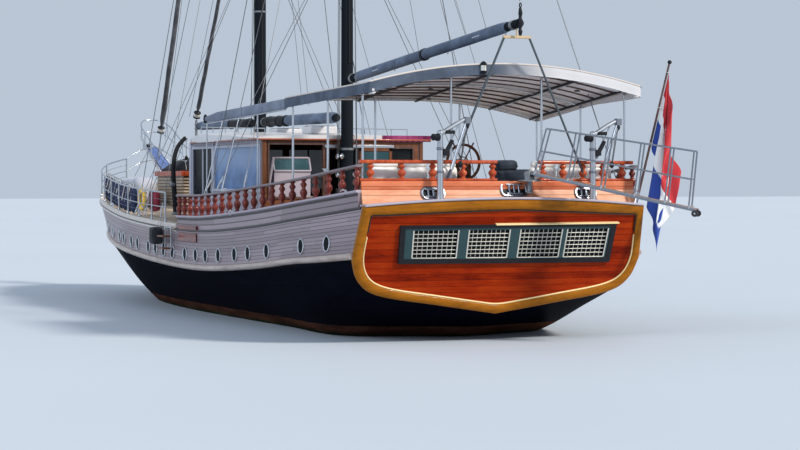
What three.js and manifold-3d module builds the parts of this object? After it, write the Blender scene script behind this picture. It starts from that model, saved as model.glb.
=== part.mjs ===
// Two-masted wooden motor sailing yacht, afloat.
// Millimetres. +X points to the bow, +Y to port, +Z up. The origin is amidships on the waterline.
// Stations are measured as s, the distance forward of the transom's top edge.

import * as THREE from 'three';
import { mergeVertices } from 'three/addons/utils/BufferGeometryUtils.js';
import Module from 'manifold-3d';

const wasm = await Module();
wasm.setup();

// Driving dimensions
const MIDSHIP = 14000; // station of the origin
const FIT = 0.3; // gap between a piece and what it rests on
const TRANSOM_RAKE = 870; // how far the transom's foot lies forward of its top
const TRANSOM_TOP_Z = 3120;
const TRANSOM_HEIGHT = 2450;
const TRANSOM_BOW = 200; // how far the transom bulges aft on the centreline
const TRANSOM_HALF = 3600;
const DECK_CAMBER = 120;
const WALE_DEPTH = 160;
const WALE_PROUD = 90;
const STEP_S = 13300; // where the raised after bulwark ends

// Hull half sections: s, then height of the keel line, then half breadth and height of the
// garboard, the bilge, the turn, the wale's lower edge and the deck edge.
const HULL_TABLE = [
  // s, keelZ, garboardP, garboardZ, bilgeP, bilgeZ, turnP, turnZ, waleP, waleZ, deckP, deckZ
  [0, 930, 1550, 1142, 2970, 1363, 3425, 1613, 3590, 1978, 3520, 3140],
  [2000, 150, 1400, 360, 2750, 620, 3440, 1060, 3740, 1840, 3680, 2970],
  [4000, -450, 1300, -280, 2600, -50, 3380, 560, 3820, 1720, 3790, 2810],
  [7000, -1150, 1000, -800, 2250, -300, 3250, 450, 3890, 1490, 3880, 2580],
  [11000, -1600, 1000, -1150, 2200, -500, 3230, 350, 3980, 1310, 3980, 2390],
  [15000, -1700, 1000, -1250, 2200, -550, 3230, 350, 3990, 1370, 3990, 2450],
  [19000, -1600, 950, -1150, 2050, -500, 3050, 400, 3870, 1550, 3900, 2610],
  [22000, -1350, 800, -900, 1750, -300, 2700, 600, 3560, 1760, 3660, 2810],
  [24500, -950, 550, -500, 1200, 100, 2050, 950, 3020, 2040, 3330, 3050],
  [26500, -350, 300, 100, 700, 650, 1300, 1400, 2120, 2380, 2650, 3310],
  [27700, 500, 120, 900, 350, 1400, 700, 2000, 1230, 2720, 1790, 3500],
  [28400, 1700, 60, 1950, 140, 2250, 280, 2640, 520, 3040, 960, 3620],
  [28700, 3000, 25, 3060, 45, 3140, 70, 3240, 100, 3400, 180, 3670],
];
const HULL_STATIONS = [-700, 0, 1300, 2600, 4000, 5500, 7000, 9000, 11000, 13000, 15000, 17000, 19000,
  20500, 22000, 23300, 24500, 25600, 26500, 27200, 27700, 28100, 28400, 28700];

// The after bulwark: s, height of its sill and of its top rail
const RAIL_TABLE = [
  [0, 3550, 4130],
  [3600, 3260, 3810],
  [6800, 3020, 3600],
  [10800, 2800, 3380],
  [STEP_S, 2770, 3350],
];
const BULWARK_THICK = 70;
const BULWARK_INSET = 30;
const RAIL_INSET = BULWARK_INSET + BULWARK_THICK / 2;
const CAP_WIDTH = 170;
const CAP_DEPTH = 60;
const SIDE_BALUSTERS = 21; // to a side
const CROWDING = 0.23; // how much closer together they stand forward than aft
const STERN_BALUSTERS = 5; // to each half of the stern rail
// Turned baluster: radius, share of its height
const BALUSTER_PROFILE = [
  [62, 0],
  [36, 0.24],
  [66, 0.5],
  [36, 0.76],
  [62, 1],
];
const BALUSTER_SIDES = 6;

// Stern rail above the transom
const STERN_FOOT_Z = 3250;
const STERN_SILL_Z = 3720;
const STERN_RAIL_Z = 4200;
const STERN_LEAN = 230;
const STERN_FOOT_S = 200;
const STERN_RAIL_END = 3285;
const GANGWAY = { from: 150, to: -950 }; // the gap in the stern rail, by half breadth

// Foredeck
const TOE_HEIGHT = 130;
const FORE_RAIL = { from: 14600, to: 27900, height: 830, inset: 90, radius: 24, posts: 9 };
const BOWSPRIT = { heelS: 26900, heelZ: 3560, tipS: 30400, tipZ: 4980, width: 620, depth: 150 };

// Spars: station of the mast, radii at foot and head, masthead height, heights of the spreaders
const MASTS = {
  main_mast: { s: 17950, foot: 190, head: 135, top: 28000, spreaders: [11500, 19500] },
  mizzen_mast: { s: 10400, foot: 175, head: 125, top: 26000, spreaders: [11000, 18500] },
};
const MAST_SIDES = 12;
const SPREADER_REACH = 0.93; // share of the distance out to the cap shroud
const CHAINPLATE = { main_mast: { p: 3860, z: 2600 }, mizzen_mast: { p: 3890, z: 3350 } };
// Booms: pivot station, aft end station, heights at pivot and end, radius
const BOOMS = {
  mizzen_boom: { pivot: 10165, end: -700, z0: 6500, z1: 7300, radius: 120 },
  main_boom: { pivot: 17700, end: 11200, z0: 5520, z1: 5480, radius: 125 },
  staysail_boom: { pivot: 24600, end: 18700, z0: 5560, z1: 5520, radius: 110 },
};
const TONGUE = { thick: 70, width: 110, reach: 190 };
const STAY_RADIUS = 11;

// Deckhouse
const HOUSE = { aft: 10700, front: 17600, half: 2300, wall: 60, foot: 2300, eaves: 4850 };
const DOOR = { rest: -460, width: 960, top: 4640 };
const HOUSE_ROOF = { aft: 10620, front: 17700, half: 2560, aftTop: 5060, frontTop: 5260, crown: 70 };

// Aft canopy: crown and side heights of its top at the aft and the forward edge
const CANOPY = { aft: -100, front: 5600, half: 3450, sheet: 30, valance: 240 };
const CANOPY_EDGE = {
  aft: { crown: 6400, port: 5930, starboard: 5930 },
  front: { crown: 5830, port: 5780, starboard: 5330 },
};
const CANOPY_ROWS = [560, 2850, 5350]; // stations of the canopy's arches
const POST_RADIUS = 30;
const OUTER_POST = 3325;
const INNER_POST = 1150;
const SIDE_AWNING = { from: 5640, to: 12550, p: 3400, top0: 5770, top1: 5570, deep: 260, thick: 110 };

// Stern gear
const RUDDER = { axis: 6000, aft: 4950, top: -1180, foot: -2720, thick: 120, stock: 55, bore: 60 };
const HEEL_TOP = -2830; // top of the keel's heel, which carries the rudder
const PROPELLER = { s: 6640, z: -1700, radius: 540, hub: 130, blades: 4 };

// Davits on the transom's top: half breadth of the column
const DAVITS = { davit_port: 1680, davit_starboard: -2180 };
const DAVIT = { s: -45, foot: 3260, elbow: 4810, column: 62, base: 85, reach: 660, headZ: 5130 };

// Passerelle: pivot and tip
const PASSERELLE = {
  pivot: { s: -60, p: -550, z: 3880 },
  pad: 3440,
  tip: { s: -2500, p: -3540, z: 3030 },
  width: 460,
  thick: 70,
};

// Deck crane by the main mast, whose arm bends inboard: distance forward, distance outboard, height
const CRANE = {
  s: 18350,
  p: 2550,
  pad: 2700,
  rows: [[0, 0, 2740], [30, 50, 3500], [60, 60, 4200], [90, -60, 4720], [110, -330, 5050]],
};
// Level pads on the deck, under the davits, the passerelle and the crane: s, p, radius, top
const DECK_PADS = [
  ...Object.values(DAVITS).map((p) => [DAVIT.s, p, DAVIT.base + 8, DAVIT.foot]),
  [PASSERELLE.pivot.s, PASSERELLE.pivot.p, 95, PASSERELLE.pad],
  [CRANE.s, CRANE.p, 140, CRANE.pad],
];

const HELM = { s: 3400, p: -400, z: 4180, radius: 430 };

// Foredeck trunk with its hatch lid
const TRUNK = { aft: 21300, front: 24300, half: 1450, top: 4050 };
const LID = { aft: 21600, front: 22500, half: 480 };
const FENDERS = { from: 18900, to: 23600, count: 8, inset: 200, radius: 105, long: 820 };
const LADDER = { aft: 13450, front: 14050, p: 4075, top: 2420, foot: 1780, steps: 2 };
const SIDE_FENDER = { aft: 14500, front: 14950, p: 4050, low: 1930, shoulder: 2310, high: 2420 };
const SETTEE = { aft: 640, front: 1400, seat: 3640, back: 4090, roll: 180, inner: 900, outer: 3100 };

// Colours of the finishes: colour, roughness, metalness
const FINISH = {
  topside: [0x96828c, 0.45, 0],
  mahogany: [0x8a2a12, 0.3, 0],
  teak: [0x8d5a34, 0.55, 0],
  pale: [0xd8d2c8, 0.5, 0],
  spar: [0x303c4c, 0.4, 0.1],
  cover: [0x6a7a90, 0.85, 0],
  steel: [0xc0c4c8, 0.2, 1],
  glass: [0x506878, 0.1, 0],
  darkCover: [0x1c2228, 0.85, 0],
  cushion: [0xe8e6e0, 0.9, 0],
  bronze: [0xa8874a, 0.35, 1],
  flag: [0xc03038, 0.9, 0],
};

// Small helpers

const at = (s, p, z) => new THREE.Vector3(s - MIDSHIP, p, z);
const mix = (a, b, t) => a + (b - a) * t;

// Smooth curve through a table's column, by the station in its first column
function along(table, column, s) {
  const last = table.length - 1;
  if (s < table[0][0]) {
    const rise = (table[1][column] - table[0][column]) / (table[1][0] - table[0][0]);
    return table[0][column] + rise * (s - table[0][0]);
  }
  let i = 0;
  while (i < last - 1 && s > table[i + 1][0]) i += 1;
  const slope = (k) => {
    const a = Math.max(k - 1, 0);
    const b = Math.min(k + 1, last);
    return (table[b][column] - table[a][column]) / (table[b][0] - table[a][0]);
  };
  const span = table[i + 1][0] - table[i][0];
  const t = Math.min(Math.max((s - table[i][0]) / span, 0), 1);
  const h = [2 * t ** 3 - 3 * t ** 2 + 1, t ** 3 - 2 * t ** 2 + t, 3 * t ** 2 - 2 * t ** 3, t ** 3 - t ** 2];
  return h[0] * table[i][column] + h[1] * span * slope(i)
    + h[2] * table[i + 1][column] + h[3] * span * slope(i + 1);
}

const deckHalf = (s) => along(HULL_TABLE, 10, s);
const deckEdgeZ = (s) => along(HULL_TABLE, 11, s);
const sillZ = (s) => along(RAIL_TABLE, 1, s);
const railZ = (s) => along(RAIL_TABLE, 2, s);

// A closed body from a geometry, ready for cuts and joins
function solid(geometry) {
  const bare = geometry.clone();
  for (const name of Object.keys(bare.attributes)) {
    if (name !== 'position') bare.deleteAttribute(name);
  }
  const merged = mergeVertices(bare, 0.01);
  return new wasm.Manifold(new wasm.Mesh({
    numProp: 3,
    vertProperties: new Float32Array(merged.attributes.position.array),
    triVerts: new Uint32Array(merged.index.array),
  }));
}

function geometryOf(body) {
  const mesh = body.getMesh();
  const geometry = new THREE.BufferGeometry();
  geometry.setAttribute('position', new THREE.BufferAttribute(mesh.vertProperties, 3));
  geometry.setIndex(new THREE.BufferAttribute(mesh.triVerts, 1));
  return geometry;
}

const join = (bodies) => bodies.reduce((sum, body) => sum.add(body));
const cut = (body, tools) => tools.reduce((rest, tool) => rest.subtract(tool), body);

// A body through rings of points. The end rings are closed in the plane that is named, or by
// a fan where none is.
function loft(rings, capPlane) {
  const count = rings[0].length;
  const points = rings.flat();
  const faces = [];
  for (let r = 0; r < rings.length - 1; r += 1) {
    for (let k = 0; k < count; k += 1) {
      const a = r * count + k;
      const b = r * count + ((k + 1) % count);
      faces.push([a, b, b + count], [a, b + count, a + count]);
    }
  }
  const ends = [[rings[0], 0, true], [rings[rings.length - 1], (rings.length - 1) * count, false]];
  for (const [ring, start, reversed] of ends) {
    for (const [a, b, c] of capFaces(ring, capPlane)) {
      const face = [start + a, start + b, start + c];
      faces.push(reversed ? face.reverse() : face);
    }
  }
  let volume = 0;
  for (const [a, b, c] of faces) {
    volume += points[a].dot(new THREE.Vector3().crossVectors(points[b], points[c]));
  }
  const geometry = new THREE.BufferGeometry();
  geometry.setAttribute('position', new THREE.Float32BufferAttribute(
    points.flatMap((v) => [v.x, v.y, v.z]), 3));
  geometry.setIndex(faces.flatMap((f) => (volume < 0 ? [f[0], f[2], f[1]] : f)));
  return solid(geometry);
}

// Faces of an end, wound the way its ring runs
function capFaces(ring, capPlane) {
  if (capPlane.length === 0) return ring.slice(2).map((_, k) => [0, k + 1, k + 2]);
  const flat = ring.map((v) => new THREE.Vector2(v[capPlane[0]], v[capPlane[1]]));
  const forward = !THREE.ShapeUtils.isClockWise(flat);
  return THREE.ShapeUtils.triangulateShape(flat, []).map((face) => (
    triangleRunsForward(...face, flat) === forward ? face : face.slice().reverse()));
}

function triangleRunsForward(a, b, c, flat) {
  return (flat[b].x - flat[a].x) * (flat[c].y - flat[a].y)
    - (flat[b].y - flat[a].y) * (flat[c].x - flat[a].x) > 0;
}

// A strip along a path: its section is given as pairs of outward and upward offsets
function sweep(path, section) {
  const rings = path.map((point, i) => {
    const before = path[Math.max(i - 1, 0)];
    const after = path[Math.min(i + 1, path.length - 1)];
    const way = new THREE.Vector3().subVectors(after, before).setZ(0).normalize();
    const out = new THREE.Vector3(-way.y, way.x, 0);
    return section.map(([u, v]) => point.clone().addScaledVector(out, u).add(new THREE.Vector3(0, 0, v)));
  });
  const way = new THREE.Vector3().subVectors(path[path.length - 1], path[0]);
  return loft(rings, Math.abs(way.x) > Math.abs(way.y) ? ['y', 'z'] : ['x', 'z']);
}

const rectangle = (u0, u1, v0, v1) => [[u0, v0], [u1, v0], [u1, v1], [u0, v1]];

function rod(a, b, radius, sides = 8, endRadius = radius) {
  const way = new THREE.Vector3().subVectors(b, a);
  const geometry = new THREE.CylinderGeometry(endRadius, radius, way.length(), sides, 1);
  geometry.translate(0, way.length() / 2, 0);
  geometry.applyQuaternion(new THREE.Quaternion().setFromUnitVectors(
    new THREE.Vector3(0, 1, 0), way.clone().normalize()));
  geometry.translate(a.x, a.y, a.z);
  return solid(geometry);
}

// A bent tube: each ring is turned on from the one before it
function run(points, radius, sides = 6) {
  const leg = (i) => new THREE.Vector3().subVectors(points[i + 1], points[i]).normalize();
  const ways = points.map((_, i) => {
    if (i === 0) return leg(0);
    if (i === points.length - 1) return leg(i - 1);
    return leg(i - 1).add(leg(i)).normalize();
  });
  const upright = Math.abs(ways[0].z) > 0.9 ? new THREE.Vector3(1, 0, 0) : new THREE.Vector3(0, 0, 1);
  const side = new THREE.Vector3().crossVectors(ways[0], upright).normalize();
  let spokes = Array.from({ length: sides }, (_, k) => side.clone().multiplyScalar(radius)
    .applyAxisAngle(ways[0], 2 * Math.PI * (k + 0.5) / sides));
  const rings = points.map((point, i) => {
    if (i > 0) {
      const turn = new THREE.Quaternion().setFromUnitVectors(ways[i - 1], ways[i]);
      spokes = spokes.map((spoke) => spoke.clone().applyQuaternion(turn));
    }
    return spokes.map((spoke) => point.clone().add(spoke));
  });
  return loft(rings, []);
}

// A box between two corners, given by station, half breadth and height
function block(s0, s1, p0, p1, z0, z1) {
  const geometry = new THREE.BoxGeometry(Math.abs(s1 - s0), Math.abs(p1 - p0), Math.abs(z1 - z0));
  const centre = at((s0 + s1) / 2, (p0 + p1) / 2, (z0 + z1) / 2);
  geometry.translate(centre.x, centre.y, centre.z);
  return solid(geometry);
}

// A turned piece: pairs of radius and height on a vertical axis
function turned(profile, foot, sides = 8) {
  const closed = [[0, profile[0][1]], ...profile, [0, profile[profile.length - 1][1]]];
  const geometry = new THREE.LatheGeometry(closed.map(([r, z]) => new THREE.Vector2(r, z)), sides);
  geometry.rotateX(Math.PI / 2);
  geometry.translate(foot.x, foot.y, foot.z);
  return solid(geometry);
}

// A flat outline in station and height, given a thickness across the centreline
function profilePlate(outline, half, p = 0) {
  const ring = (side) => outline.map(([s, z]) => at(s, p + side * half, z));
  return loft([ring(-1), ring(1)], ['x', 'z']);
}

const mirrored = (body) => body.mirror([0, 1, 0]);

// Hull

function transomShift(p, z) {
  return TRANSOM_RAKE * (TRANSOM_TOP_Z - z) / TRANSOM_HEIGHT - TRANSOM_BOW * (1 - (p / TRANSOM_HALF) ** 2);
}

function halfSection(s) {
  const pick = (column) => along(HULL_TABLE, column, s);
  const corners = [[0, pick(1)], [pick(2), pick(3)], [pick(4), pick(5)], [pick(6), pick(7)],
    [pick(8), pick(9)]].map(([p, z]) => new THREE.Vector2(p, z));
  const low = new THREE.SplineCurve(corners).getPoints(2 * (corners.length - 1));
  const wale = corners[corners.length - 1];
  const deck = new THREE.Vector2(pick(10), pick(11));
  const waleTop = new THREE.Vector2(mix(wale.x, deck.x, 0.14), wale.y + WALE_DEPTH);
  return [...low, waleTop, deck];
}

function hullBody(grow) {
  const rings = HULL_STATIONS.map((s) => {
    const half = halfSection(s).map((v) => new THREE.Vector2(v.x + (v.x > 0 ? grow : 0), v.y));
    half[0].y -= grow;
    half[half.length - 1].y += grow;
    const deckZ = half[half.length - 1].y;
    const port = half.map((v) => [v.x, v.y]);
    const starboard = port.slice(1).reverse().map(([p, z]) => [-p, z]);
    const ring = [...port, [0, deckZ + DECK_CAMBER * Math.min(1, half[half.length - 1].x / 3000)],
      ...starboard];
    return ring.map(([p, z]) => at(s, p, z));
  });
  const pads = DECK_PADS.map(([s, p, radius, top]) => turned(
    [[radius + grow, top - 400], [radius + grow, top + grow]], at(s, p, 0), 12));
  const shell = cut(loft(rings, ['y', 'z']), [aftOfTransom(grow),
    rod(at(RUDDER.axis, 0, -2000), at(RUDDER.axis, 0, -780), RUDDER.bore - grow, 24)]);
  return join([shell, ...pads]);
}

// Everything aft of the raked and bowed transom
function aftOfTransom(grow) {
  const reach = 4400;
  const steps = 12;
  const rings = Array.from({ length: steps + 1 }, (_, k) => {
    const p = mix(-reach, reach, k / steps);
    const edge = (z) => at(transomShift(p, z) - grow, p, z);
    return [edge(-500), edge(4500), at(-4000, p, 4500), at(-4000, p, -500)];
  });
  return loft(rings, ['x', 'z']);
}

const hullGrown = hullBody(FIT);
const keelGrown = keelBody(FIT);

function edgePath(from, to, count, height, inset) {
  return Array.from({ length: count + 1 }, (_, i) => {
    const s = mix(from, to, i / count);
    return at(s, deckHalf(s) - inset, height(s));
  });
}

function rubbingStrake() {
  const stations = HULL_STATIONS.filter((s) => s > 0 && s < 28650);
  const path = [450, ...stations].map((s) => at(s, along(HULL_TABLE, 8, s), along(HULL_TABLE, 9, s)));
  return sweep(path, rectangle(-200, WALE_PROUD, 0, WALE_DEPTH));
}

// Side outline of the keel with the heel that carries the rudder; the after faces can be grown
function keelBody(grow = 0) {
  const outline = [[24300, -800], [23200, -1900], [21500, -2450], [18000, -2800], [6950, -3000 - grow],
    [4900 - grow, -3000 - grow], [4900 - grow, HEEL_TOP + grow], [6950 - grow, HEEL_TOP + grow],
    [6950 - grow, -900], [12000, -1300], [20000, -1200]];
  const { s, z } = PROPELLER;
  const gland = rod(at(s + 160 + FIT, 0, z), at(7400, 0, z), 165, 12, 190);
  return profilePlate(outline, 150 + grow).add(gland);
}

function rudderBody() {
  const { axis, aft, top, foot, thick, stock } = RUDDER;
  const blade = profilePlate([[axis + 60, foot], [axis + 60, top], [aft + 120, top + 60],
    [aft, foot + 350], [aft + 150, foot]], thick / 2);
  const stem = rod(at(axis, 0, HEEL_TOP + FIT), at(axis, 0, -800), stock, 24);
  return join([blade, stem]);
}

function propellerBody() {
  const { s, z, radius, hub, blades } = PROPELLER;
  const parts = [rod(at(s - 200, 0, z), at(s + 160, 0, z), hub * 0.6, 12, hub)];
  for (let k = 0; k < blades; k += 1) {
    const outline = new THREE.Shape();
    outline.absellipse(0, radius * 0.56, radius * 0.26, radius * 0.44, 0, Math.PI * 2);
    const blade = new THREE.ExtrudeGeometry(outline, { depth: 40, bevelEnabled: false, curveSegments: 6 });
    blade.translate(0, 0, -20);
    blade.rotateY(Math.PI / 2 - 0.6);
    blade.rotateX(k * 2 * Math.PI / blades);
    blade.translate(s - MIDSHIP, 0, z);
    parts.push(solid(blade));
  }
  return join(parts);
}

// Bulwarks and rails

function bulwarkSide() {
  const path = edgePath(350, STEP_S, 9, deckEdgeZ, 0);
  const rings = path.map((point, i) => {
    const s = mix(350, STEP_S, i / 9);
    const top = sillZ(s) - CAP_DEPTH;
    const outer = point.y - BULWARK_INSET;
    return [[outer, point.z - 60], [outer, top], [outer - BULWARK_THICK, top],
      [outer - BULWARK_THICK, point.z - 60]].map(([p, z]) => new THREE.Vector3(point.x, p, z));
  });
  return loft(rings, ['y', 'z']);
}

function balusterRow(feet, heights) {
  return feet.map((foot, i) => turned(
    BALUSTER_PROFILE.map(([r, share]) => [r, share * heights[i]]), foot, BALUSTER_SIDES));
}

function topRailSide(grow = 0) {
  const half = CAP_WIDTH / 2 + grow;
  return sweep(edgePath(350, STEP_S, 9, railZ, RAIL_INSET), rectangle(-half, half, -CAP_DEPTH - grow, grow));
}

const topRailsGrown = [topRailSide(FIT), mirrored(topRailSide(FIT))];

function balustradeSide() {
  const inset = RAIL_INSET;
  const half = CAP_WIDTH / 2;
  const sill = sweep(edgePath(350, STEP_S, 9, sillZ, inset), rectangle(-half, half, -CAP_DEPTH + FIT, 0));
  const rail = topRailSide();
  const stations = Array.from({ length: SIDE_BALUSTERS }, (_, i) => {
    const u = i / (SIDE_BALUSTERS - 1);
    return mix(480, STEP_S - 90, (1 + CROWDING) * u - CROWDING * u * u);
  });
  const sink = 20;
  const feet = stations.map((s) => at(s, deckHalf(s) - inset, sillZ(s) - sink));
  const heights = stations.map((s) => railZ(s) - CAP_DEPTH - sillZ(s) + 2 * sink);
  return join([sill, rail, ...balusterRow(feet, heights)]);
}

// The stern rail follows the transom's bow
function sternPoint(p, z, lean) {
  return at(STERN_FOOT_S + lean - TRANSOM_BOW * (1 - (p / TRANSOM_HALF) ** 2), p, z);
}

function sternPath(from, to, z, lean) {
  const count = 5;
  return Array.from({ length: count + 1 }, (_, i) => sternPoint(mix(from, to, i / count), z, lean));
}

function sternBulwark() {
  const half = 3240;
  const foot = STERN_FOOT_Z - 250;
  const section = [[0, foot], [STERN_LEAN, STERN_SILL_Z], [STERN_LEAN + BULWARK_THICK, STERN_SILL_Z],
    [BULWARK_THICK, foot]];
  const rings = sternPath(-half, half, 0, 0).map((point) => section.map(
    ([forward, z]) => new THREE.Vector3(point.x + forward, point.y, z)));
  return cut(loft(rings, ['x', 'z']), [hullGrown]);
}

function sternBalustrade(from, to) {
  const lean = STERN_LEAN + BULWARK_THICK / 2;
  const half = CAP_WIDTH / 2;
  const sill = sweep(sternPath(from, to, STERN_SILL_Z + CAP_DEPTH, lean),
    rectangle(-half, half, -CAP_DEPTH + FIT, 0));
  const rail = sweep(sternPath(from, to, STERN_RAIL_Z, lean), rectangle(-half, half, -CAP_DEPTH, 0));
  const sink = 20;
  const inner = Math.sign(to - from) * 90;
  const feet = Array.from({ length: STERN_BALUSTERS }, (_, i) => sternPoint(
    mix(from + inner, to - inner, i / (STERN_BALUSTERS - 1)), STERN_SILL_Z + CAP_DEPTH - sink, lean));
  const heights = feet.map(() => STERN_RAIL_Z - STERN_SILL_Z - 2 * CAP_DEPTH + 2 * sink);
  return join([sill, rail, ...balusterRow(feet, heights)]);
}

function toeRail(grow = 0) {
  const stations = [STEP_S + 10, ...HULL_STATIONS.filter((s) => s > STEP_S + 10 && s <= 28100)];
  const path = stations.map((s) => at(s, deckHalf(s), deckEdgeZ(s)));
  return sweep(path, rectangle(-110 - grow, 20 + grow, -120, TOE_HEIGHT + grow));
}

const toeRailsGrown = [toeRail(FIT), mirrored(toeRail(FIT))];

function foreRail() {
  const { from, to, height, inset, radius, posts } = FORE_RAIL;
  const points = edgePath(from, to, 10, (s) => deckEdgeZ(s) + TOE_HEIGHT, inset - 45);
  const top = points.map((v) => v.clone().add(new THREE.Vector3(0, 0, height)));
  const middle = points.map((v) => v.clone().add(new THREE.Vector3(0, 0, height / 2)));
  const bars = [run(top, radius, 4), run(middle, radius * 0.7, 4)];
  for (let k = 0; k <= posts; k += 1) {
    const s = mix(from, to, k / posts);
    const foot = at(s, deckHalf(s) - inset + 45, deckEdgeZ(s) + TOE_HEIGHT - 40);
    bars.push(rod(foot, foot.clone().add(new THREE.Vector3(0, 0, height + 40)), radius, 4));
  }
  return join(bars);
}

function bowspritBody(grow = 0) {
  const { heelS, heelZ, tipS, tipZ, width, depth } = BOWSPRIT;
  const ring = (s, z, half) => [at(s, -half - grow, z - depth - grow), at(s, half + grow, z - depth - grow),
    at(s, half + grow, z + grow), at(s, -half - grow, z + grow)];
  return cut(loft([ring(heelS - grow, heelZ, width / 2), ring(tipS + grow, tipZ, width / 3)], ['y', 'z']),
    [hullGrown]);
}

function pulpitBody() {
  const { tipS, tipZ, heelS, heelZ } = BOWSPRIT;
  const floor = (s) => mix(heelZ, tipZ, (s - heelS) / (tipS - heelS)) + FIT;
  const rail = [[27900, 560], [28900, 560], [29800, 520], [30280, 300], [30380, 0]];
  const both = [...rail.map(([s, p]) => [s, p]), ...rail.slice(0, -1).reverse().map(([s, p]) => [s, -p])];
  const top = both.map(([s, p]) => at(s, p, floor(s) + 950));
  const middle = both.map(([s, p]) => at(s, p, floor(s) + 520));
  const bars = [run(top, 24, 4), run(middle, 18, 4)];
  for (const [s, p, footP] of [[28300, 560, 255], [29200, 545, 230], [29900, 480, 190]]) {
    for (const side of [-1, 1]) {
      bars.push(run([at(s, side * footP, floor(s) - 40), at(s, side * p, floor(s) + 520),
        at(s, side * p, floor(s) + 950)], 20, 4));
    }
  }
  return cut(join(bars), [bowspritBody(FIT)]);
}

// Spars and stays

function mastBody(name, grow = 0) {
  const { s, foot, head, top, spreaders } = MASTS[name];
  const parts = [rod(at(s, 0, 2200), at(s, 0, top + grow), foot + grow, MAST_SIDES, head + grow)];
  const plate = CHAINPLATE[name];
  for (const z of spreaders) {
    const reach = SPREADER_REACH * plate.p * (top - z) / (top - plate.z);
    parts.push(block(s - 60 - grow, s + 60 + grow, -reach, reach, z - 40 - grow, z + 40 + grow));
  }
  const capReach = 330 + grow;
  const capHalf = 90 + grow;
  parts.push(block(s - capReach, s + capReach, -capHalf, capHalf, top - 420 - grow, top - 340 + grow));
  const boom = { main_mast: 'main_boom', mizzen_mast: 'mizzen_boom' }[name];
  const { pivot, z0 } = BOOMS[boom];
  for (const side of [-1, 1]) {
    const near = z0 + side * (TONGUE.thick / 2 + FIT);
    parts.push(block(pivot - 50 - grow, s, -55 - grow, 55 + grow, near, near + side * 50));
  }
  return cut(join(parts), [hullGrown]);
}

function boomBody(name) {
  const { pivot, end, z0, z1, radius } = BOOMS[name];
  const start = pivot - TONGUE.reach;
  const tongue = block(pivot + 45, start - 60, -TONGUE.width / 2 + 5, TONGUE.width / 2 - 5,
    z0 - TONGUE.thick / 2, z0 + TONGUE.thick / 2);
  const spar = rod(at(start, 0, z0), at(end, 0, z1), radius, 12, radius * 0.85);
  return join([tongue, spar]);
}

// Furled headsail on its stay, with the drum at its foot
function furledStay(foot, tack, head, drumRadius, sailRadius, extras) {
  const way = new THREE.Vector3().subVectors(head, tack).normalize();
  const lap = 20;
  const drumTop = tack.clone().addScaledVector(way, 260);
  const sailTop = head.clone().addScaledVector(way, -1500);
  const back = (point) => point.clone().addScaledVector(way, -lap);
  return join([
    rod(foot, tack.clone().addScaledVector(way, lap), 26, 8),
    rod(tack, drumTop, drumRadius, 12),
    rod(back(drumTop), sailTop, sailRadius, 8, sailRadius * 0.6),
    rod(back(sailTop), head, 16, 8),
    ...extras,
  ]);
}

function outerForestay() {
  const { s, top } = MASTS.main_mast;
  const foot = at(29300, 0, 4460);
  const tack = at(29100, 0, 5450);
  return cut(furledStay(foot, tack, at(s + 40, 0, top - 380), 130, 85, []),
    [mastBody('main_mast', FIT), bowspritBody(FIT)]);
}

function innerForestay() {
  const { s } = MASTS.main_mast;
  const { z0, pivot } = BOOMS.staysail_boom;
  const lugs = [-1, 1].map((side) => {
    const near = z0 + side * (TONGUE.thick / 2 + FIT);
    return block(pivot - 50, pivot + 160, -55, 55, near, near + side * 50);
  });
  const post = rod(at(pivot + 130, 0, 2900), at(pivot + 130, 0, 5760), 45, 8);
  return cut(furledStay(at(pivot + 130, 0, 5700), at(pivot + 100, 0, 5860), at(s, 0, 15900), 120, 70,
    [post, ...lugs]), [mastBody('main_mast', FIT), hullGrown]);
}

function shroud(name) {
  const { s, top } = MASTS[name];
  const { p, z } = CHAINPLATE[name];
  return rod(at(s, p, z), at(s, 40, top - 400), STAY_RADIUS, 6);
}

// A backstay from the quarter's deck up through an eyelet in the canopy
function backstay(radius = STAY_RADIUS) {
  const { s, top } = MASTS.mizzen_mast;
  return rod(at(700, 3400, 2700), at(s - 150, 60, top - 380), radius, 6);
}

function triatic() {
  const main = MASTS.main_mast;
  const mizzen = MASTS.mizzen_mast;
  return rod(at(main.s - 250, 0, main.top - 380), at(mizzen.s + 250, 0, mizzen.top - 380), STAY_RADIUS, 6);
}

// Deckhouse

function houseSide() {
  const { aft, front, half, wall, foot, eaves } = HOUSE;
  const panel = block(aft, front, half - wall, half, foot, eaves);
  const windows = [[11050, 15150], [15450, 17300]].map(([s0, s1]) => (
    block(s0, s1, half - 200, half + 100, 3560, 4700)));
  return cut(panel, windows);
}

function houseEnd(s, windows) {
  const { half, wall, foot, eaves } = HOUSE;
  const panel = block(s, s + wall, -half + wall + FIT, half - wall - FIT, foot, eaves);
  const holes = windows.map(([p0, p1, z0, z1]) => block(s - 100, s + 200, p0, p1, z0, z1));
  return cut(panel, [hullGrown, ...holes]);
}

const HOUSE_FRONT_WINDOWS = [[-2050, -800, 3560, 4700], [-600, 600, 3560, 4700], [800, 2050, 3560, 4700]];
const HOUSE_DOORWAY = [-420, 460, 2400, 4600];
const HOUSE_AFT_WINDOWS = [[-2050, -600, 3300, 4620], [660, 2050, 3300, 4620]];

function houseRoof() {
  const { aft, front, half, aftTop, frontTop, crown } = HOUSE_ROOF;
  const ring = (s, top) => [at(s, -half, HOUSE.eaves + FIT), at(s, half, HOUSE.eaves + FIT),
    at(s, half, top - crown - 30), at(s, half * 0.55, top - crown * 0.3), at(s, 0, top),
    at(s, -half * 0.55, top - crown * 0.3), at(s, -half, top - crown - 30)];
  return loft([ring(aft, aftTop), ring(front, frontTop)], ['y', 'z']);
}

// Canopy over the after deck

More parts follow.
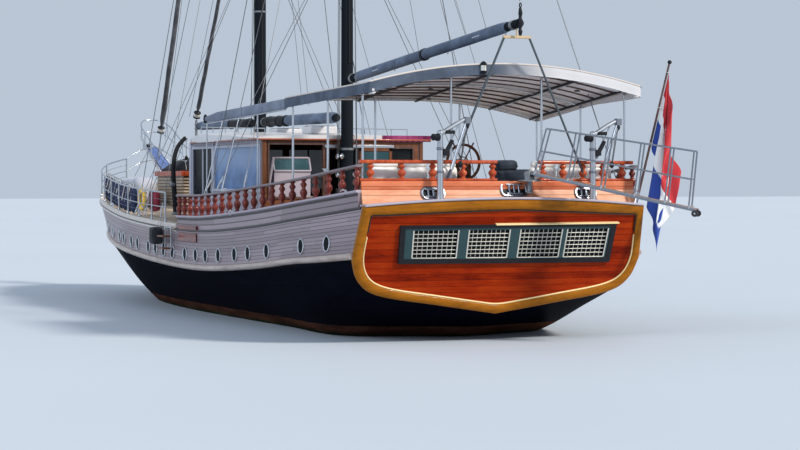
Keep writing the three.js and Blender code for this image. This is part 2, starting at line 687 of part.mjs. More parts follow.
function canopyTop(s, p) {
  const t = (s - CANOPY.aft) / (CANOPY.front - CANOPY.aft);
  const { aft, front } = CANOPY_EDGE;
  const crown = mix(aft.crown, front.crown, t);
  const side = p > 0 ? mix(aft.port, front.port, t) : mix(aft.starboard, front.starboard, t);
  const u = Math.abs(p) / CANOPY.half;
  return crown + (side - crown) * u * u;
}

const CANOPY_BREADTHS = [-3450, -2700, -1800, -900, 0, 900, 1800, 2700, 3450];

function canopySheet() {
  const { aft, front, half, sheet, valance } = CANOPY;
  const ring = (s) => [
    ...CANOPY_BREADTHS.map((p) => at(s, p, canopyTop(s, p))),
    at(s, half, canopyTop(s, half) - valance),
    at(s, half - sheet, canopyTop(s, half) - valance),
    at(s, half - sheet, canopyTop(s, half) - sheet),
    ...CANOPY_BREADTHS.slice(1, -1).reverse().map((p) => at(s, p, canopyTop(s, p) - sheet)),
    at(s, -half + sheet, canopyTop(s, -half) - sheet),
    at(s, -half + sheet, canopyTop(s, -half) - valance),
    at(s, -half, canopyTop(s, -half) - valance),
  ];
  const cover = loft([ring(aft), ring((aft + front) / 2), ring(front)], ['y', 'z']);
  const edge = (s) => CANOPY_BREADTHS.map((p) => at(s, p, canopyTop(s, p)));
  const bands = [sweep(edge(aft), rectangle(0, -sheet, -valance, -5)),
    sweep(edge(front), rectangle(0, sheet, -valance, -5))];
  const eyelet = backstay(45);
  return cut(join([cover, ...bands]), [eyelet, mirrored(eyelet)]);
}

function canopyFrame() {
  const under = (s, p) => canopyTop(s, p) - CANOPY.sheet - FIT - POST_RADIUS * Math.SQRT1_2;
  const breadths = [-OUTER_POST, ...CANOPY_BREADTHS.slice(1, -1), OUTER_POST];
  const parts = [];
  for (const s of CANOPY_ROWS) {
    parts.push(run(breadths.map((p) => at(s, p, under(s, p))), POST_RADIUS, 4));
    const inner = s === CANOPY_ROWS[1] ? [] : [-INNER_POST, INNER_POST];
    const posts = [-OUTER_POST, ...inner, OUTER_POST];
    for (const p of posts) {
      parts.push(rod(at(s, p, 2600), at(s, p, under(s, p)), POST_RADIUS, 6));
    }
  }
  for (const p of [-OUTER_POST + 100, 0, OUTER_POST - 100]) {
    parts.push(run(CANOPY_ROWS.map((s) => at(s, p, under(s, p) - 20)), POST_RADIUS * 0.8, 4));
  }
  return cut(join(parts), [hullGrown, canopySheet().translate([0, 0, -FIT])]);
}

function sideAwning(grow = 0) {
  const { from, to, p, top0, top1, deep, thick } = SIDE_AWNING;
  const sides = 12;
  const round = Array.from({ length: sides }, (_, k) => {
    const a = 2 * Math.PI * k / sides;
    return [Math.cos(a) * (thick / 2 + grow), Math.sin(a) * (deep / 2 + grow) - deep / 2];
  });
  return sweep([at(from, p, top0), at((from + to) / 2, p, (top0 + top1) / 2), at(to, p, top1)], round);
}

function sideAwningRail() {
  const { from, to, p, top0, top1, deep } = SIDE_AWNING;
  const z = (s) => mix(top0, top1, (s - from) / (to - from)) - deep - 10;
  const bar = rod(at(from + 40, p, z(from + 40)), at(to - 40, p, z(to - 40)), 24, 6);
  const posts = [7900, 12350].map((s) => rod(at(s, p, 2200), at(s, p, z(s)), 24, 6));
  return cut(join([bar, ...posts]), [hullGrown, sideAwning(FIT)]);
}

// Fittings at the stern

function davitBody(p) {
  const { s, foot, elbow, column, base, reach, headZ } = DAVIT;
  return join([
    turned([[base, FIT], [base, 60], [column, 160]], at(s, p, foot), 12),
    rod(at(s, p, foot + 20), at(s, p, elbow), column, 10, column * 0.8),
    run([at(s, p, elbow - 20), at(s, p - reach, headZ), at(s, p - reach * 0.42, 3980)], 48),
    block(s - 75, s + 75, p - reach - 75, p - reach + 75, headZ - 110, headZ + 60),
    rod(at(s, p - 90, elbow - 560), at(s, p - reach * 0.72, headZ - 60), 30, 6),
    rod(at(s, p, elbow - 620), at(s, p - 120, elbow - 540), 40, 6),
  ]);
}

function passerelleFrame() {
  const { pivot, tip } = PASSERELLE;
  const way = new THREE.Vector3().subVectors(at(tip.s, tip.p, tip.z), at(pivot.s, pivot.p, pivot.z));
  return { origin: at(pivot.s, pivot.p, pivot.z), way: way.clone().normalize(), length: way.length() };
}

function passerelleBody() {
  const { width, thick } = PASSERELLE;
  const { origin, way, length } = passerelleFrame();
  const flat = new THREE.Vector3(way.x, way.y, 0).normalize();
  const across = new THREE.Vector3(-flat.y, flat.x, 0);
  const up = new THREE.Vector3().crossVectors(way, across);
  if (up.z < 0) up.negate();
  const put = (l, side, rise) => origin.clone().addScaledVector(way, l)
    .addScaledVector(across, side).addScaledVector(up, rise);
  const ring = (l) => [put(l, -width / 2, 0), put(l, width / 2, 0), put(l, width / 2, thick),
    put(l, -width / 2, thick)];
  const capPlane = Math.abs(way.x) > Math.abs(way.y) ? ['y', 'z'] : ['x', 'z'];
  const parts = [loft([ring(130), ring(length)], capPlane),
    rod(put(0, -width / 2 + 40, 0), put(0, width / 2 - 40, 0), 60, 10),
    rod(put(0, -60, 0), put(200, -60, 30), 45, 6), rod(put(0, 60, 0), put(200, 60, 30), 45, 6),
    rod(put(length, -width / 2 - 10, -40), put(length, width / 2 + 10, -40), 75, 10)];
  for (const side of [-1, 1]) {
    const edge = side * (width / 2 - 22);
    const rise = (l) => mix(1100, 1330, l / length);
    for (const share of [0.04, 0.24, 0.44, 0.64, 0.82, 0.985]) {
      const l = share * length;
      parts.push(rod(put(l, edge, thick / 2), put(l, edge, rise(l)), 17, 4));
    }
    const first = 0.04 * length;
    const last = 0.985 * length;
    for (const [share, radius] of [[1, 20], [0.52, 14]]) {
      const ends = [first, last].map((l) => put(l, edge, rise(l) * share));
      parts.push(rod(...ends, radius, 4));
    }
  }
  return join(parts);
}

function passerelleTurntable() {
  const { pivot, width, pad } = PASSERELLE;
  const { way } = passerelleFrame();
  const flat = new THREE.Vector3(way.x, way.y, 0).normalize();
  const across = new THREE.Vector3(-flat.y, flat.x, 0);
  const centre = at(pivot.s, pivot.p, pivot.z);
  const column = turned([[85, pad + FIT], [85, pad + 40], [60, pad + 90], [60, pivot.z - 135]],
    at(pivot.s, pivot.p, 0), 12);
  const reach = width / 2 + 40;
  const plate = turned([[reach, pivot.z - 170], [reach, pivot.z - 130]], at(pivot.s, pivot.p, 0), 16);
  const ears = [-1, 1].map((side) => {
    const a = centre.clone().addScaledVector(across, side * (width / 2 - 40 + FIT));
    const b = centre.clone().addScaledVector(across, side * (width / 2 + 20));
    return rod(a, b, 70, 8);
  });
  const webs = [-1, 1].map((side) => {
    const middle = centre.clone().addScaledVector(across, side * (width / 2 - 10));
    const geometry = new THREE.BoxGeometry(110, 60 - 2 * FIT, 150);
    geometry.rotateZ(Math.atan2(flat.y, flat.x));
    geometry.translate(middle.x, middle.y, pivot.z - 80);
    return solid(geometry);
  });
  return join([column, plate, ...ears, ...webs]);
}

const STAFF = { foot: { s: 60, p: -3330, z: 3000 }, head: { s: -380, p: -4020, z: 6480 } };

function flagstaff(grow = 0) {
  const { foot, head } = STAFF;
  return cut(rod(at(foot.s, foot.p, foot.z), at(head.s, head.p, head.z + grow), 32 + grow, 8, 24 + grow),
    [hullGrown]);
}

function flagBody() {
  // height, station, half breadth, half width, half thickness of the hanging cloth
  const rows = [
    [6200, -400, -4010, 60, 50],
    [5600, -330, -4060, 200, 75],
    [4600, -270, -4080, 240, 80],
    [3400, -230, -4100, 260, 80],
    [2500, -220, -4110, 230, 70],
    [1960, -220, -4110, 120, 50],
  ];
  const rings = rows.map(([z, s, p, wide, thick]) => [at(s - wide, p - thick, z), at(s + wide, p - thick, z),
    at(s + wide, p + thick, z), at(s - wide, p + thick, z)]);
  return cut(loft(rings, ['x', 'y']), [flagstaff(FIT)]);
}

function helmWheel() {
  const { s, p, z, radius } = HELM;
  const rim = new THREE.TorusGeometry(radius, 26, 5, 16);
  rim.rotateY(Math.PI / 2);
  const centre = at(s, p, z);
  rim.translate(centre.x, centre.y, centre.z);
  const parts = [solid(rim), rod(at(s - 60, p, z), at(s + 60, p, z), 70, 10)];
  for (let k = 0; k < 6; k += 1) {
    const a = k * Math.PI / 3;
    const reach = radius + 130;
    const spoke = new THREE.Vector3(0, Math.cos(a) * reach, Math.sin(a) * reach);
    parts.push(rod(centre, centre.clone().add(spoke), 17, 6));
  }
  return join(parts);
}

function helmPedestal() {
  const { s, p, z } = HELM;
  const column = block(s + 60 + FIT, s + 460, p - 240, p + 240, 2600, z + 90);
  return cut(column, [hullGrown]);
}

// Deck fittings

// Low slatted cabin trunk on the foredeck with its wooden coaming
function foreTrunk() {
  const { aft, front, half, top } = TRUNK;
  const body = block(aft, front, -half, half, 2500, top - 150);
  const coaming = block(aft - 90, front + 90, -half - 90, half + 90, top - 160, top);
  return cut(join([body, coaming]), [hullGrown]);
}

function hatchLid() {
  return block(LID.aft, LID.front, -LID.half, LID.half, TRUNK.top + FIT, TRUNK.top + 80);
}

function coveredLocker() {
  const { front, half, top } = TRUNK;
  const rows = [[-1450, 0.45], [-1250, 0.9], [-750, 1], [-250, 0.92], [-60, 0.5]];
  const rings = rows.map(([back, share]) => [[-half + 80, 0], [half - 80, 0], [half - 160, 300 * share],
    [half * 0.5, 450 * share], [-half * 0.5, 450 * share], [-half + 160, 300 * share]].map(
    ([p, rise]) => at(front + back, p, top + FIT + rise)));
  return loft(rings, ['y', 'z']);
}

function boatCrane() {
  const { s, p, pad, rows } = CRANE;
  const foot = turned([[130, FIT], [130, 60], [60, 110]], at(s, p, pad), 10);
  return join([foot, run(rows.map(([forward, outboard, z]) => at(s + forward, p + outboard, z)), 62)]);
}

function fenderRow() {
  const { from, to, count, inset, radius, long } = FENDERS;
  const feet = Array.from({ length: count }, (_, k) => {
    const s = mix(from, to, k / (count - 1));
    return at(s, deckHalf(s) - inset, deckEdgeZ(s) + 150);
  });
  const bar = run(feet.map((foot) => foot.clone().setZ(foot.z + long + 60)), 22, 4);
  const bodies = feet.map((foot) => turned(
    [[radius * 0.4, 0], [radius, 70], [radius, long - 130], [20, long], [20, long + 60]], foot, 8));
  const legs = [feet[0], feet[count - 1]].map((foot) => rod(foot.clone().setZ(foot.z - 500),
    foot.clone().setZ(foot.z + 40), 20, 4));
  return cut(join([bar, ...bodies, ...legs]), [hullGrown]);
}

function boardingLadder() {
  const { aft, front, p, top, foot, steps } = LADDER;
  const rails = [aft, front - 45].map((s) => block(s, s + 45, p, p + 50, foot, top));
  const slabs = Array.from({ length: steps }, (_, k) => {
    const z = mix(foot + 40, top - 260, k / (steps - 1));
    return block(aft, front, p, p + 280, z, z + 45);
  });
  const eye = rod(at(aft, p + 25, top), at(front, p + 25, top), 34, 8);
  return join([...rails, ...slabs, eye]);
}

// Brackets on the hull side that carry the ladder's pin
function ladderHinge() {
  const { aft, front, p, top } = LADDER;
  const ears = [aft - 50, front + FIT].map((s) => (
    block(s, s + 50 - FIT, p - 500, p + 60, top - 35, top + 35)));
  const bar = block(aft - 50, front + 50, p - 500, p - 45, top - 35, top + 35);
  return join([...ears, bar]);
}

// A pad that hangs against the hull, with its upper part outside the toe rail
function sideFender() {
  const { aft, front, p, low, shoulder, high } = SIDE_FENDER;
  const inner = block(aft, front, p - 400, p + 300, low, shoulder);
  const outer = block(aft, front, p, p + 300, low, high);
  return cut(join([inner, outer]), [hullGrown]);
}

function sternSettee(p0, p1) {
  const seat = block(SETTEE.aft, SETTEE.front, p0, p1, 2900, SETTEE.seat);
  const roll = block(SETTEE.aft, SETTEE.aft + SETTEE.roll, p0, p1, SETTEE.seat - 50, SETTEE.back);
  return cut(join([seat, roll]), [hullGrown]);
}

// The track above the doorway in which the door slides
function doorTrack() {
  const { aft } = HOUSE;
  const { rest, width, top } = DOOR;
  return block(aft - 65, aft + 20, rest - width - 60, rest + width + 60, top + FIT, top + 80);
}

function slidingDoor() {
  const { aft } = HOUSE;
  return block(aft - 45 - 12, aft - 12, DOOR.rest - DOOR.width, DOOR.rest, 2560, DOOR.top);
}

// Assembly

const boat = new THREE.Group();

function addPiece(name, body, finish) {
  const [color, roughness, metalness] = FINISH[finish];
  const material = new THREE.MeshStandardMaterial({ color, roughness, metalness });
  const mesh = new THREE.Mesh(geometryOf(body), material);
  mesh.name = name;
  boat.add(mesh);
}

// A port piece and its mirror image, each fitted to what it rests on
function addPair(name, body, finish, tools = []) {
  addPiece(`${name}_port`, cut(body, tools), finish);
  addPiece(`${name}_starboard`, cut(mirrored(body), tools), finish);
}

addPiece('hull', hullBody(0), 'topside');
addPiece('keel', cut(keelBody(), [hullGrown]), 'darkCover');
addPair('rubbing_strake', rubbingStrake(), 'pale', [hullGrown]);
addPiece('rudder', rudderBody(), 'darkCover');
addPiece('propeller', propellerBody(), 'bronze');

addPair('bulwark', bulwarkSide(), 'topside', [hullGrown]);
addPair('balustrade', balustradeSide(), 'mahogany');
addPiece('stern_bulwark', sternBulwark(), 'mahogany');
addPiece('stern_balustrade_port', sternBalustrade(GANGWAY.from, STERN_RAIL_END), 'mahogany');
addPiece('stern_balustrade_starboard', sternBalustrade(GANGWAY.to, -STERN_RAIL_END), 'mahogany');
addPiece('toe_rail_port', cut(join([toeRail(), ladderHinge()]), [hullGrown]), 'pale');
addPiece('toe_rail_starboard', cut(mirrored(toeRail()), [hullGrown]), 'pale');
addPair('foredeck_rail', foreRail(), 'steel', toeRailsGrown);
addPiece('bowsprit', bowspritBody(), 'teak');
addPiece('pulpit', pulpitBody(), 'steel');

for (const name of Object.keys(MASTS)) addPiece(name, mastBody(name), 'spar');
for (const name of Object.keys(BOOMS)) addPiece(name, boomBody(name), 'cover');
addPiece('outer_forestay', outerForestay(), 'darkCover');
addPiece('inner_forestay', innerForestay(), 'darkCover');
const mainMastGrown = mastBody('main_mast', FIT);
const mizzenMastGrown = mastBody('mizzen_mast', FIT);
addPair('main_shroud', shroud('main_mast'), 'steel', [mainMastGrown, hullGrown, ...toeRailsGrown]);
addPair('mizzen_shroud', shroud('mizzen_mast'), 'steel', [mizzenMastGrown, ...topRailsGrown]);
addPair('backstay', backstay(), 'steel', [mizzenMastGrown, hullGrown]);
addPiece('triatic_stay', cut(triatic(), [mainMastGrown, mizzenMastGrown]), 'steel');

addPair('deckhouse_side', houseSide(), 'teak', [hullGrown]);
addPiece('deckhouse_front', houseEnd(HOUSE.front - HOUSE.wall, HOUSE_FRONT_WINDOWS), 'teak');
const houseBack = houseEnd(HOUSE.aft, [HOUSE_DOORWAY, ...HOUSE_AFT_WINDOWS]);
addPiece('deckhouse_aft', join([houseBack, doorTrack()]), 'teak');
addPiece('deckhouse_roof', houseRoof(), 'pale');
addPiece('deckhouse_door', slidingDoor(), 'glass');

addPiece('canopy', canopySheet(), 'cover');
addPiece('canopy_frame', canopyFrame(), 'steel');
addPiece('side_awning', sideAwning(), 'cover');
addPiece('side_awning_rail', sideAwningRail(), 'steel');

for (const [name, p] of Object.entries(DAVITS)) {
  addPiece(name, davitBody(p), 'steel');
}
addPiece('passerelle', passerelleBody(), 'steel');
addPiece('passerelle_turntable', passerelleTurntable(), 'steel');
addPiece('flagstaff', flagstaff(), 'teak');
addPiece('flag', flagBody(), 'flag');
addPiece('helm_wheel', helmWheel(), 'teak');
addPiece('helm_pedestal', helmPedestal(), 'teak');

addPiece('stern_settee_port', sternSettee(SETTEE.inner, SETTEE.outer), 'cushion');
addPiece('stern_settee_starboard', sternSettee(-SETTEE.outer, -SETTEE.inner), 'cushion');
addPiece('foredeck_trunk', foreTrunk(), 'teak');
addPiece('hatch_lid', hatchLid(), 'teak');
addPiece('locker_cover', coveredLocker(), 'darkCover');
addPiece('deck_crane', boatCrane(), 'darkCover');
addPiece('fender_row', fenderRow(), 'darkCover');
addPiece('boarding_ladder', boardingLadder(), 'teak');
addPiece('side_fender', sideFender(), 'darkCover');

export default boat;
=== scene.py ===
"""Looks of a two-masted wooden motor sailing yacht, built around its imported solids.

Metres. +X is forward, +Y is port, +Z is up, and the water is at zero. A station is a distance
forward of the transom's top edge.
"""

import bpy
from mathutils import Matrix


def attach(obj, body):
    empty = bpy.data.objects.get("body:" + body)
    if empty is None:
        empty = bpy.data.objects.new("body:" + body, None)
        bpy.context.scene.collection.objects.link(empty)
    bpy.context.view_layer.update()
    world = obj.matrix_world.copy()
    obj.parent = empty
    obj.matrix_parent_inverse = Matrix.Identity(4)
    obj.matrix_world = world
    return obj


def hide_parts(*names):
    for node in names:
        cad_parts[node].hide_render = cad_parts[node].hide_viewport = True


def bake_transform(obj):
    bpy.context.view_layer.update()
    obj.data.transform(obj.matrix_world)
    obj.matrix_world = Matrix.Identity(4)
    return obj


bl_info = {
    "name": "Motor sailing yacht",
    "version": (1, 0, 0),
    "blender": (4, 5, 0),
    "location": "3D View > Sidebar > Yacht",
    "description": "Builds the visible pieces of a wooden motor sailing yacht around its solids",
    "category": "Object",
}

import math
import random

import bmesh
import bpy
from mathutils import Vector, noise

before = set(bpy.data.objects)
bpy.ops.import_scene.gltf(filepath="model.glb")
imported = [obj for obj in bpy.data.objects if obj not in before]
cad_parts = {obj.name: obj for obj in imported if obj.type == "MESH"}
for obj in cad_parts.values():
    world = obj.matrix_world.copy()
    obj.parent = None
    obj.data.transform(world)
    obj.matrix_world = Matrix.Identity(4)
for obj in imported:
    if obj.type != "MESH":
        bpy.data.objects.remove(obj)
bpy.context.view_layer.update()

# Measures

SIDES = ((1, "port"), (-1, "starboard"))
AMIDSHIPS = 14.0  # station of the origin
HULL_TABLE = [
    # station, keel z, then half breadth and z of garboard, bilge, turn, wale and deck edge
    (0, 0.93, 1.55, 1.142, 2.97, 1.363, 3.425, 1.613, 3.59, 1.978, 3.52, 3.14),
    (2, 0.15, 1.4, 0.36, 2.75, 0.62, 3.44, 1.06, 3.74, 1.84, 3.68, 2.97),
    (4, -0.45, 1.3, -0.28, 2.6, -0.05, 3.38, 0.56, 3.82, 1.72, 3.79, 2.81),
    (7, -1.15, 1.0, -0.8, 2.25, -0.3, 3.25, 0.45, 3.89, 1.49, 3.88, 2.58),
    (11, -1.6, 1.0, -1.15, 2.2, -0.5, 3.23, 0.35, 3.98, 1.31, 3.98, 2.39),
    (15, -1.7, 1.0, -1.25, 2.2, -0.55, 3.23, 0.35, 3.99, 1.37, 3.99, 2.45),
    (19, -1.6, 0.95, -1.15, 2.05, -0.5, 3.05, 0.4, 3.87, 1.55, 3.9, 2.61),
    (22, -1.35, 0.8, -0.9, 1.75, -0.3, 2.7, 0.6, 3.56, 1.76, 3.66, 2.81),
    (24.5, -0.95, 0.55, -0.5, 1.2, 0.1, 2.05, 0.95, 3.02, 2.04, 3.33, 3.05),
    (26.5, -0.35, 0.3, 0.1, 0.7, 0.65, 1.3, 1.4, 2.12, 2.38, 2.65, 3.31),
    (27.7, 0.5, 0.12, 0.9, 0.35, 1.4, 0.7, 2.0, 1.23, 2.72, 1.79, 3.5),
    (28.4, 1.7, 0.06, 1.95, 0.14, 2.25, 0.28, 2.64, 0.52, 3.04, 0.96, 3.62),
    (28.7, 3.0, 0.025, 3.06, 0.045, 3.14, 0.07, 3.24, 0.1, 3.4, 0.18, 3.67),
]
RAIL_TABLE = [(0, 3.55, 4.13), (3.6, 3.26, 3.81), (6.8, 3.02, 3.6), (10.8, 2.8, 3.38), (13.3, 2.77, 3.35)]
STEP = 13.3  # where the raised after bulwark ends
BOW = 28.7
HULL_ROWS = 90  # rows of the hull's faces from the transom to the stem
TRANSOM_SPAN = (-0.7, 2.5)  # stations that the transom lies between
DECK_CAMBER = 0.12
WALE_DEPTH = 0.16
WALE_PROUD = 0.09
TRANSOM = {"rake": 0.87, "top": 3.12, "height": 2.45, "bow": 0.2, "half": 3.6}
STERN = {"foot": 3.25, "sill": 3.72, "rail": 4.2, "lean": 0.23, "foot_s": 0.2, "end": 3.285}
CANOPY = {"aft": -0.1, "front": 5.6, "half": 3.45, "valance": 0.24}
# Heights of the canopy aft and in front
CANOPY_Z = {"crown": (6.4, 5.83), "port": (5.93, 5.78), "starboard": (5.93, 5.33)}
CANOPY_ROWS = (0.56, 2.85, 5.35)
OUTER_POST = 3.325
INNER_POST = 1.15
HOUSE = {"aft": 10.7, "front": 17.6, "half": 2.3, "wall": 0.06, "foot": 2.45, "eaves": 4.85}
MASTS = {
    "main_mast": {"s": 17.95, "foot": 0.19, "head": 0.135, "top": 28.0, "spreaders": (11.5, 19.5),
                  "track": 5.9},
    "mizzen_mast": {"s": 10.4, "foot": 0.175, "head": 0.125, "top": 26.0, "spreaders": (11.0, 18.5),
                    "track": 6.95},
}
MAST_STEP = 2.2  # height that the masts' taper is measured from
# Halyards beside or ahead of each mast: how far forward and out, and the foot's height
HALYARDS = {
    "main_mast": ((0.24, 0.1, 4.4), (0.26, 0.2, 3.9), (0.22, 0.14, 3.4)),
    "mizzen_mast": ((0.04, 0.28, 4.4), (0.0, 0.27, 3.9), (-0.04, 0.26, 3.4)),
}
CHAINPLATE = {"main_mast": (3.86, 2.6), "mizzen_mast": (3.89, 3.35)}
BOOMS = {
    "mizzen_boom": {"pivot": 10.165, "end": -0.7, "z0": 6.5, "z1": 7.3, "radius": 0.12},
    "main_boom": {"pivot": 17.7, "end": 11.2, "z0": 5.52, "z1": 5.48, "radius": 0.125},
    "staysail_boom": {"pivot": 24.6, "end": 18.7, "z0": 5.56, "z1": 5.52, "radius": 0.11},
}
BOWSPRIT = {"heel_s": 26.9, "heel_z": 3.56, "tip_s": 30.4, "tip_z": 4.98, "width": 0.62, "depth": 0.15}
CAMERA = {"s": -45.44, "p": 21.0, "z": 3.7, "lens": 98.1, "shift": -0.0538,
          "way": (0.9272, -0.3746, 0)}


# Curves that the solids follow


def at(s, p, z):
    """The point at a station, a half breadth to port and a height."""
    return Vector((s - AMIDSHIPS, p, z))


def mix(a, b, t):
    return a + (b - a) * t


def along(table, column, s):
    """Smooth curve through a table's column, by the station in its first column."""
    last = len(table) - 1
    if s < table[0][0]:
        rise = (table[1][column] - table[0][column]) / (table[1][0] - table[0][0])
        return table[0][column] + rise * (s - table[0][0])
    i = 0
    while i < last - 1 and s > table[i + 1][0]:
        i += 1

    def slope(k):
        a, b = max(k - 1, 0), min(k + 1, last)
        return (table[b][column] - table[a][column]) / (table[b][0] - table[a][0])

    span = table[i + 1][0] - table[i][0]
    t = min(max((s - table[i][0]) / span, 0), 1)
    return ((2 * t**3 - 3 * t**2 + 1) * table[i][column] + (t**3 - 2 * t**2 + t) * span * slope(i)
            + (3 * t**2 - 2 * t**3) * table[i + 1][column] + (t**3 - t**2) * span * slope(i + 1))


def deck_half(s):
    return along(HULL_TABLE, 10, s)


def deck_z(s):
    return along(HULL_TABLE, 11, s)


def deck_top(s, p):
    """Height of the deck, which rises to the centreline."""
    half = deck_half(s)
    return deck_z(s) + DECK_CAMBER * min(1, half / 3) * (1 - min(abs(p) / half, 1))


def sill_z(s):
    return along(RAIL_TABLE, 1, s)


def rail_z(s):
    return along(RAIL_TABLE, 2, s)


def wale_half(s):
    return along(HULL_TABLE, 8, s)


def wale_z(s):
    return along(HULL_TABLE, 9, s)


def transom_s(p, z):
    """Station of the raked and bowed transom."""
    return (TRANSOM["rake"] * (TRANSOM["top"] - z) / TRANSOM["height"]
            - TRANSOM["bow"] * (1 - (p / TRANSOM["half"]) ** 2))


def stern_s(p, lean):
    return STERN["foot_s"] + lean - TRANSOM["bow"] * (1 - (p / TRANSOM["half"]) ** 2)


def canopy_top(s, p):
    t = (s - CANOPY["aft"]) / (CANOPY["front"] - CANOPY["aft"])
    crown = mix(*CANOPY_Z["crown"], t)
    side = mix(*CANOPY_Z["port" if p > 0 else "starboard"], t)
    return crown + (side - crown) * (abs(p) / CANOPY["half"]) ** 2


def spline(points, steps):
    """A smooth line through points, each leg in that many steps."""
    points = [Vector(point) for point in points]
    line = []
    for i in range(len(points) - 1):
        a, b = points[max(i - 1, 0)], points[i]
        c, d = points[i + 1], points[min(i + 2, len(points) - 1)]
        for k in range(steps):
            t = k / steps
            line.append(0.5 * (2 * b + (c - a) * t + (2 * a - 5 * b + 4 * c - d) * t**2
                               + (3 * b - a - 3 * c + d) * t**3))
    return line + [points[-1]]


def steps_between(a, b, count):
    return [mix(a, b, k / count) for k in range(count + 1)]


# Shapes


def round_steps(count):
    """Angles evenly spaced round a circle."""
    return [2 * math.pi * k / count for k in range(count)]


def square_to(way):
    """Two directions square to an axis and to each other."""
    upright = Vector((1, 0, 0)) if abs(way.z) > 0.9 else Vector((0, 0, 1))
    side = way.cross(upright).normalized()
    return side, way.cross(side)


def rings_along(points, radius, sides, radii=None, flat=1.0):
    """Rings of a tube along a line, each turned on from the one before it."""
    points = [Vector(point) for point in points]
    legs = [(b - a).normalized() for a, b in zip(points, points[1:])]
    ways = [legs[0]] + [(a + b).normalized() for a, b in zip(legs, legs[1:])] + [legs[-1]]
    side, lift = square_to(ways[0])
    rings = []
    for i, (point, way) in enumerate(zip(points, ways)):
        if i:
            side = ways[i - 1].rotation_difference(way) @ side
            lift = way.cross(side)
        reach = radii[i] if radii else radius
        rings.append([point + side * (math.cos(a) * reach) + lift * (math.sin(a) * reach * flat)
                      for a in round_steps(sides)])
    return rings


def section_rings(path, section):
    """Rings of a strip along a path: its section is pairs of outward and upward offsets."""
    rings = []
    for i, point in enumerate(path):
        before, after = path[max(i - 1, 0)], path[min(i + 1, len(path) - 1)]
        way = (after - before) * Vector((1, 1, 0))
        way.normalize()
        out = Vector((-way.y, way.x, 0))
        rings.append([point + out * u + Vector((0, 0, v)) for u, v in section])
    return rings


def rounded(u0, u1, v0, v1, radius, steps=3):
    """A rectangle with rounded corners, as offsets."""
    line = []
    for cu, cv, start in ((u1 - radius, v1 - radius, 0), (u0 + radius, v1 - radius, 90),
                          (u0 + radius, v0 + radius, 180), (u1 - radius, v0 + radius, 270)):
        for k in range(steps + 1):
            a = math.radians(start + 90 * k / steps)
            line.append((cu + math.cos(a) * radius, cv + math.sin(a) * radius))
    return line


def flipped(points, side):
    """The points, mirrored where the side is -1."""
    return [point * Vector((1, side, 1)) for point in points]


def strip(path, section, side):
    """A strip along a path, on the port side or mirrored."""
    return Shape().grid([flipped(ring, side) for ring in section_rings(path, section)], 0, True, True)


THINNEST = 0.00005  # radius that a turned form's pointed end keeps


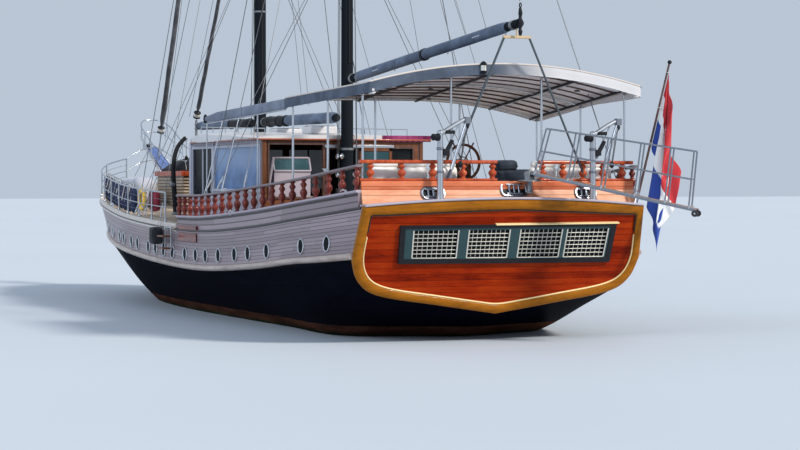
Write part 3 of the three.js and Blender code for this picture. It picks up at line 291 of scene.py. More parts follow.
class Shape:
    """Gathers the faces of one piece, each with its finish and its place on the surface."""

    def __init__(self):
        self.points, self.faces, self.marks, self.maps = [], [], [], []

    def add(self, points, faces, mark=0, maps=None):
        base = len(self.points)
        self.points += [tuple(point) for point in points]
        for i, face in enumerate(faces):
            self.faces.append([base + k for k in face])
            self.marks.append(mark)
            self.maps.append(maps[i] if maps else [(0.0, 0.0)] * len(face))

    def grid(self, rows, mark=0, loop=False, caps=False, place=None):
        """Faces between rows of points. A row that loops is closed to a ring."""
        count = len(rows[0])
        if place is None:
            runs, turns = [0.0], [0.0]
            for a, b in zip(rows, rows[1:]):
                runs.append(runs[-1] + (Vector(b[0]) - Vector(a[0])).length)
            middle = rows[len(rows) // 2]
            for k in range(count):
                turns.append(turns[-1] + (Vector(middle[(k + 1) % count]) - Vector(middle[k])).length)

            def place(i, j):
                return runs[i], turns[j]

        faces, maps = [], []
        for i in range(len(rows) - 1):
            for j in range(count if loop else count - 1):
                n = (j + 1) % count
                faces.append((i * count + j, i * count + n, (i + 1) * count + n, (i + 1) * count + j))
                maps.append([place(i, j), place(i, j + 1), place(i + 1, j + 1), place(i + 1, j)])
        if caps:
            for r in (0, len(rows) - 1):
                faces.append(tuple(r * count + k for k in range(count)))
                maps.append([place(r, k) for k in range(count)])
        self.add([point for row in rows for point in row], faces, mark, maps)
        return self

    def slab(self, face, back, face_mark=0, back_mark=0):
        """A sheet with some thickness: two like grids and the strips that close their edges."""
        self.grid(face, face_mark).grid(back, back_mark)
        for k in (0, -1):
            self.grid([face[k], back[k]], face_mark)
            self.grid([[row[k] for row in face], [row[k] for row in back]], face_mark)
        return self

    def tube(self, points, radius, sides=10, mark=0, radii=None):
        return self.grid(rings_along(points, radius, sides, radii), mark, True, True)

    def sweep(self, path, section):
        return self.grid(section_rings(path, section), 0, True, True)

    def turned(self, profile, foot, way=(0, 0, 1), sides=12, mark=0):
        """A turned form: pairs of radius and height along an axis."""
        way = Vector(way).normalized()
        side, lift = square_to(way)
        rows = [[Vector(foot) + way * z + (side * math.cos(a) + lift * math.sin(a)) * max(r, THINNEST)
                 for a in round_steps(sides)] for r, z in profile]
        return self.grid(rows, mark, True, True)

    def block(self, low, high, mark=0, turn=None, centre=None):
        """A box between two corners, which may be turned about its centre."""
        low, high = Vector(low), Vector(high)
        corners = [Vector((x, y, z)) for z in (low.z, high.z) for y in (low.y, high.y)
                   for x in (low.x, high.x)]
        if turn is not None:
            middle = Vector(centre) if centre is not None else (low + high) / 2
            corners = [turn @ (corner - middle) + middle for corner in corners]
        faces = [(0, 1, 3, 2), (4, 5, 7, 6), (0, 1, 5, 4), (2, 3, 7, 6), (0, 2, 6, 4), (1, 3, 7, 5)]
        self.add(corners, faces, mark, [[(corners[k].x, corners[k].z) for k in face] for face in faces])
        return self

    def plank(self, a, b, width, depth):
        """A level bar of oblong section between two points."""
        a, b = Vector(a), Vector(b)
        way = (b - a).normalized()
        side = way.cross(Vector((0, 0, 1))).normalized() * width / 2
        lift = side.cross(way).normalized() * depth / 2
        rings = [[end + side * u + lift * v for u, v in ((-1, -1), (1, -1), (1, 1), (-1, 1))]
                 for end in (a, b)]
        return self.grid(rings, 0, True, True)

    def ball(self, centre, radius, mark=0, sides=12, rows=8, squeeze=1.0):
        profile = [(math.sin(math.pi * k / rows) * radius, -math.cos(math.pi * k / rows) * radius * squeeze)
                   for k in range(rows + 1)]
        return self.turned(profile, centre, (0, 0, 1), sides, mark)

    def ring(self, centre, radius, thick, way=(0, 0, 1), sides=24, section=8, mark=0, flat=1.0):
        """A closed ring of round section about an axis."""
        way = Vector(way).normalized()
        side, lift = square_to(way)
        rows = []
        for i in range(sides + 1):
            a = 2 * math.pi * i / sides
            out = side * math.cos(a) + lift * math.sin(a)
            rows.append([Vector(centre) + out * (radius + math.cos(b) * thick)
                         + way * (math.sin(b) * thick * flat) for b in round_steps(section)])
        return self.grid(rows, mark, True)


def shaded(mesh, sharp):
    """Smooth faces, with edges over an angle in degrees kept sharp."""
    mesh.polygons.foreach_set("use_smooth", [True] * len(mesh.polygons))
    mesh.set_sharp_from_angle(angle=math.radians(sharp))


def bare_object(name, data):
    made = bpy.data.objects.new(name, data)
    bpy.context.scene.collection.objects.link(made)
    return made


def smoothed(made):
    smooth = made.modifiers.new("Smooth", "SUBSURF")
    smooth.levels = smooth.render_levels = 1


def piece(name, shape, finishes, body="yacht", stands_for=(), closed=True, sharp=38,
          bevel=0.0, merge=0.0002, ride=True):
    """Makes the object of a shape and has it ride on its body."""
    mesh = bpy.data.meshes.new(name)
    mesh.from_pydata(shape.points, [], shape.faces)
    mesh.polygons.foreach_set("material_index", shape.marks)
    layer = mesh.uv_layers.new(name="UVMap")
    layer.data.foreach_set("uv", [x for face in shape.maps for pair in face for x in pair])
    work = bmesh.new()
    work.from_mesh(mesh)
    bmesh.ops.remove_doubles(work, verts=work.verts, dist=merge)
    if closed:
        bmesh.ops.recalc_face_normals(work, faces=work.faces)
    work.to_mesh(mesh)
    work.free()
    for finish in [finishes] if isinstance(finishes, str) else finishes:
        mesh.materials.append(FINISHES[finish])
    shaded(mesh, sharp)
    made = bare_object(name, mesh)
    if bevel:
        rounding = made.modifiers.new("Rounded edges", "BEVEL")
        rounding.width = bevel
        rounding.segments = 2
        rounding.limit_method = "ANGLE"
        rounding.angle_limit = math.radians(40)
    if ride:
        seat(made, body, stands_for)
    return made


def seat(made, body, stands_for=()):
    """The piece rides on its body, and may stand for solids, which are then hidden."""
    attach(made, body)
    if stands_for:
        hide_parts(*([stands_for] if isinstance(stands_for, str) else stands_for))
    return made


# Finishes

FINISHES = {}


class Value:
    """A socket that can be used in a sum."""

    def __init__(self, paint, socket):
        self.paint, self.socket = paint, socket

    def sum(self, operation, *others):
        return self.paint.node("ShaderNodeMath", {"operation": operation}, [self, *others])

    def turned_sum(self, operation, other):
        return self.paint.node("ShaderNodeMath", {"operation": operation}, [other, self])

    def __add__(self, other):
        return self.sum("ADD", other)

    def __radd__(self, other):
        return self.turned_sum("ADD", other)

    def __sub__(self, other):
        return self.sum("SUBTRACT", other)

    def __rsub__(self, other):
        return self.turned_sum("SUBTRACT", other)

    def __mul__(self, other):
        return self.sum("MULTIPLY", other)

    def __rmul__(self, other):
        return self.turned_sum("MULTIPLY", other)

    def __truediv__(self, other):
        return self.sum("DIVIDE", other)

    def __rtruediv__(self, other):
        return self.turned_sum("DIVIDE", other)

    def fraction(self):
        return self.sum("FRACT")

    def whole(self):
        return self.sum("FLOOR")

    def size(self):
        return self.sum("ABSOLUTE")

    def edge(self):
        """Distance from the middle of each unit, which is 0.5 at the unit's edges."""
        return (self.fraction() - 0.5).size()

    def clip(self, low, high):
        """0 below low, 1 above high, and a smooth step between them."""
        return self.paint.node("ShaderNodeMapRange", {"interpolation_type": "SMOOTHSTEP"},
                               {"Value": self, "From Min": low, "From Max": high})


class Paint:
    """Builds the nodes of one finish."""

    def __init__(self, name):
        self.material = bpy.data.materials.new(name)
        self.material.use_nodes = True
        self.tree = self.material.node_tree
        self.shader = next(n for n in self.tree.nodes if n.type == "BSDF_PRINCIPLED")
        FINISHES[name] = self.material

    def node(self, kind, settings=None, sockets=None, out=0):
        made = self.tree.nodes.new(kind)
        for key, value in (settings or {}).items():
            if key == "stops":
                ramp = made.color_ramp.elements
                for i, (place, colour) in enumerate(value):
                    stop = ramp[i] if i < 2 else ramp.new(place)
                    stop.position = place
                    stop.color = (*colour, 1)
            else:
                setattr(made, key, value)
        pairs = sockets.items() if isinstance(sockets, dict) else enumerate(sockets or [])
        for key, value in pairs:
            self.feed(made.inputs[key], value)
        return Value(self, made.outputs[out])

    def feed(self, socket, value):
        if isinstance(value, Value):
            self.tree.links.new(value.socket, socket)
        elif socket.type == "RGBA" and len(value) == 3:
            socket.default_value = (*value, 1)
        else:
            socket.default_value = value

    def here(self, stretch=(1, 1, 1)):
        """Object coordinates, stretched."""
        place = self.node("ShaderNodeTexCoord", out="Object")
        return self.node("ShaderNodeMapping", {}, {"Vector": place, "Scale": stretch})

    def surface(self):
        """The piece's own map, in metres."""
        return self.node("ShaderNodeUVMap", {"uv_map": "UVMap"}, out="UV")

    def part(self, place, axis):
        return self.node("ShaderNodeSeparateXYZ", {}, [place], axis)

    def noise(self, place, scale, detail=3.0, roughness=0.5, distortion=0.0):
        return self.node("ShaderNodeTexNoise", {}, {"Vector": place, "Scale": scale, "Detail": detail,
                                                    "Roughness": roughness, "Distortion": distortion})

    def chance(self, *numbers):
        """A number that stays the same over each cell."""
        cell = self.node("ShaderNodeCombineXYZ", {}, list(numbers))
        return self.node("ShaderNodeTexWhiteNoise", {"noise_dimensions": "3D"}, {"Vector": cell})

    def mixed(self, share, a, b):
        return self.node("ShaderNodeMix", {"data_type": "RGBA"}, {0: share, 6: a, 7: b}, 2)

    def ramp(self, value, *stops):
        return self.node("ShaderNodeValToRGB", {"stops": stops}, [value])

    def set(self, **sockets):
        for key, value in sockets.items():
            self.feed(self.shader.inputs[key.replace("_", " ")], value)
        return self

    def relief(self, height, depth, strength=1.0):
        self.feed(self.shader.inputs["Normal"],
                  self.node("ShaderNodeBump", {}, {"Height": height, "Distance": depth,
                                                   "Strength": strength}))
        return self


def wood(name, dark, mid, light, grain=(1, 1, 1), rough=0.3, coat=0.25, fine=1.0, boards=None, shine=0.12):
    """Wood with its grain along the axis whose stretch is small. Boards are an axis and a width."""
    paint = Paint(name)
    place = paint.here(grain)
    streak = paint.noise(place, 9 * fine, 5, 0.6, 0.4)
    pores = paint.noise(place, 60 * fine, 3, 0.6)
    cloud = paint.noise(paint.here(), 1.3, 2)
    tone = streak * 0.62 + pores * 0.22 + cloud * 0.3
    height = pores * 0.3 + streak * 0.4
    if boards:
        axis, width = boards
        run = paint.part(paint.here(), axis) / width
        edge = run.edge()
        seam = edge.clip(0.45, 0.485)
        tone = tone + (paint.chance(run.whole(), 3.0, 1.0) - 0.5) * 0.3
        height = height * (1 - seam) - seam * 2
    colour = paint.ramp(tone, (0.3, dark), (0.55, mid), (0.82, light))
    if boards:
        colour = paint.mixed(seam * 0.75, colour, [x * 0.22 for x in dark])
    paint.set(Base_Color=colour, Roughness=paint.noise(paint.here(), 14, 2) * 0.16 + (rough - 0.06),
              Coat_Weight=coat, Coat_Roughness=0.08, Specular_IOR_Level=shine)
    paint.relief(height, 0.0012, 0.6)


def plain(name, colour, rough, metal=0.0, coat=0.0, spread=0.12, scale=6.0, bump=0.0, wear=None,
          shine=0.4):
    """Paint, plastic or metal with slight clouds, specks and relief."""
    paint = Paint(name)
    cloud = paint.noise(paint.here(), scale, 4, 0.6)
    speck = paint.noise(paint.here(), scale * 14, 2)
    shade = (cloud - 0.5) * 2 * spread + (speck - 0.5) * spread
    low, high = [x * (1 - spread) for x in colour], [min(x * (1 + spread) + 0.01, 1) for x in colour]
    mixed = paint.mixed(shade + 0.5, low, high)
    if wear:
        mixed = paint.mixed(cloud.clip(0.58, 0.74) * 0.6, mixed, wear)
    paint.set(Base_Color=mixed, Roughness=speck * 0.1 + cloud * 0.12 + (rough - 0.1), Metallic=metal,
              Coat_Weight=coat, Specular_IOR_Level=shine)
    if bump:
        paint.relief(speck * 0.5 + cloud, bump, 0.5)


def cloth(name, colour, pitch=0.004, rough=0.85, fade=0.1, second=None, sheen=0.08, creases=0.006,
          mapped=True, sunlit_starboard=None):
    """Woven cloth, on the piece's own map where it has one, with creases and sun-faded patches, and a
    painted sunlit side to starboard where one is given.
    """
    paint = Paint(name)
    place = paint.surface() if mapped else paint.here()
    across, length = paint.part(place, 0) / pitch, paint.part(place, 1) / pitch
    thread = across.edge() + length.edge()
    if not mapped:
        thread = (thread + (paint.part(place, 2) / pitch).edge()) * 0.67
    cloud = paint.noise(paint.here(), 1.7, 4, 0.6)
    fold = paint.noise(paint.here((1, 1, 1.6)), 5, 3, 0.55, 0.5)
    light = [min(x * (1 + fade * 2) + fade * 0.1, 1) for x in colour]
    dark = [x * (1 - fade) for x in colour]
    tone = paint.mixed(cloud.clip(0.3, 0.72), dark, second or light)
    # Painted sunlight: the cloth turns paler towards starboard, the side the sun falls on.
    if sunlit_starboard:
        tone = paint.mixed(1 - paint.part(paint.here(), 1).clip(-1.4, 0.5), tone, sunlit_starboard)
    tone = paint.mixed((1 - thread) * 0.22, tone, [x * 0.55 for x in colour])
    paint.set(Base_Color=tone, Roughness=thread * 0.08 + (rough - 0.04), Sheen_Weight=sheen,
              Specular_IOR_Level=0.12)
    weave = paint.node("ShaderNodeBump", {}, {"Height": thread, "Distance": 0.0006, "Strength": 0.4})
    paint.feed(paint.shader.inputs["Normal"], paint.node(
        "ShaderNodeBump", {}, {"Height": fold, "Distance": creases, "Strength": 0.6, "Normal": weave}))


def glass(name, colour, alpha, rough=0.04, upper=None, shine=0.3):
    """A pane with smears, which may take a painted reflection of the sky: another colour above the rail's
    height.
    """
    paint = Paint(name)
    smear = paint.noise(paint.here(), 2.2, 3)
    tone = paint.mixed(smear.clip(0.35, 0.7), colour, [min(x * 1.35 + 0.01, 1) for x in colour])
    # Painted reflection: above the rail's height the pane turns to the colour of the sky it reflects.
    if upper:
        tone = paint.mixed((paint.part(paint.here(), 2) + smear * 0.25).clip(3.9, 4.55), tone, upper)
    paint.set(Base_Color=tone, Roughness=smear * 0.08 + rough, Alpha=smear * 0.1 + (alpha - 0.05),
              Specular_IOR_Level=shine)


def planked_side(name, look):
    """Painted planks of the topsides: along the piece's map, one plank to a unit across."""
    paint = Paint(name)
    place = paint.surface()
    along_, plank = paint.part(place, 0), paint.part(place, 1)
    edge = plank.edge()
    seam = edge.clip(0.405, 0.465)
    number = plank.whole()
    run = along_ / 5.2 + paint.chance(number, 7.0, 2.0) * 4
    butt = run.edge().clip(0.4975, 0.4995)
    shade = paint.chance(number, run.whole(), 5.0)
    grain = paint.noise(paint.node("ShaderNodeMapping", {}, {"Vector": place, "Scale": (0.5, 7, 1)}), 6, 5,
                        0.6)
    cloud = paint.noise(paint.here((0.3, 0.3, 1)), 2.2, 3, 0.6)
    tone = shade * 0.42 + grain * 0.45 + cloud * 0.3
    base = list(look.topside)
    colour = paint.ramp(tone, (0.25, [x * 0.72 for x in base]), (0.58, base),
                        (0.95, [min(x * 1.32 + 0.02, 1) for x in base]))
    line = paint.mixed(seam * 0.82, colour, [0.035, 0.025, 0.028])
    line = paint.mixed(butt * 0.7, line, [0.05, 0.035, 0.035])
    paint.set(Base_Color=line, Roughness=grain * 0.12 + 0.3, Coat_Weight=0.12, Coat_Roughness=0.15,
              Specular_IOR_Level=0.3)
    paint.relief(1 - seam + grain * 0.06 - butt * 0.4, 0.006, 0.8)


def painted_bottom(name, look):
    """Glossy dark paint with faint plank seams, a brown boot-top at the water and dull paint under it."""
    paint = Paint(name)
    place = paint.here()
    height = paint.part(place, 2)
    wander = (paint.noise(paint.here((0.5, 0.5, 2)), 3, 3) - 0.5) * 0.05
    level = height + wander
    plank = paint.part(paint.surface(), 1)
    seam = plank.edge().clip(0.44, 0.49)
    cloud = paint.noise(paint.here((0.25, 0.25, 1.5)), 3, 4, 0.6)
    upper = paint.mixed(cloud.clip(0.35, 0.7), list(look.bottom), [x * 1.8 for x in look.bottom])
    below = paint.mixed(cloud.clip(0.3, 0.65), [0.05, 0.022, 0.016], [0.11, 0.045, 0.028])
    weed = paint.mixed(cloud.clip(0.4, 0.7), [0.02, 0.03, 0.016], [0.05, 0.055, 0.03])
    tone = paint.mixed(level.clip(0.27, 0.3), below, upper)
    tone = paint.mixed(1 - level.clip(0.03, 0.12), tone, weed)
    tone = paint.mixed(seam * 0.35, tone, [0.004, 0.004, 0.006])
    paint.set(Base_Color=tone, Roughness=0.62 - level.clip(0.2, 0.34) * 0.48 + cloud * 0.08,
              Coat_Weight=level.clip(0.25, 0.33) * 0.05, Coat_Roughness=0.05, Specular_IOR_Level=0)
    paint.relief(cloud * 0.5 - seam * 0.25, 0.01, 0.5)


def caulked_deck(name):
    """Teak planks along the deck with black seams and butts."""
    paint = Paint(name)
    place = paint.here()
    run = paint.part(place, 1) / 0.11
    edge = run.edge()
    seam = edge.clip(0.44, 0.47)
    number = run.whole()
    length = paint.part(place, 0) / 3.4 + paint.chance(number, 2.0, 9.0) * 5
    butt = length.edge().clip(0.4985, 0.4995)
    grain = paint.noise(paint.here((0.7, 12, 1)), 5, 4, 0.6)
    tone = grain * 0.5 + paint.chance(number, length.whole(), 4.0) * 0.45
    colour = paint.ramp(tone, (0.2, [0.28, 0.2, 0.14]), (0.5, [0.46, 0.35, 0.25]),
                        (0.85, [0.6, 0.49, 0.37]))
    colour = paint.mixed(seam.sum("MAXIMUM", butt) * 0.9, colour, [0.012, 0.011, 0.01])
    paint.set(Base_Color=colour, Roughness=grain * 0.15 + 0.58)
    paint.relief(grain * 0.3 - seam, 0.002, 0.6)


def banded_flag(name):
    """Three plain bands along the cloth's own map."""
    paint = Paint(name)
    across = paint.part(paint.surface(), 1)
    thread = paint.noise(paint.surface(), 260, 1)
    first = across.clip(0.331, 0.336)
    second = across.clip(0.664, 0.669)
    tone = paint.mixed(first, [0.48, 0.012, 0.02], [0.8, 0.8, 0.8])
    tone = paint.mixed(second, tone, [0.012, 0.05, 0.3])
    paint.set(Base_Color=tone, Roughness=thread * 0.1 + 0.72, Sheen_Weight=0.3)
    paint.relief(thread, 0.0006, 0.4)


def rope(name, colour):
    """Laid rope with slanting strands."""
    paint = Paint(name)
    pitch = 0.03
    place = paint.here()
    ridge = ((paint.part(place, 0) + paint.part(place, 1) * 1.6 + paint.part(place, 2)) / pitch).edge()
    paint.set(Base_Color=paint.mixed(ridge * 1.4, colour, [x * 0.45 for x in colour]),
              Roughness=ridge * 0.1 + 0.78)
    paint.relief(0.5 - ridge, 0.002, 0.7)


def make_finishes(look):
    planked_side("planked topside", look)
    painted_bottom("painted bottom", look)
    caulked_deck("caulked deck")
    red, gold = list(look.varnish), list(look.gilded)
    wood("varnished transom", [red[0] * 0.42, red[1] * 0.3, red[2] * 0.4], red,
         [min(red[0] * 1.4, 1), red[1] * 2.2, red[2] * 2.5], (1, 0.16, 1), 0.24, 0.06, 1.0, (2, 0.145),
         0.03)
    wood("sunlit moulding", [0.3, 0.06, 0.025], [0.5, 0.12, 0.05], [0.66, 0.22, 0.11], (1, 0.16, 1), 0.3,
         0.15, 1.0, (2, 0.2))
    wood("sunlit panel", [0.4, 0.15, 0.08], [0.62, 0.27, 0.15], [0.78, 0.42, 0.28], (1, 0.16, 1), 0.3, 0.15,
         1.0, (2, 0.2))
    wood("golden varnish", [x * 0.5 for x in gold], gold, [min(x * 1.45, 1) for x in gold], (1, 0.3, 1),
         0.26, 0.12, shine=0.06)
    wood("mahogany", [0.035, 0.006, 0.006], [0.13, 0.018, 0.014], [0.3, 0.06, 0.03], (1, 1, 0.3), 0.22, 0.4)
    wood("dark rail", [0.03, 0.016, 0.014], [0.085, 0.045, 0.038], [0.17, 0.1, 0.085], (0.2, 0.6, 1), 0.28,
         0.5)
    wood("bright mahogany", [0.13, 0.018, 0.008], [0.36, 0.055, 0.02], [0.58, 0.14, 0.045], (1, 1, 0.4),
         0.22, 0.25)
    wood("brown wood", [0.04, 0.014, 0.008], [0.125, 0.045, 0.02], [0.24, 0.095, 0.045], (1, 1, 0.18), 0.35,
         0.3)
    wood("house boards", [0.04, 0.014, 0.008], [0.12, 0.042, 0.018], [0.22, 0.085, 0.04], (1, 0.16, 1),
         0.35, 0.3, 1.0, (2, 0.13))
    wood("oiled teak", [0.17, 0.085, 0.04], [0.34, 0.19, 0.1], [0.5, 0.32, 0.18], (0.2, 1, 1), 0.5, 0.1)
    wood("pale slats", [0.22, 0.18, 0.13], [0.36, 0.31, 0.23], [0.5, 0.45, 0.36], (0.2, 1, 1), 0.5, 0.05)
    plain("pale sill", (0.36, 0.32, 0.37), 0.4, coat=0.1, shine=0.2)
    plain("side rail", (0.17, 0.14, 0.155), 0.4, coat=0.15, shine=0.2, spread=0.25)
    plain("house paint", (0.34, 0.33, 0.4), 0.4, coat=0.1, shine=0.2)
    plain("window frame", (0.44, 0.46, 0.54), 0.4, coat=0.1, shine=0.2)
    plain("blue board", (0.1, 0.16, 0.36), 0.4, shine=0.2)
    plain("pale moulding", (0.56, 0.5, 0.45), 0.36, coat=0.3, spread=0.15, wear=(0.4, 0.33, 0.27))
    wood("wale paint", [0.2, 0.15, 0.13], [0.42, 0.34, 0.3], [0.58, 0.5, 0.44], (0.12, 1, 1), 0.34, 0.4)
    plain("cream bead", (0.86, 0.66, 0.32), 0.3, coat=0.5)
    plain("dark strake", (0.02, 0.015, 0.016), 0.32, coat=0.2, wear=(0.06, 0.045, 0.042), shine=0.2)
    plain("spar paint", look.spar, 0.62, shine=0.03, spread=0.2, scale=2.0,
          wear=[x * 1.6 for x in look.spar])
    plain("chrome", (0.66, 0.68, 0.71), 0.16, metal=1.0, spread=0.1, scale=20)
    plain("brushed steel", (0.5, 0.53, 0.57), 0.3, metal=1.0, spread=0.12, scale=24)
    plain("gangplank steel", (0.24, 0.26, 0.3), 0.32, metal=1.0, spread=0.15, scale=24)
    plain("wire rope", (0.16, 0.165, 0.18), 0.42, metal=0.85, spread=0.25, scale=40)
    plain("black fitting", (0.008, 0.009, 0.012), 0.45, spread=0.3, scale=12, coat=0.04, shine=0.12)
    plain("grey metal", (0.2, 0.215, 0.23), 0.42, metal=0.6, spread=0.2, scale=12)
    plain("white gel coat", (0.6, 0.59, 0.6), 0.3, coat=0.2, spread=0.05, wear=(0.5, 0.47, 0.43), shine=0.2)
    plain("tan wood fitting", (0.5, 0.36, 0.2), 0.45, spread=0.25, scale=14)
    plain("teal frame", (0.012, 0.045, 0.052), 0.3, coat=0.2, spread=0.25, shine=0.25)
    plain("dark pane", (0.003, 0.005, 0.006), 0.5, spread=0.3, shine=0.03)
    plain("bronze", (0.42, 0.26, 0.1), 0.34, metal=1.0, spread=0.3, scale=9, wear=(0.12, 0.2, 0.14))
    plain("yellow foam", (0.85, 0.5, 0.03), 0.5, spread=0.12, bump=0.002)
    plain("black rubber", (0.018, 0.018, 0.02), 0.7, spread=0.3, bump=0.003)
    plain("lamp glass", (0.75, 0.74, 0.66), 0.15, coat=0.8)
    plain("varnish trim", (0.3, 0.07, 0.025), 0.26, coat=0.4, spread=0.25, scale=10)
    plain("louvre slats", (0.62, 0.6, 0.53), 0.32, metal=0.55, spread=0.2, scale=9)
    glass("dark glass", (0.012, 0.02, 0.024), 0.94)
    glass("teal glass", (0.025, 0.07, 0.085), 0.8)
    # Blue of a painted sky reflection, paler above the rail.
    glass("sky glass", (0.075, 0.15, 0.31), 0.97, upper=(0.22, 0.32, 0.5), shine=0.12)
    glass("smoked pane", (0.004, 0.007, 0.009), 0.75, 0.2, shine=0.08)
    cloth("slate canvas", list(look.canvas), 0.005, 0.82, 0.16)
    # Near-white lining, partly painted light: its paleness stands for the sun shining through the canopy.
    cloth("canopy lining", (0.92, 0.9, 0.95), 0.005, 0.85, 0.06, (0.9, 0.87, 0.86))
    # The valance's starboard half is paler: painted sunlight.
    cloth("valance canvas", list(look.canvas), 0.005, 0.82, 0.16, sunlit_starboard=(0.6, 0.6, 0.62))
    cloth("awning canvas", (0.17, 0.2, 0.26), 0.005, 0.82, 0.12)
    cloth("boom canvas", [x * 1.7 for x in look.canvas], 0.005, 0.82, 0.2)
    cloth("dark canvas", (0.012, 0.014, 0.018), 0.005, 0.8, 0.06)
    cloth("white cushion", (0.84, 0.83, 0.8), 0.004, 0.85, 0.06, sheen=0.4, creases=0.008, mapped=False)
    cloth("purple cloth", (0.2, 0.02, 0.09), 0.004, 0.85, 0.3)
    cloth("maroon bag", (0.2, 0.015, 0.03), 0.004, 0.7, 0.3, mapped=False)
    cloth("pale tarp", (0.42, 0.44, 0.5), 0.004, 0.85, 0.1, mapped=False)
    cloth("navy cover", (0.012, 0.02, 0.035), 0.004, 0.85, 0.3, mapped=False)
    cloth("black cover", (0.015, 0.016, 0.02), 0.004, 0.75, 0.3, mapped=False)
    cloth("fender cover", (0.025, 0.035, 0.085), 0.004, 0.85, 0.25, (0.05, 0.065, 0.13), mapped=False)
    cloth("black curtain", (0.012, 0.012, 0.015), 0.004, 0.9, 0.2)
    cloth("sail cloth", (0.06, 0.065, 0.075), 0.006, 0.7, 0.35, (0.12, 0.12, 0.13))
    banded_flag("flag bands")
    rope("white rope", [0.62, 0.6, 0.55])
    rope("dark rope", [0.05, 0.05, 0.055])
    rope("blue rope", [0.07, 0.09, 0.11])


# Repeats and lines made by Geometry Nodes

TREES = {}


def node_group(name, inputs):
    """A tree with a geometry input, named inputs and a geometry output."""
    tree = bpy.data.node_groups.new(name, "GeometryNodeTree")
    tree.interface.new_socket(name="Geometry", in_out="INPUT", socket_type="NodeSocketGeometry")
    for label, kind, default in inputs:
        socket = tree.interface.new_socket(name=label, in_out="INPUT", socket_type=kind)
        if default is not None:
            socket.default_value = default
    tree.interface.new_socket(name="Geometry", in_out="OUTPUT", socket_type="NodeSocketGeometry")
    return tree, tree.nodes.new("NodeGroupInput"), tree.nodes.new("NodeGroupOutput")


def link(tree, *pairs):
    for source, target in pairs:
        tree.links.new(source, target)


def repeat_tree():
    """Sets a shape on each point, turned and sized by the point's attributes."""
    tree, start, end = node_group("Repeated shape", [
        ("Shape", "NodeSocketObject", None), ("Size", "NodeSocketFloat", 1.0),
        ("Finish", "NodeSocketMaterial", None)])
    shape = tree.nodes.new("GeometryNodeObjectInfo")
    turn, size = (tree.nodes.new("GeometryNodeInputNamedAttribute") for _ in range(2))
    for reader, label in ((turn, "turn"), (size, "size")):
        reader.data_type = "FLOAT_VECTOR"
        reader.inputs["Name"].default_value = label
    grown = tree.nodes.new("ShaderNodeVectorMath")
    grown.operation = "SCALE"
    spread = tree.nodes.new("GeometryNodeInstanceOnPoints")
    real = tree.nodes.new("GeometryNodeRealizeInstances")
    coat = tree.nodes.new("GeometryNodeSetMaterial")
    link(tree, (start.outputs["Shape"], shape.inputs["Object"]),
         (start.outputs["Geometry"], spread.inputs["Points"]),
         (shape.outputs["Geometry"], spread.inputs["Instance"]),
         (turn.outputs["Attribute"], spread.inputs["Rotation"]),
         (size.outputs["Attribute"], grown.inputs[0]), (start.outputs["Size"], grown.inputs["Scale"]),
         (grown.outputs[0], spread.inputs["Scale"]),
         (spread.outputs[0], real.inputs[0]), (real.outputs[0], coat.inputs["Geometry"]),
         (start.outputs["Finish"], coat.inputs["Material"]), (coat.outputs[0], end.inputs[0]))
    return tree


def line_tree():
    """Turns edges into round bars or wires."""
    tree, start, end = node_group("Round bars", [
        ("Radius", "NodeSocketFloat", 0.01), ("Sides", "NodeSocketInt", 8),
        ("Finish", "NodeSocketMaterial", None)])
    curve = tree.nodes.new("GeometryNodeMeshToCurve")
    circle = tree.nodes.new("GeometryNodeCurvePrimitiveCircle")
    bar = tree.nodes.new("GeometryNodeCurveToMesh")
    bar.inputs["Fill Caps"].default_value = True
    real = tree.nodes.new("GeometryNodeRealizeInstances")
    coat = tree.nodes.new("GeometryNodeSetMaterial")
    link(tree, (start.outputs["Geometry"], curve.inputs["Mesh"]),
         (start.outputs["Radius"], circle.inputs["Radius"]),
         (start.outputs["Sides"], circle.inputs["Resolution"]), (curve.outputs[0], bar.inputs["Curve"]),
         (circle.outputs["Curve"], bar.inputs["Profile Curve"]), (bar.outputs[0], real.inputs[0]),
         (real.outputs[0], coat.inputs["Geometry"]), (start.outputs["Finish"], coat.inputs["Material"]),
         (coat.outputs[0], end.inputs[0]))
    return tree


def grown_by(tree, carrier, values):
    """The plain mesh that the tree makes of the carrier, whose modifier is then removed."""
    change = carrier.modifiers.new("Made by rule", "NODES")
    change.node_group = tree
    for item in tree.interface.items_tree:
        if item.item_type == "SOCKET" and item.in_out == "INPUT" and item.name in values:
            change[item.identifier] = values[item.name]
    bpy.context.view_layer.update()
    graph = bpy.context.evaluated_depsgraph_get()
    mesh = bpy.data.meshes.new_from_object(carrier.evaluated_get(graph), depsgraph=graph)
    carrier.modifiers.clear()
    return mesh


def drop(*objects):
    for made in objects:
        bpy.data.objects.remove(made)


def repeated(name, shape, places, finish, body="yacht", stands_for=()):
    """One piece of like shapes. A place is a point, a turn and a size for each axis."""
    pattern = piece("pattern", shape, finish, ride=False)
    points = bpy.data.meshes.new("places")
    points.from_pydata([tuple(place[0]) for place in places], [], [])
    for label, column in (("turn", 1), ("size", 2)):
        layer = points.attributes.new(label, "FLOAT_VECTOR", "POINT")
        layer.data.foreach_set("vector", [x for place in places for x in place[column]])
    carrier = bare_object("places", points)
    mesh = grown_by(TREES["repeat"], carrier, {"Shape": pattern, "Size": 1.0, "Finish": FINISHES[finish]})
    drop(pattern, carrier)
    mesh.name = name
    return seat(bare_object(name, mesh), body, stands_for)


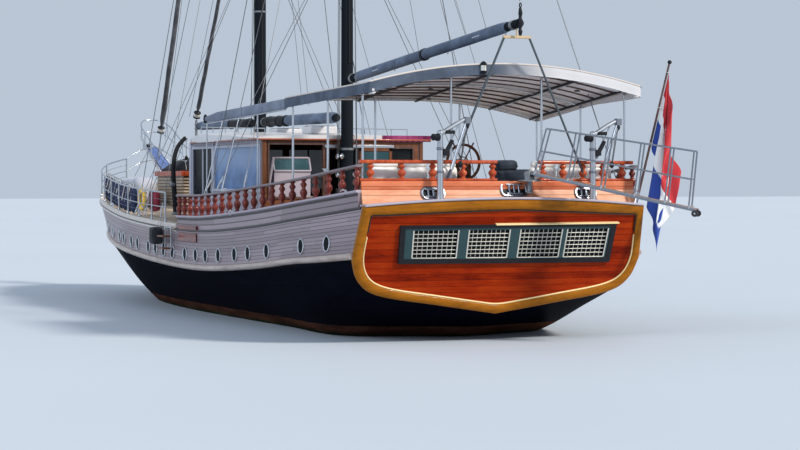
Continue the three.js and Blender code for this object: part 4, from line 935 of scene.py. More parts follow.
def bars(name, lines, radius, finish, body="yacht", sides=8, stands_for=()):
    """One piece of round bars, wires or ropes along lines of points."""
    points, edges = [], []
    for line in lines:
        start = len(points)
        points += [tuple(point) for point in line]
        edges += [(start + k, start + k + 1) for k in range(len(line) - 1)]
    mesh = bpy.data.meshes.new("lines")
    mesh.from_pydata(points, edges, [])
    carrier = bare_object("lines", mesh)
    made = grown_by(TREES["line"], carrier, {"Radius": radius, "Sides": sides, "Finish": FINISHES[finish]})
    drop(carrier)
    made.name = name
    shaded(made, 50)
    return seat(bare_object(name, made), body, stands_for)


# Hull


LOW = 24  # points up to the wale's lower edge
SIDE = LOW + 9  # points up to the deck edge


def topside_foot(wale, deck):
    """Where the topside starts above the wale, a little inside it."""
    return mix(wale[0], deck[0], 0.14), wale[1] + WALE_DEPTH


def half_section(s):
    """Half breadth and height round the hull, from the keel to the wale and up to the deck edge."""
    corners = [(0.0, along(HULL_TABLE, 1, s))]
    corners += [(along(HULL_TABLE, c, s), along(HULL_TABLE, c + 1, s)) for c in (2, 4, 6, 8)]
    low = [(v.y, v.z) for v in spline([(0, p, z) for p, z in corners], 6)]
    wale, deck = corners[-1], (deck_half(s), deck_z(s))
    top = topside_foot(wale, deck)
    side = [(mix(top[0], deck[0], k / 8), mix(top[1], deck[1], k / 8)) for k in range(9)]
    crown = [(mix(deck[0], 0, k / 6), deck_top(s, mix(deck[0], 0, k / 6))) for k in range(1, 7)]
    return low + side + crown


def hull_lines():
    """For each place round the section, its points from the transom to the stem."""
    count = len(half_section(5))
    stations = [BOW * (1 - (1 - t / HULL_ROWS) ** 1.25) for t in range(HULL_ROWS + 1)]
    lines = []
    for j in range(count):
        low, high = TRANSOM_SPAN
        for _ in range(30):
            middle = (low + high) / 2
            p, z = half_section(middle)[j]
            if middle < transom_s(p, z):
                low = middle
            else:
                high = middle
        lines.append([mix(low, BOW, s / BOW) for s in stations])
    return lines


def hull_points():
    """Rows of station, half breadth and height, from the transom to the stem."""
    lines = hull_lines()
    rows = []
    for i in range(len(lines[0])):
        row = []
        for j, line in enumerate(lines):
            p, z = half_section(line[i])[j]
            row.append((line[i], p, z))
        rows.append(row)
    return rows


def make_hull(look):
    rows = hull_points()
    count = len(rows[0])
    planks = look.planks
    shell = Shape()
    for side in (1, -1):
        points = [[at(s, side * p, z) for s, p, z in row] for row in rows]
        bottom = [row[:LOW + 1] for row in points]
        shell.grid(bottom, 1, place=lambda i, j: (rows[i][min(j, LOW)][0], j * 0.6))
        topside = [row[LOW:SIDE + 1] for row in points]
        shell.grid(topside, 0, place=lambda i, j: (
            rows[i][LOW][0], 0.02 if j == 0 else (j - 1) / 8 * planks))
        deck = [row[SIDE:] for row in points]
        shell.grid(deck, 2)
    for end in (0, len(rows) - 1):
        across = 12
        cap = []
        for j in range(count):
            s, p, z = rows[end][j]
            cap.append([at(transom_s(mix(p, -p, k / across), z) if end == 0 else s, mix(p, -p, k / across),
                           z) for k in range(across + 1)])
        shell.grid(cap, 1)
    return piece("hull_shell", shell, ["planked topside", "painted bottom", "caulked deck"],
                 stands_for="hull", sharp=30, merge=0.0005)


def strake(name, half, z, stations, section, finish, side, stands_for=()):
    """A moulding along the hull's side."""
    path = [at(s, half(s), z(s)) for s in stations]
    piece(name, strip(path, section, side), finish, stands_for=stands_for, sharp=30)


def half_round(reach, depth, back):
    """A bulging moulding: its back is inside the hull."""
    turns = [math.pi * (k / 8 - 0.5) for k in range(9)]
    line = [(math.cos(a) * reach, depth / 2 + math.sin(a) * depth / 2) for a in turns]
    return line + [(-back, depth), (-back, 0)]


def make_strakes():
    wale_at = steps_between(0.42, 28.62, 110)
    for side, word in SIDES:
        strake(f"wale_{word}", wale_half, wale_z, wale_at, half_round(WALE_PROUD, WALE_DEPTH, 0.15),
               "wale paint", side, f"rubbing_strake_{word}")
        # Near-black beads at the deck edge and under the sill: partly real strakes, partly painted shadow
        # under them.
        strake(f"deck_strake_{word}", lambda s: deck_half(s) - 0.005, lambda s: deck_z(s) - 0.05,
               steps_between(0.12, 28.3, 100), half_round(0.035, 0.07, 0.03), "dark strake", side)
        strake(f"sill_strake_{word}", lambda s: deck_half(s) - 0.032, lambda s: sill_z(s) - 0.13,
               steps_between(0.36, STEP, 50), half_round(0.03, 0.05, 0.03), "dark strake", side)


def make_bulwarks():
    for side, word in SIDES:
        stations = steps_between(0.35, STEP, 60)
        rings = []
        for s in stations:
            outer, low, top = deck_half(s) - 0.03, deck_z(s) - 0.03, sill_z(s) - 0.06
            profile = [(outer, mix(low, top, k / 4)) for k in range(5)]
            profile += [(outer - 0.07, top), (outer - 0.07, low)]
            rings.append([at(s, side * p, z) for p, z in profile])
        body = Shape().grid(rings, 0, True, True, place=lambda i, j: (stations[i], 0.25 + min(j, 4) * 0.4))
        piece(f"bulwark_planks_{word}", body, "planked topside", stands_for=f"bulwark_{word}",
              sharp=30)


def make_toe_rails():
    for side, word in SIDES:
        path = [at(s, deck_half(s), deck_z(s)) for s in steps_between(STEP + 0.01, 28.1, 70)]
        body = strip(path, rounded(-0.11, 0.02, -0.1, 0.13, 0.025), side)
        if side > 0:
            for s in (13.4, 14.05):
                body.block(at(s + 0.0003, 3.9, 2.386), at(s + 0.0497, 4.13, 2.454))
            body.block(at(13.4, 3.9, 2.386), at(14.1, 4.028, 2.454))
        piece(f"toe_rail_cap_{word}", body, "pale moulding", stands_for=f"toe_rail_{word}")


# Transom


EDGE_POINTS = 220


def transom_outline(rows):
    """The transom's edge, as half breadths and heights, evenly spaced from the foot to port and round."""
    port = [(p, z) for _, p, z in rows[0]]
    loop = port + [(-p, z) for p, z in reversed(port[1:-1])]
    return resampled(loop, EDGE_POINTS)


def resampled(loop, count):
    """Evenly spaced points on a closed line."""
    loop = [Vector(point) for point in loop]
    lengths = [0.0]
    for a, b in zip(loop, loop[1:] + loop[:1]):
        lengths.append(lengths[-1] + (b - a).length)
    made, k = [], 0
    for i in range(count):
        want = lengths[-1] * i / count
        while lengths[k + 1] < want:
            k += 1
        t = (want - lengths[k]) / max(lengths[k + 1] - lengths[k], 1e-9)
        made.append(loop[k].lerp(loop[(k + 1) % len(loop)], t))
    return made


def inset(loop, distance, rounds=0):
    """The closed line moved inwards, and smoothed."""
    made = []
    for i, point in enumerate(loop):
        way = (loop[(i + 1) % len(loop)] - loop[i - 1]).normalized()
        made.append(point + Vector((-way.y, way.x)) * distance)
    for _ in range(rounds):
        made = [made[i] * 0.5 + (made[i - 1] + made[(i + 1) % len(made)]) * 0.25 for i in range(len(made))]
    return made


def on_transom(point, proud):
    """A point on the transom, from its half breadth and height, standing proud of it."""
    slope = TRANSOM["rake"] / TRANSOM["height"]
    return at(transom_s(point[0], point[1]) - proud, point[0], point[1] - proud * slope)


def make_transom():
    edge = transom_outline(hull_points())
    inner = inset(edge, 0.19, 14)
    frame_rings = []
    for a, b in zip(edge, inner):
        profile = [(-0.06, -0.06), (-0.06, 0.02), (0.0, 0.045), (0.12, 0.062), (0.5, 0.07), (0.88, 0.06),
                   (0.98, 0.04), (1.0, 0.012), (1.0, -0.05), (0.5, -0.06)]
        frame_rings.append([on_transom(a.lerp(b, t), proud) for t, proud in profile])
    frame_rings.append(frame_rings[0])
    piece("transom_frame", Shape().grid(frame_rings, 0, True), "golden varnish", sharp=50)
    beaded, outer = inset(edge, 0.205, 14), inset(edge, 0.17, 14)
    half = len(edge) // 2
    for name, first, keep, finish in (("transom_bead", half, lambda z: z < BEAD_TOP, "cream bead"),
                                      ("transom_shadow_line", 0, lambda z: z >= BEAD_TOP, "dark strake")):
        rings = []
        for k in [(i + first) % len(edge) for i in range(len(edge))]:
            if keep(beaded[k].y):
                way = (beaded[k] - outer[k]).normalized()
                rings.append([on_transom(beaded[k] + way * math.cos(a) * 0.018, 0.028 + math.sin(a) * 0.022)
                              for a in [math.pi * j / 4 for j in range(8)]])
        piece(name, Shape().grid(rings, 0, True, True), finish)
    panel = inset(edge, 0.16, 14)
    low, high = min(v.y for v in panel), max(v.y for v in panel)
    levels = steps_between(low + 0.004, high - 0.004, 40)
    rows = []
    for z in levels:
        half = half_width(panel, z)
        rows.append([on_transom((mix(-half, half, k / 36), z), 0.012) for k in range(37)])
    back = [[on_transom((mix(-half_width(panel, z), half_width(panel, z), k / 36), z), -0.02)
             for k in range(37)] for z in levels]
    piece("transom_panel", Shape().slab(rows, back), "varnished transom", sharp=30)
    crown = [(p, 3.31 - 0.0135 * p * p) for p in steps_between(-3.5, 3.5, 50)]
    strip_ = [[on_transom((p, z - drop_), proud) for drop_, proud in
               ((0, -0.05), (0, 0.05), (0.05, 0.068), (0.11, 0.066), (0.17, 0.05), (0.17, -0.05))]
              for p, z in crown]
    piece("transom_upper_strip", Shape().grid(strip_, 0, True, True), "golden varnish", sharp=50)
    cover = Shape().grid([[on_transom((p, z), 0.0) + Vector((u, 0, v))
                           for u, v in rounded(-0.085, 0.3, -0.01, 0.045, 0.02)] for p, z in crown], 0,
                         True, True)
    piece("transom_ledge", cover, "pale sill")


def half_width(loop, z):
    """Half breadth of a closed line at a height, on its port side."""
    widest = 0.0
    for a, b in zip(loop, loop[1:] + loop[:1]):
        if (a.y - z) * (b.y - z) <= 0 and abs(a.y - b.y) > 1e-9:
            widest = max(widest, mix(a.x, b.x, (z - a.y) / (b.y - a.y)))
    return max(widest, 0.002)


BEAD_TOP = 2.5  # height up to which the transom's inner edge has its bright bead
# Half breadth and height of the stern window's corners, from the upper port one
WINDOW_CORNERS = ((2.575, 2.71), (-2.78, 2.735), (-2.74, 1.84), (2.52, 1.868))
WINDOWS = ((0.05, 0.252), (0.3, 0.49), (0.541, 0.742), (0.768, 0.972))
PANE_V = (0.11, 0.85)  # upper and lower edges of the panes on the window panel
FRAME_U, FRAME_V = (0.012, 0.985), (0.05, 0.88)  # ends and edges of the teal frame on the window panel
BORDER_U, BORDER_V = (-0.01, 1.01), (-0.02, 1.0)  # outer ends and edges of the black border
BORDER_PROUD = 0.075
FRAME_BACK, FRAME_PROUD = 0.018, 0.06
SLAT_HALF, UPRIGHT_HALF = 0.009, 0.0011  # half the width of a grille's bars, as shares of the window panel


def window_point(u, v, proud):
    """A point of the stern window, from its shares of the way across and down."""
    a, b, c, d = (Vector(corner) for corner in WINDOW_CORNERS)
    return on_transom(a.lerp(b, u).lerp(d.lerp(c, u), v), proud)


def window_band(shape, u0, u1, v0, v1, low, high, steps=8):
    """A flat bar on the transom that follows its bow, between two places on the window panel."""
    rings = []
    for u in steps_between(u0, u1, steps):
        rings.append([window_point(u, v0, low), window_point(u, v0, high), window_point(u, v1, high),
                      window_point(u, v1, low)])
    shape.grid(rings, 0, True, True)


def make_stern_windows():
    top, low = PANE_V
    (left, right), (upper, lower) = FRAME_U, FRAME_V
    (border_left, border_right), (border_top, border_low) = BORDER_U, BORDER_V
    border = Shape()
    window_band(border, border_left, border_right, border_top, upper, 0.0, BORDER_PROUD, steps=24)
    window_band(border, border_left, border_right, lower, border_low, 0.0, BORDER_PROUD, steps=24)
    for u0, u1 in ((border_left, left), (right, border_right)):
        window_band(border, u0, u1, upper, lower, 0.0, BORDER_PROUD, steps=2)
    window_band(border, left, right, upper, lower, 0.0, FRAME_BACK, steps=24)
    piece("window_border", border, "black fitting", bevel=0.006)
    # A drip moulding over the window; its pale cream is partly a painted highlight along its top.
    drip = Shape()
    window_band(drip, 0.42, 1.02, -0.05, border_top, 0.0, 0.09, steps=24)
    piece("window_drip", drip, "cream bead", bevel=0.004)
    frames, panes, slats = Shape(), Shape(), Shape()
    window_band(frames, left, right, upper, top, FRAME_BACK, FRAME_PROUD, steps=24)
    window_band(frames, left, right, low, lower, FRAME_BACK, FRAME_PROUD, steps=24)
    posts = [left] + [u for pair in WINDOWS for u in pair] + [right]
    for u0, u1 in zip(posts[::2], posts[1::2]):
        window_band(frames, u0, u1, top, low, FRAME_BACK, FRAME_PROUD, steps=2)
    for u0, u1 in WINDOWS:
        window_band(panes, u0, u1, top, low, FRAME_BACK, 0.024)
        for v in steps_between(top, low, 7)[1:-1]:
            window_band(slats, u0, u1, v - SLAT_HALF, v + SLAT_HALF, 0.034, 0.046)
        for u in steps_between(u0, u1, 9)[1:-1]:
            window_band(slats, u - UPRIGHT_HALF, u + UPRIGHT_HALF, top, low, 0.03, 0.038, steps=1)
        for u in (u0, u1):
            window_band(slats, u - 0.003, u + 0.003, top, low, 0.055, 0.066, steps=1)
        window_band(slats, u0, u1, low - 0.012, low + 0.012, 0.055, 0.066)
    piece("window_frames", frames, "teal frame", bevel=0.006)
    piece("window_panes", panes, "dark pane")
    piece("window_slats", slats, "louvre slats", bevel=0.002)


# Portholes

PORTHOLES = (1.86, 3.42, 5.77, 7.16, 8.19, 9.48, 10.56, 11.43, 12.43, 13.65, 14.57, 15.46, 16.27, 17.57,
             18.37, 19.5, 20.2, 21.6, 23.0)
PORTHOLE_RISE = 0.27  # share of the way from the wale to the deck edge


def side_point(s, share):
    """A point of the topside's surface, a share of the way up from the wale to the deck edge."""
    wale, deck = (wale_half(s), wale_z(s)), (deck_half(s), deck_z(s))
    top = topside_foot(wale, deck)
    return at(s, mix(top[0], deck[0], share), mix(top[1], deck[1], share))


def make_portholes():
    rim = Shape().ring((0, 0, 0), 0.175, 0.024, (1, 0, 0), 28, 8, flat=1.3)
    pane = Shape().turned([(0.0, -0.03), (0.165, -0.03), (0.165, 0.006), (0.1, 0.009), (0.0, 0.01)],
                          (0, 0, 0), (1, 0, 0), 24)
    places = {"port": [], "starboard": []}
    for s in PORTHOLES:
        here = side_point(s, PORTHOLE_RISE)
        ahead, above = side_point(s + 0.05, PORTHOLE_RISE), side_point(s, PORTHOLE_RISE + 0.03)
        out = (ahead - here).cross(above - here)
        out = out if out.y > 0 else -out
        for side, word in SIDES:
            spot, way = flipped((here, out.normalized()), side)
            turn = Vector((1, 0, 0)).rotation_difference(way).to_euler()
            places[word].append((spot + way * 0.006, turn, (1, 1, 1)))
    for word in places:
        repeated(f"porthole_rims_{word}", rim, places[word], "chrome")
        repeated(f"porthole_panes_{word}", pane, places[word], "dark pane")


# Rails and bulwarks

RAIL_INSET = 0.065
SIDE_BALUSTERS = 21
CROWDING = 0.23
STERN_BALUSTERS = 5
GANGWAY = (0.15, -0.95)
# Turned baluster: radius, share of its height
BALUSTER = [(0.07, 0), (0.074, 0.05), (0.05, 0.08), (0.042, 0.12), (0.062, 0.19), (0.088, 0.29),
            (0.095, 0.37), (0.082, 0.46), (0.055, 0.53), (0.042, 0.58), (0.052, 0.63), (0.076, 0.71),
            (0.08, 0.76), (0.06, 0.82), (0.042, 0.87), (0.052, 0.91), (0.074, 0.945), (0.072, 1)]
CAP = 0.06  # depth of a sill or a top rail
CAP_HALF = 0.085


def side_path(height):
    """The middle of the side balustrade, at the height of its sill or of its rail."""
    return [at(s, deck_half(s) - RAIL_INSET, height(s)) for s in steps_between(0.35, STEP, 60)]


def make_side_balustrades():
    for side, word in SIDES:
        node = f"balustrade_{word}"
        sill = strip(side_path(sill_z), rounded(-CAP_HALF, CAP_HALF, -CAP, 0, 0.02), side)
        piece(f"sill_{word}", sill, "pale sill", stands_for=node)
        rail = strip(side_path(rail_z), rounded(-CAP_HALF, CAP_HALF, -CAP, 0, 0.026), side)
        piece(f"top_rail_{word}", rail, "side rail", stands_for=node)
        places = []
        for i in range(SIDE_BALUSTERS):
            u = i / (SIDE_BALUSTERS - 1)
            s = mix(0.48, STEP - 0.09, (1 + CROWDING) * u - CROWDING * u * u)
            foot = at(s, (deck_half(s) - RAIL_INSET) * side, sill_z(s) - 0.01)
            places.append((foot, (0, 0, 0.3 * i), (1, 1, rail_z(s) - CAP - sill_z(s) + 0.02)))
        repeated(f"balusters_{word}", Shape().turned(BALUSTER, (0, 0, 0), sides=14), places, "mahogany",
                 stands_for=node)


def stern_point(p, z, lean):
    return at(stern_s(p, lean), p, z)


def stern_path(a, b, z, lean, count=24):
    return [stern_point(p, z, lean) for p in steps_between(a, b, count)]


def make_stern_bulwark():
    half = 3.44
    lean, thick, drop_ = STERN["lean"], 0.07, STERN["foot"] - 0.25
    rows = []
    for p in steps_between(-half, half, 48):
        outer = [stern_point(p, mix(drop_, STERN["sill"], k / 8), lean * k / 8) for k in range(9)]
        inner = [stern_point(p, z, u + thick) for z, u in ((STERN["sill"], lean), (drop_, 0))]
        rows.append(outer + inner)
    piece("stern_bulwark_panel", Shape().grid(rows, 0, True, True), "sunlit panel",
          stands_for="stern_bulwark", sharp=30)
    share, deep, proud = 0.86, 0.2, 0.04
    path = stern_path(-half, half, mix(drop_, STERN["sill"], share), lean * share - proud / 2, 40)
    moulding = Shape().grid([[point + Vector((u, 0, v))
                              for u, v in rounded(-proud / 2, proud, -deep / 2, deep / 2, 0.015)]
                             for point in path], 0, True, True)
    piece("stern_bulwark_moulding", moulding, "sunlit moulding")


def make_stern_balustrades():
    lean = STERN["lean"] + 0.035
    for word, a, b in (("port", GANGWAY[0], STERN["end"]), ("starboard", GANGWAY[1], -STERN["end"])):
        node = f"stern_balustrade_{word}"
        outer = b + math.copysign(0.17, b)
        sill = Shape().sweep(stern_path(a, outer, STERN["sill"] + CAP, lean),
                             rounded(-CAP_HALF, CAP_HALF, -CAP, 0, 0.02))
        piece(f"stern_sill_{word}", sill, "bright mahogany", stands_for=node)
        rail = Shape().sweep(stern_path(a, outer, STERN["rail"], lean),
                             rounded(-CAP_HALF, CAP_HALF, -0.085, 0, 0.03))
        piece(f"stern_rail_{word}", rail, "bright mahogany", stands_for=node)
        inner = math.copysign(0.09, b - a)
        height = STERN["rail"] - STERN["sill"] - 2 * CAP + 0.02
        places = []
        for i in range(STERN_BALUSTERS):
            foot = stern_point(mix(a + inner, b - inner, i / (STERN_BALUSTERS - 1)),
                               STERN["sill"] + CAP - 0.01, lean)
            places.append((foot, (0, 0, 0.4 * i), (1.05, 1.05, height)))
        repeated(f"stern_balusters_{word}", Shape().turned(BALUSTER, (0, 0, 0), sides=16), places,
                 "bright mahogany", stands_for=node)


FORE_RAIL = {"from": 14.6, "to": 27.9, "height": 0.83, "radius": 0.024, "posts": 9}
TOE_HEIGHT = 0.13


def make_fore_rails():
    span = (FORE_RAIL["from"], FORE_RAIL["to"])
    for side, word in SIDES:

        def line(rise):
            return flipped([at(s, deck_half(s) - 0.045, deck_z(s) + TOE_HEIGHT + rise)
                            for s in steps_between(*span, 50)], side)

        posts, collars = [], []
        for k in range(FORE_RAIL["posts"] + 1):
            s = mix(*span, k / FORE_RAIL["posts"])
            foot = at(s, (deck_half(s) - 0.045) * side, deck_z(s) + TOE_HEIGHT)
            posts.append([foot - Vector((0, 0, 0.04)), foot + Vector((0, 0, FORE_RAIL["height"]))])
            collars.append((foot, (0, 0, 0), (1, 1, 1)))
        node = f"foredeck_rail_{word}"
        bars(f"foredeck_rail_top_{word}", [line(FORE_RAIL["height"])] + posts, FORE_RAIL["radius"],
             "brushed steel", sides=10, stands_for=node)
        bars(f"foredeck_rail_middle_{word}", [line(FORE_RAIL["height"] / 2)], 0.016, "brushed steel",
             stands_for=node)
        bars(f"foredeck_rail_wires_{word}", [line(0.22), line(0.62)], 0.006, "wire rope")
        outline = [(0.055, 0), (0.055, 0.012), (0.035, 0.03), (0.03, 0.06)]
        collar = Shape().turned(outline, (0, 0, 0), sides=12)
        repeated(f"foredeck_rail_feet_{word}", collar, collars, "brushed steel")


def sprit_share(s):
    return (s - BOWSPRIT["heel_s"]) / (BOWSPRIT["tip_s"] - BOWSPRIT["heel_s"])


def sprit_top(s):
    return mix(BOWSPRIT["heel_z"], BOWSPRIT["tip_z"], sprit_share(s))


def sprit_half(s):
    return mix(BOWSPRIT["width"] / 2, BOWSPRIT["width"] / 3, sprit_share(s))


def make_bowsprit():
    rows = []
    for s in steps_between(BOWSPRIT["heel_s"], BOWSPRIT["tip_s"], 12):
        section = rounded(-sprit_half(s), sprit_half(s), -BOWSPRIT["depth"], 0, 0.03)
        rows.append([at(s, u, sprit_top(s) + v) for u, v in section])
    board = Shape().grid(rows, 0, True, True)
    piece("bowsprit_platform", board, "blue board", stands_for="bowsprit")
    trims = Shape()
    for side in (1, -1):
        rows = []
        for s in steps_between(27.1, 30.36, 12):
            section = rounded(-0.02, 0.03, -0.13, 0.035, 0.012)
            rows.append([at(s, sprit_half(s) * side + u * side, sprit_top(s) + v) for u, v in section])
        trims.grid(rows, 0, True, True)
    piece("bowsprit_trims", trims, "white gel coat")
    rail = [(27.9, 0.56), (28.9, 0.56), (29.8, 0.52), (30.28, 0.3), (30.38, 0)]
    both = rail + [(s, -p) for s, p in reversed(rail[:-1])]
    lines = [spline([at(s, p, sprit_top(s) + rise) for s, p in both], 5) for rise in (0.95, 0.52)]
    legs = []
    for s, p, foot in ((28.3, 0.56, 0.255), (29.2, 0.545, 0.23), (29.9, 0.48, 0.19)):
        for side in (-1, 1):
            legs.append([at(s, side * foot, sprit_top(s) - 0.04), at(s, side * p, sprit_top(s) + 0.52),
                         at(s, side * p, sprit_top(s) + 0.95)])
    bars("pulpit_rail", [lines[0]] + legs, 0.023, "brushed steel", sides=10, stands_for="pulpit")
    bars("pulpit_middle_rail", [lines[1]], 0.017, "brushed steel", stands_for="pulpit")
    joins = []
    for side in (1, -1):
        s = FORE_RAIL["to"]
        foot = deck_z(s) + TOE_HEIGHT
        for rise, above in ((FORE_RAIL["height"], 0.95), (FORE_RAIL["height"] / 2, 0.52)):
            joins.append([at(s, side * (deck_half(s) - 0.045), foot + rise),
                          at(s + 0.3, side * 1.0, sprit_top(s) + above - 0.12),
                          at(s + 0.02, side * 0.56, sprit_top(s) + above)])
    bars("pulpit_joining_rails", joins, 0.017, "brushed steel")
    bars("bobstay", [[at(30.2, 0, 4.75), at(28.55, 0, 3.0)]], 0.012, "wire rope")


# Spars


def mast_radius(mast, z):
    return mix(mast["foot"], mast["head"], (z - MAST_STEP) / (mast["top"] - MAST_STEP))


def spreader_reach(name, z):
    """Half length of a mast's spreader, whose tip is a little inside a straight shroud."""
    reach, low = CHAINPLATE[name]
    top = MASTS[name]["top"]
    return 0.93 * reach * (top - z) / (top - low)


def make_masts():
    for name, mast in MASTS.items():
        s, top = mast["s"], mast["top"]
        profile = [(mast_radius(mast, z), z) for z in steps_between(2.3, top, 24)]
        spar = Shape().turned(profile, at(s, 0, 0), sides=24)
        for z in mast["spreaders"]:
            reach = spreader_reach(name, z)
            spar.grid(rings_along([at(s, u * reach, z) for u in (-1, -0.5, 0, 0.5, 1)], 0.06, 10,
                                  [0.035, 0.06, 0.07, 0.06, 0.035], 0.6), 0, True, True)
        spar.block(at(s - 0.33, -0.09, top - 0.42), at(s + 0.33, 0.09, top - 0.34))
        piece(f"{name}_spar", spar, "spar paint", stands_for=name, bevel=0.008)
        fittings = Shape()
        for z, wide, high in ((mast["spreaders"][0], 0.03, 0.24), (mast["spreaders"][1], 0.03, 0.24),
                              (top - 0.5, 0.012, 0.2), (3.05, 0.05, 0.1), (4.6, 0.014, 0.08),
                              (8.9, 0.012, 0.07)):
            r = mast_radius(mast, z) + wide
            fittings.turned([(r - 0.05, -high / 2), (r, -high / 2 + 0.01), (r, high / 2 - 0.01),
                             (r - 0.05, high / 2)], at(s, 0, z), sides=24)
        fittings.turned([(0.05, 0), (0.08, 0.06), (0.05, 0.12), (0.015, 0.14), (0.012, 0.7)], at(s, 0, top),
                        sides=10)
        piece(f"{name}_bands", fittings, "grey metal")
        corners = ((-1, -0.02), (1, -0.02), (1, 0.02), (-1, 0.02))
        ends = ((mast["track"], mast["foot"] * 0.97), (top - 0.6, mast["head"]))
        rings = [[at(s - r - 0.02 * u, v, z) for u, v in corners] for z, r in ends]
        track = Shape().grid(rings, 0, True, True)
        piece(f"{name}_track", track, "black fitting")
        winches = Shape()
        for side, z in ((1, 3.9), (-1, 3.9), (1, 4.4)):
            way = Vector((-0.35, side, 0)).normalized()
            winches.turned([(0.07, 0.1), (0.085, 0.2), (0.055, 0.24), (0.05, 0.3), (0.075, 0.36),
                            (0.03, 0.38)], at(s, 0, z), way, 14)
        for side in (1, -1):
            for k, z in enumerate((3.4, 3.55, 4.9)):
                x, y = s - 0.06 + 0.05 * k, side * (mast["foot"] + 0.02)
                winches.tube([at(x, y, z - 0.1), at(x, y + side * 0.03, z - 0.06),
                              at(x, y + side * 0.03, z + 0.06), at(x, y, z + 0.1)], 0.012, 6)
        piece(f"{name}_winches", winches, "chrome")


SHEET_BAR = {"place": 0.985, "drop": -0.3, "half": 0.34}


def boom_point(name, t, rise=0.0, side=0.0):
    """A point beside a boom, a share of the way to its end."""
    boom = BOOMS[name]
    return at(mix(boom["pivot"], boom["end"], t), side, mix(boom["z0"], boom["z1"], t) + rise)


def boom_cover(name, t0, t1, radius, finish, seed, label="cover", strap_at=()):
    """A sail's sleeve round a boom, pinched at its ends and a little uneven."""
    offset = random.Random(seed).random() * 50
    count = 60
    rings = []
    for i in range(count + 1):
        t = mix(t0, t1, i / count)
        close = min(1, 0.86 + math.sin(math.pi * i / count) * 1.2)
        ring = []
        for a in round_steps(18):
            swell = 1 + 0.05 * noise.noise(Vector((offset + i * 0.14, math.cos(a), math.sin(a))))
            reach = radius * close * swell
            ring.append(boom_point(name, t, math.sin(a) * reach * (1.12 if math.sin(a) > 0 else 1),
                                   math.cos(a) * reach))
        rings.append(ring)
    made = piece(f"{name}_{label}", Shape().grid(rings, 0, True, True), finish, body=name,
                 sharp=60)
    if strap_at:
        straps = Shape()
        for t in strap_at:
            rows = [[boom_point(name, t + w, math.sin(a) * radius * 1.22, math.cos(a) * radius * 1.12)
                     for a in round_steps(20)] for w in (-0.006, 0.006)]
            straps.grid(rows, 0, True, True)
        piece(f"{name}_{label}_straps", straps, "dark canvas", body=name)


def make_booms(seed):
    for name, boom in BOOMS.items():
        start = 0.19 / (boom["pivot"] - boom["end"])
        lines = [boom_point(name, t) for t in steps_between(start, 1, 12)]
        radii = [mix(boom["radius"], boom["radius"] * 0.85, k / 12) for k in range(13)]
        spar = Shape().tube(lines, 0, 24, 0, radii)
        tongue = Vector((0.045, 0.05, 0.034))
        low, high = boom_point(name, 0), boom_point(name, start + 0.005)
        spar.block((high.x - 0.06, -tongue.y, low.z - tongue.z),
                   (low.x + tongue.x, tongue.y, low.z + tongue.z), 1)
        for t, wide in ((start + 0.004, 0.012), (0.5, 0.008), (0.97, 0.012)):
            r = mix(boom["radius"], boom["radius"] * 0.85, t) + wide
            spar.tube([boom_point(name, t - 0.006), boom_point(name, t + 0.006)], r, 24, 1)
        piece(f"{name}_spar", spar, ["spar paint", "grey metal"], body=name, stands_for=name)
        ends = Shape()
        for t in (0.3, 0.62, 0.93):
            eye = boom_point(name, t, -boom["radius"] - 0.02)
            ends.ring(eye, 0.032, 0.009, (0, 1, 0), 14, 6)
        for t in (0.2, 0.8):
            a, b = (boom_point(name, t + shift, -0.02, boom["radius"]) for shift in (-0.02, 0.02))
            ends.plank(a, b, 0.02, 0.03)
        piece(f"{name}_eyes", ends, "brushed steel", body=name)
    boom_cover("mizzen_boom", 0.04, 0.94, 0.128, "boom canvas", seed + 2, strap_at=(0.486,))
    boom_cover("main_boom", 0.36, 0.98, 0.15, "boom canvas", seed + 3)
    boom_cover("main_boom", 0.05, 0.355, 0.14, "dark canvas", seed + 5, "bag", (0.12, 0.24, 0.34))
    boom_cover("staysail_boom", 0.06, 0.62, 0.135, "boom canvas", seed + 4)
    boom_cover("staysail_boom", 0.63, 0.98, 0.128, "dark canvas", seed + 6, "bag", (0.64, 0.8, 0.96))
    fitting = Shape()
    top = boom_point("mizzen_boom", 1.0)
    for rise, wide, long in ((0.22, 0.05, 0.12), (0.0, 0.062, 0.13), (-0.2, 0.05, 0.09)):
        fitting.tube([top + Vector((-0.02, 0, rise - long)), top + Vector((-0.035, 0, rise)),
                      top + Vector((-0.02, 0, rise + long))], 0, 12, 0, [wide * 0.6, wide, wide * 0.6])
    fitting.ring(top + Vector((-0.03, 0, 0.4)), 0.05, 0.014, (0, 1, 0), 14, 6)
    piece("mizzen_boom_end_fitting", fitting, "black fitting", body="mizzen_boom")
    bar = Shape()
    middle = boom_point("mizzen_boom", SHEET_BAR["place"], SHEET_BAR["drop"])
    reach = Vector((0, SHEET_BAR["half"], 0))
    bar.plank(middle - reach, middle + reach, 0.08, 0.06)
    bar.tube([boom_point("mizzen_boom", SHEET_BAR["place"], -0.1), middle], 0.02, 8)
    piece("mizzen_sheet_bar", bar, "tan wood fitting", body="mizzen_boom", bevel=0.008)


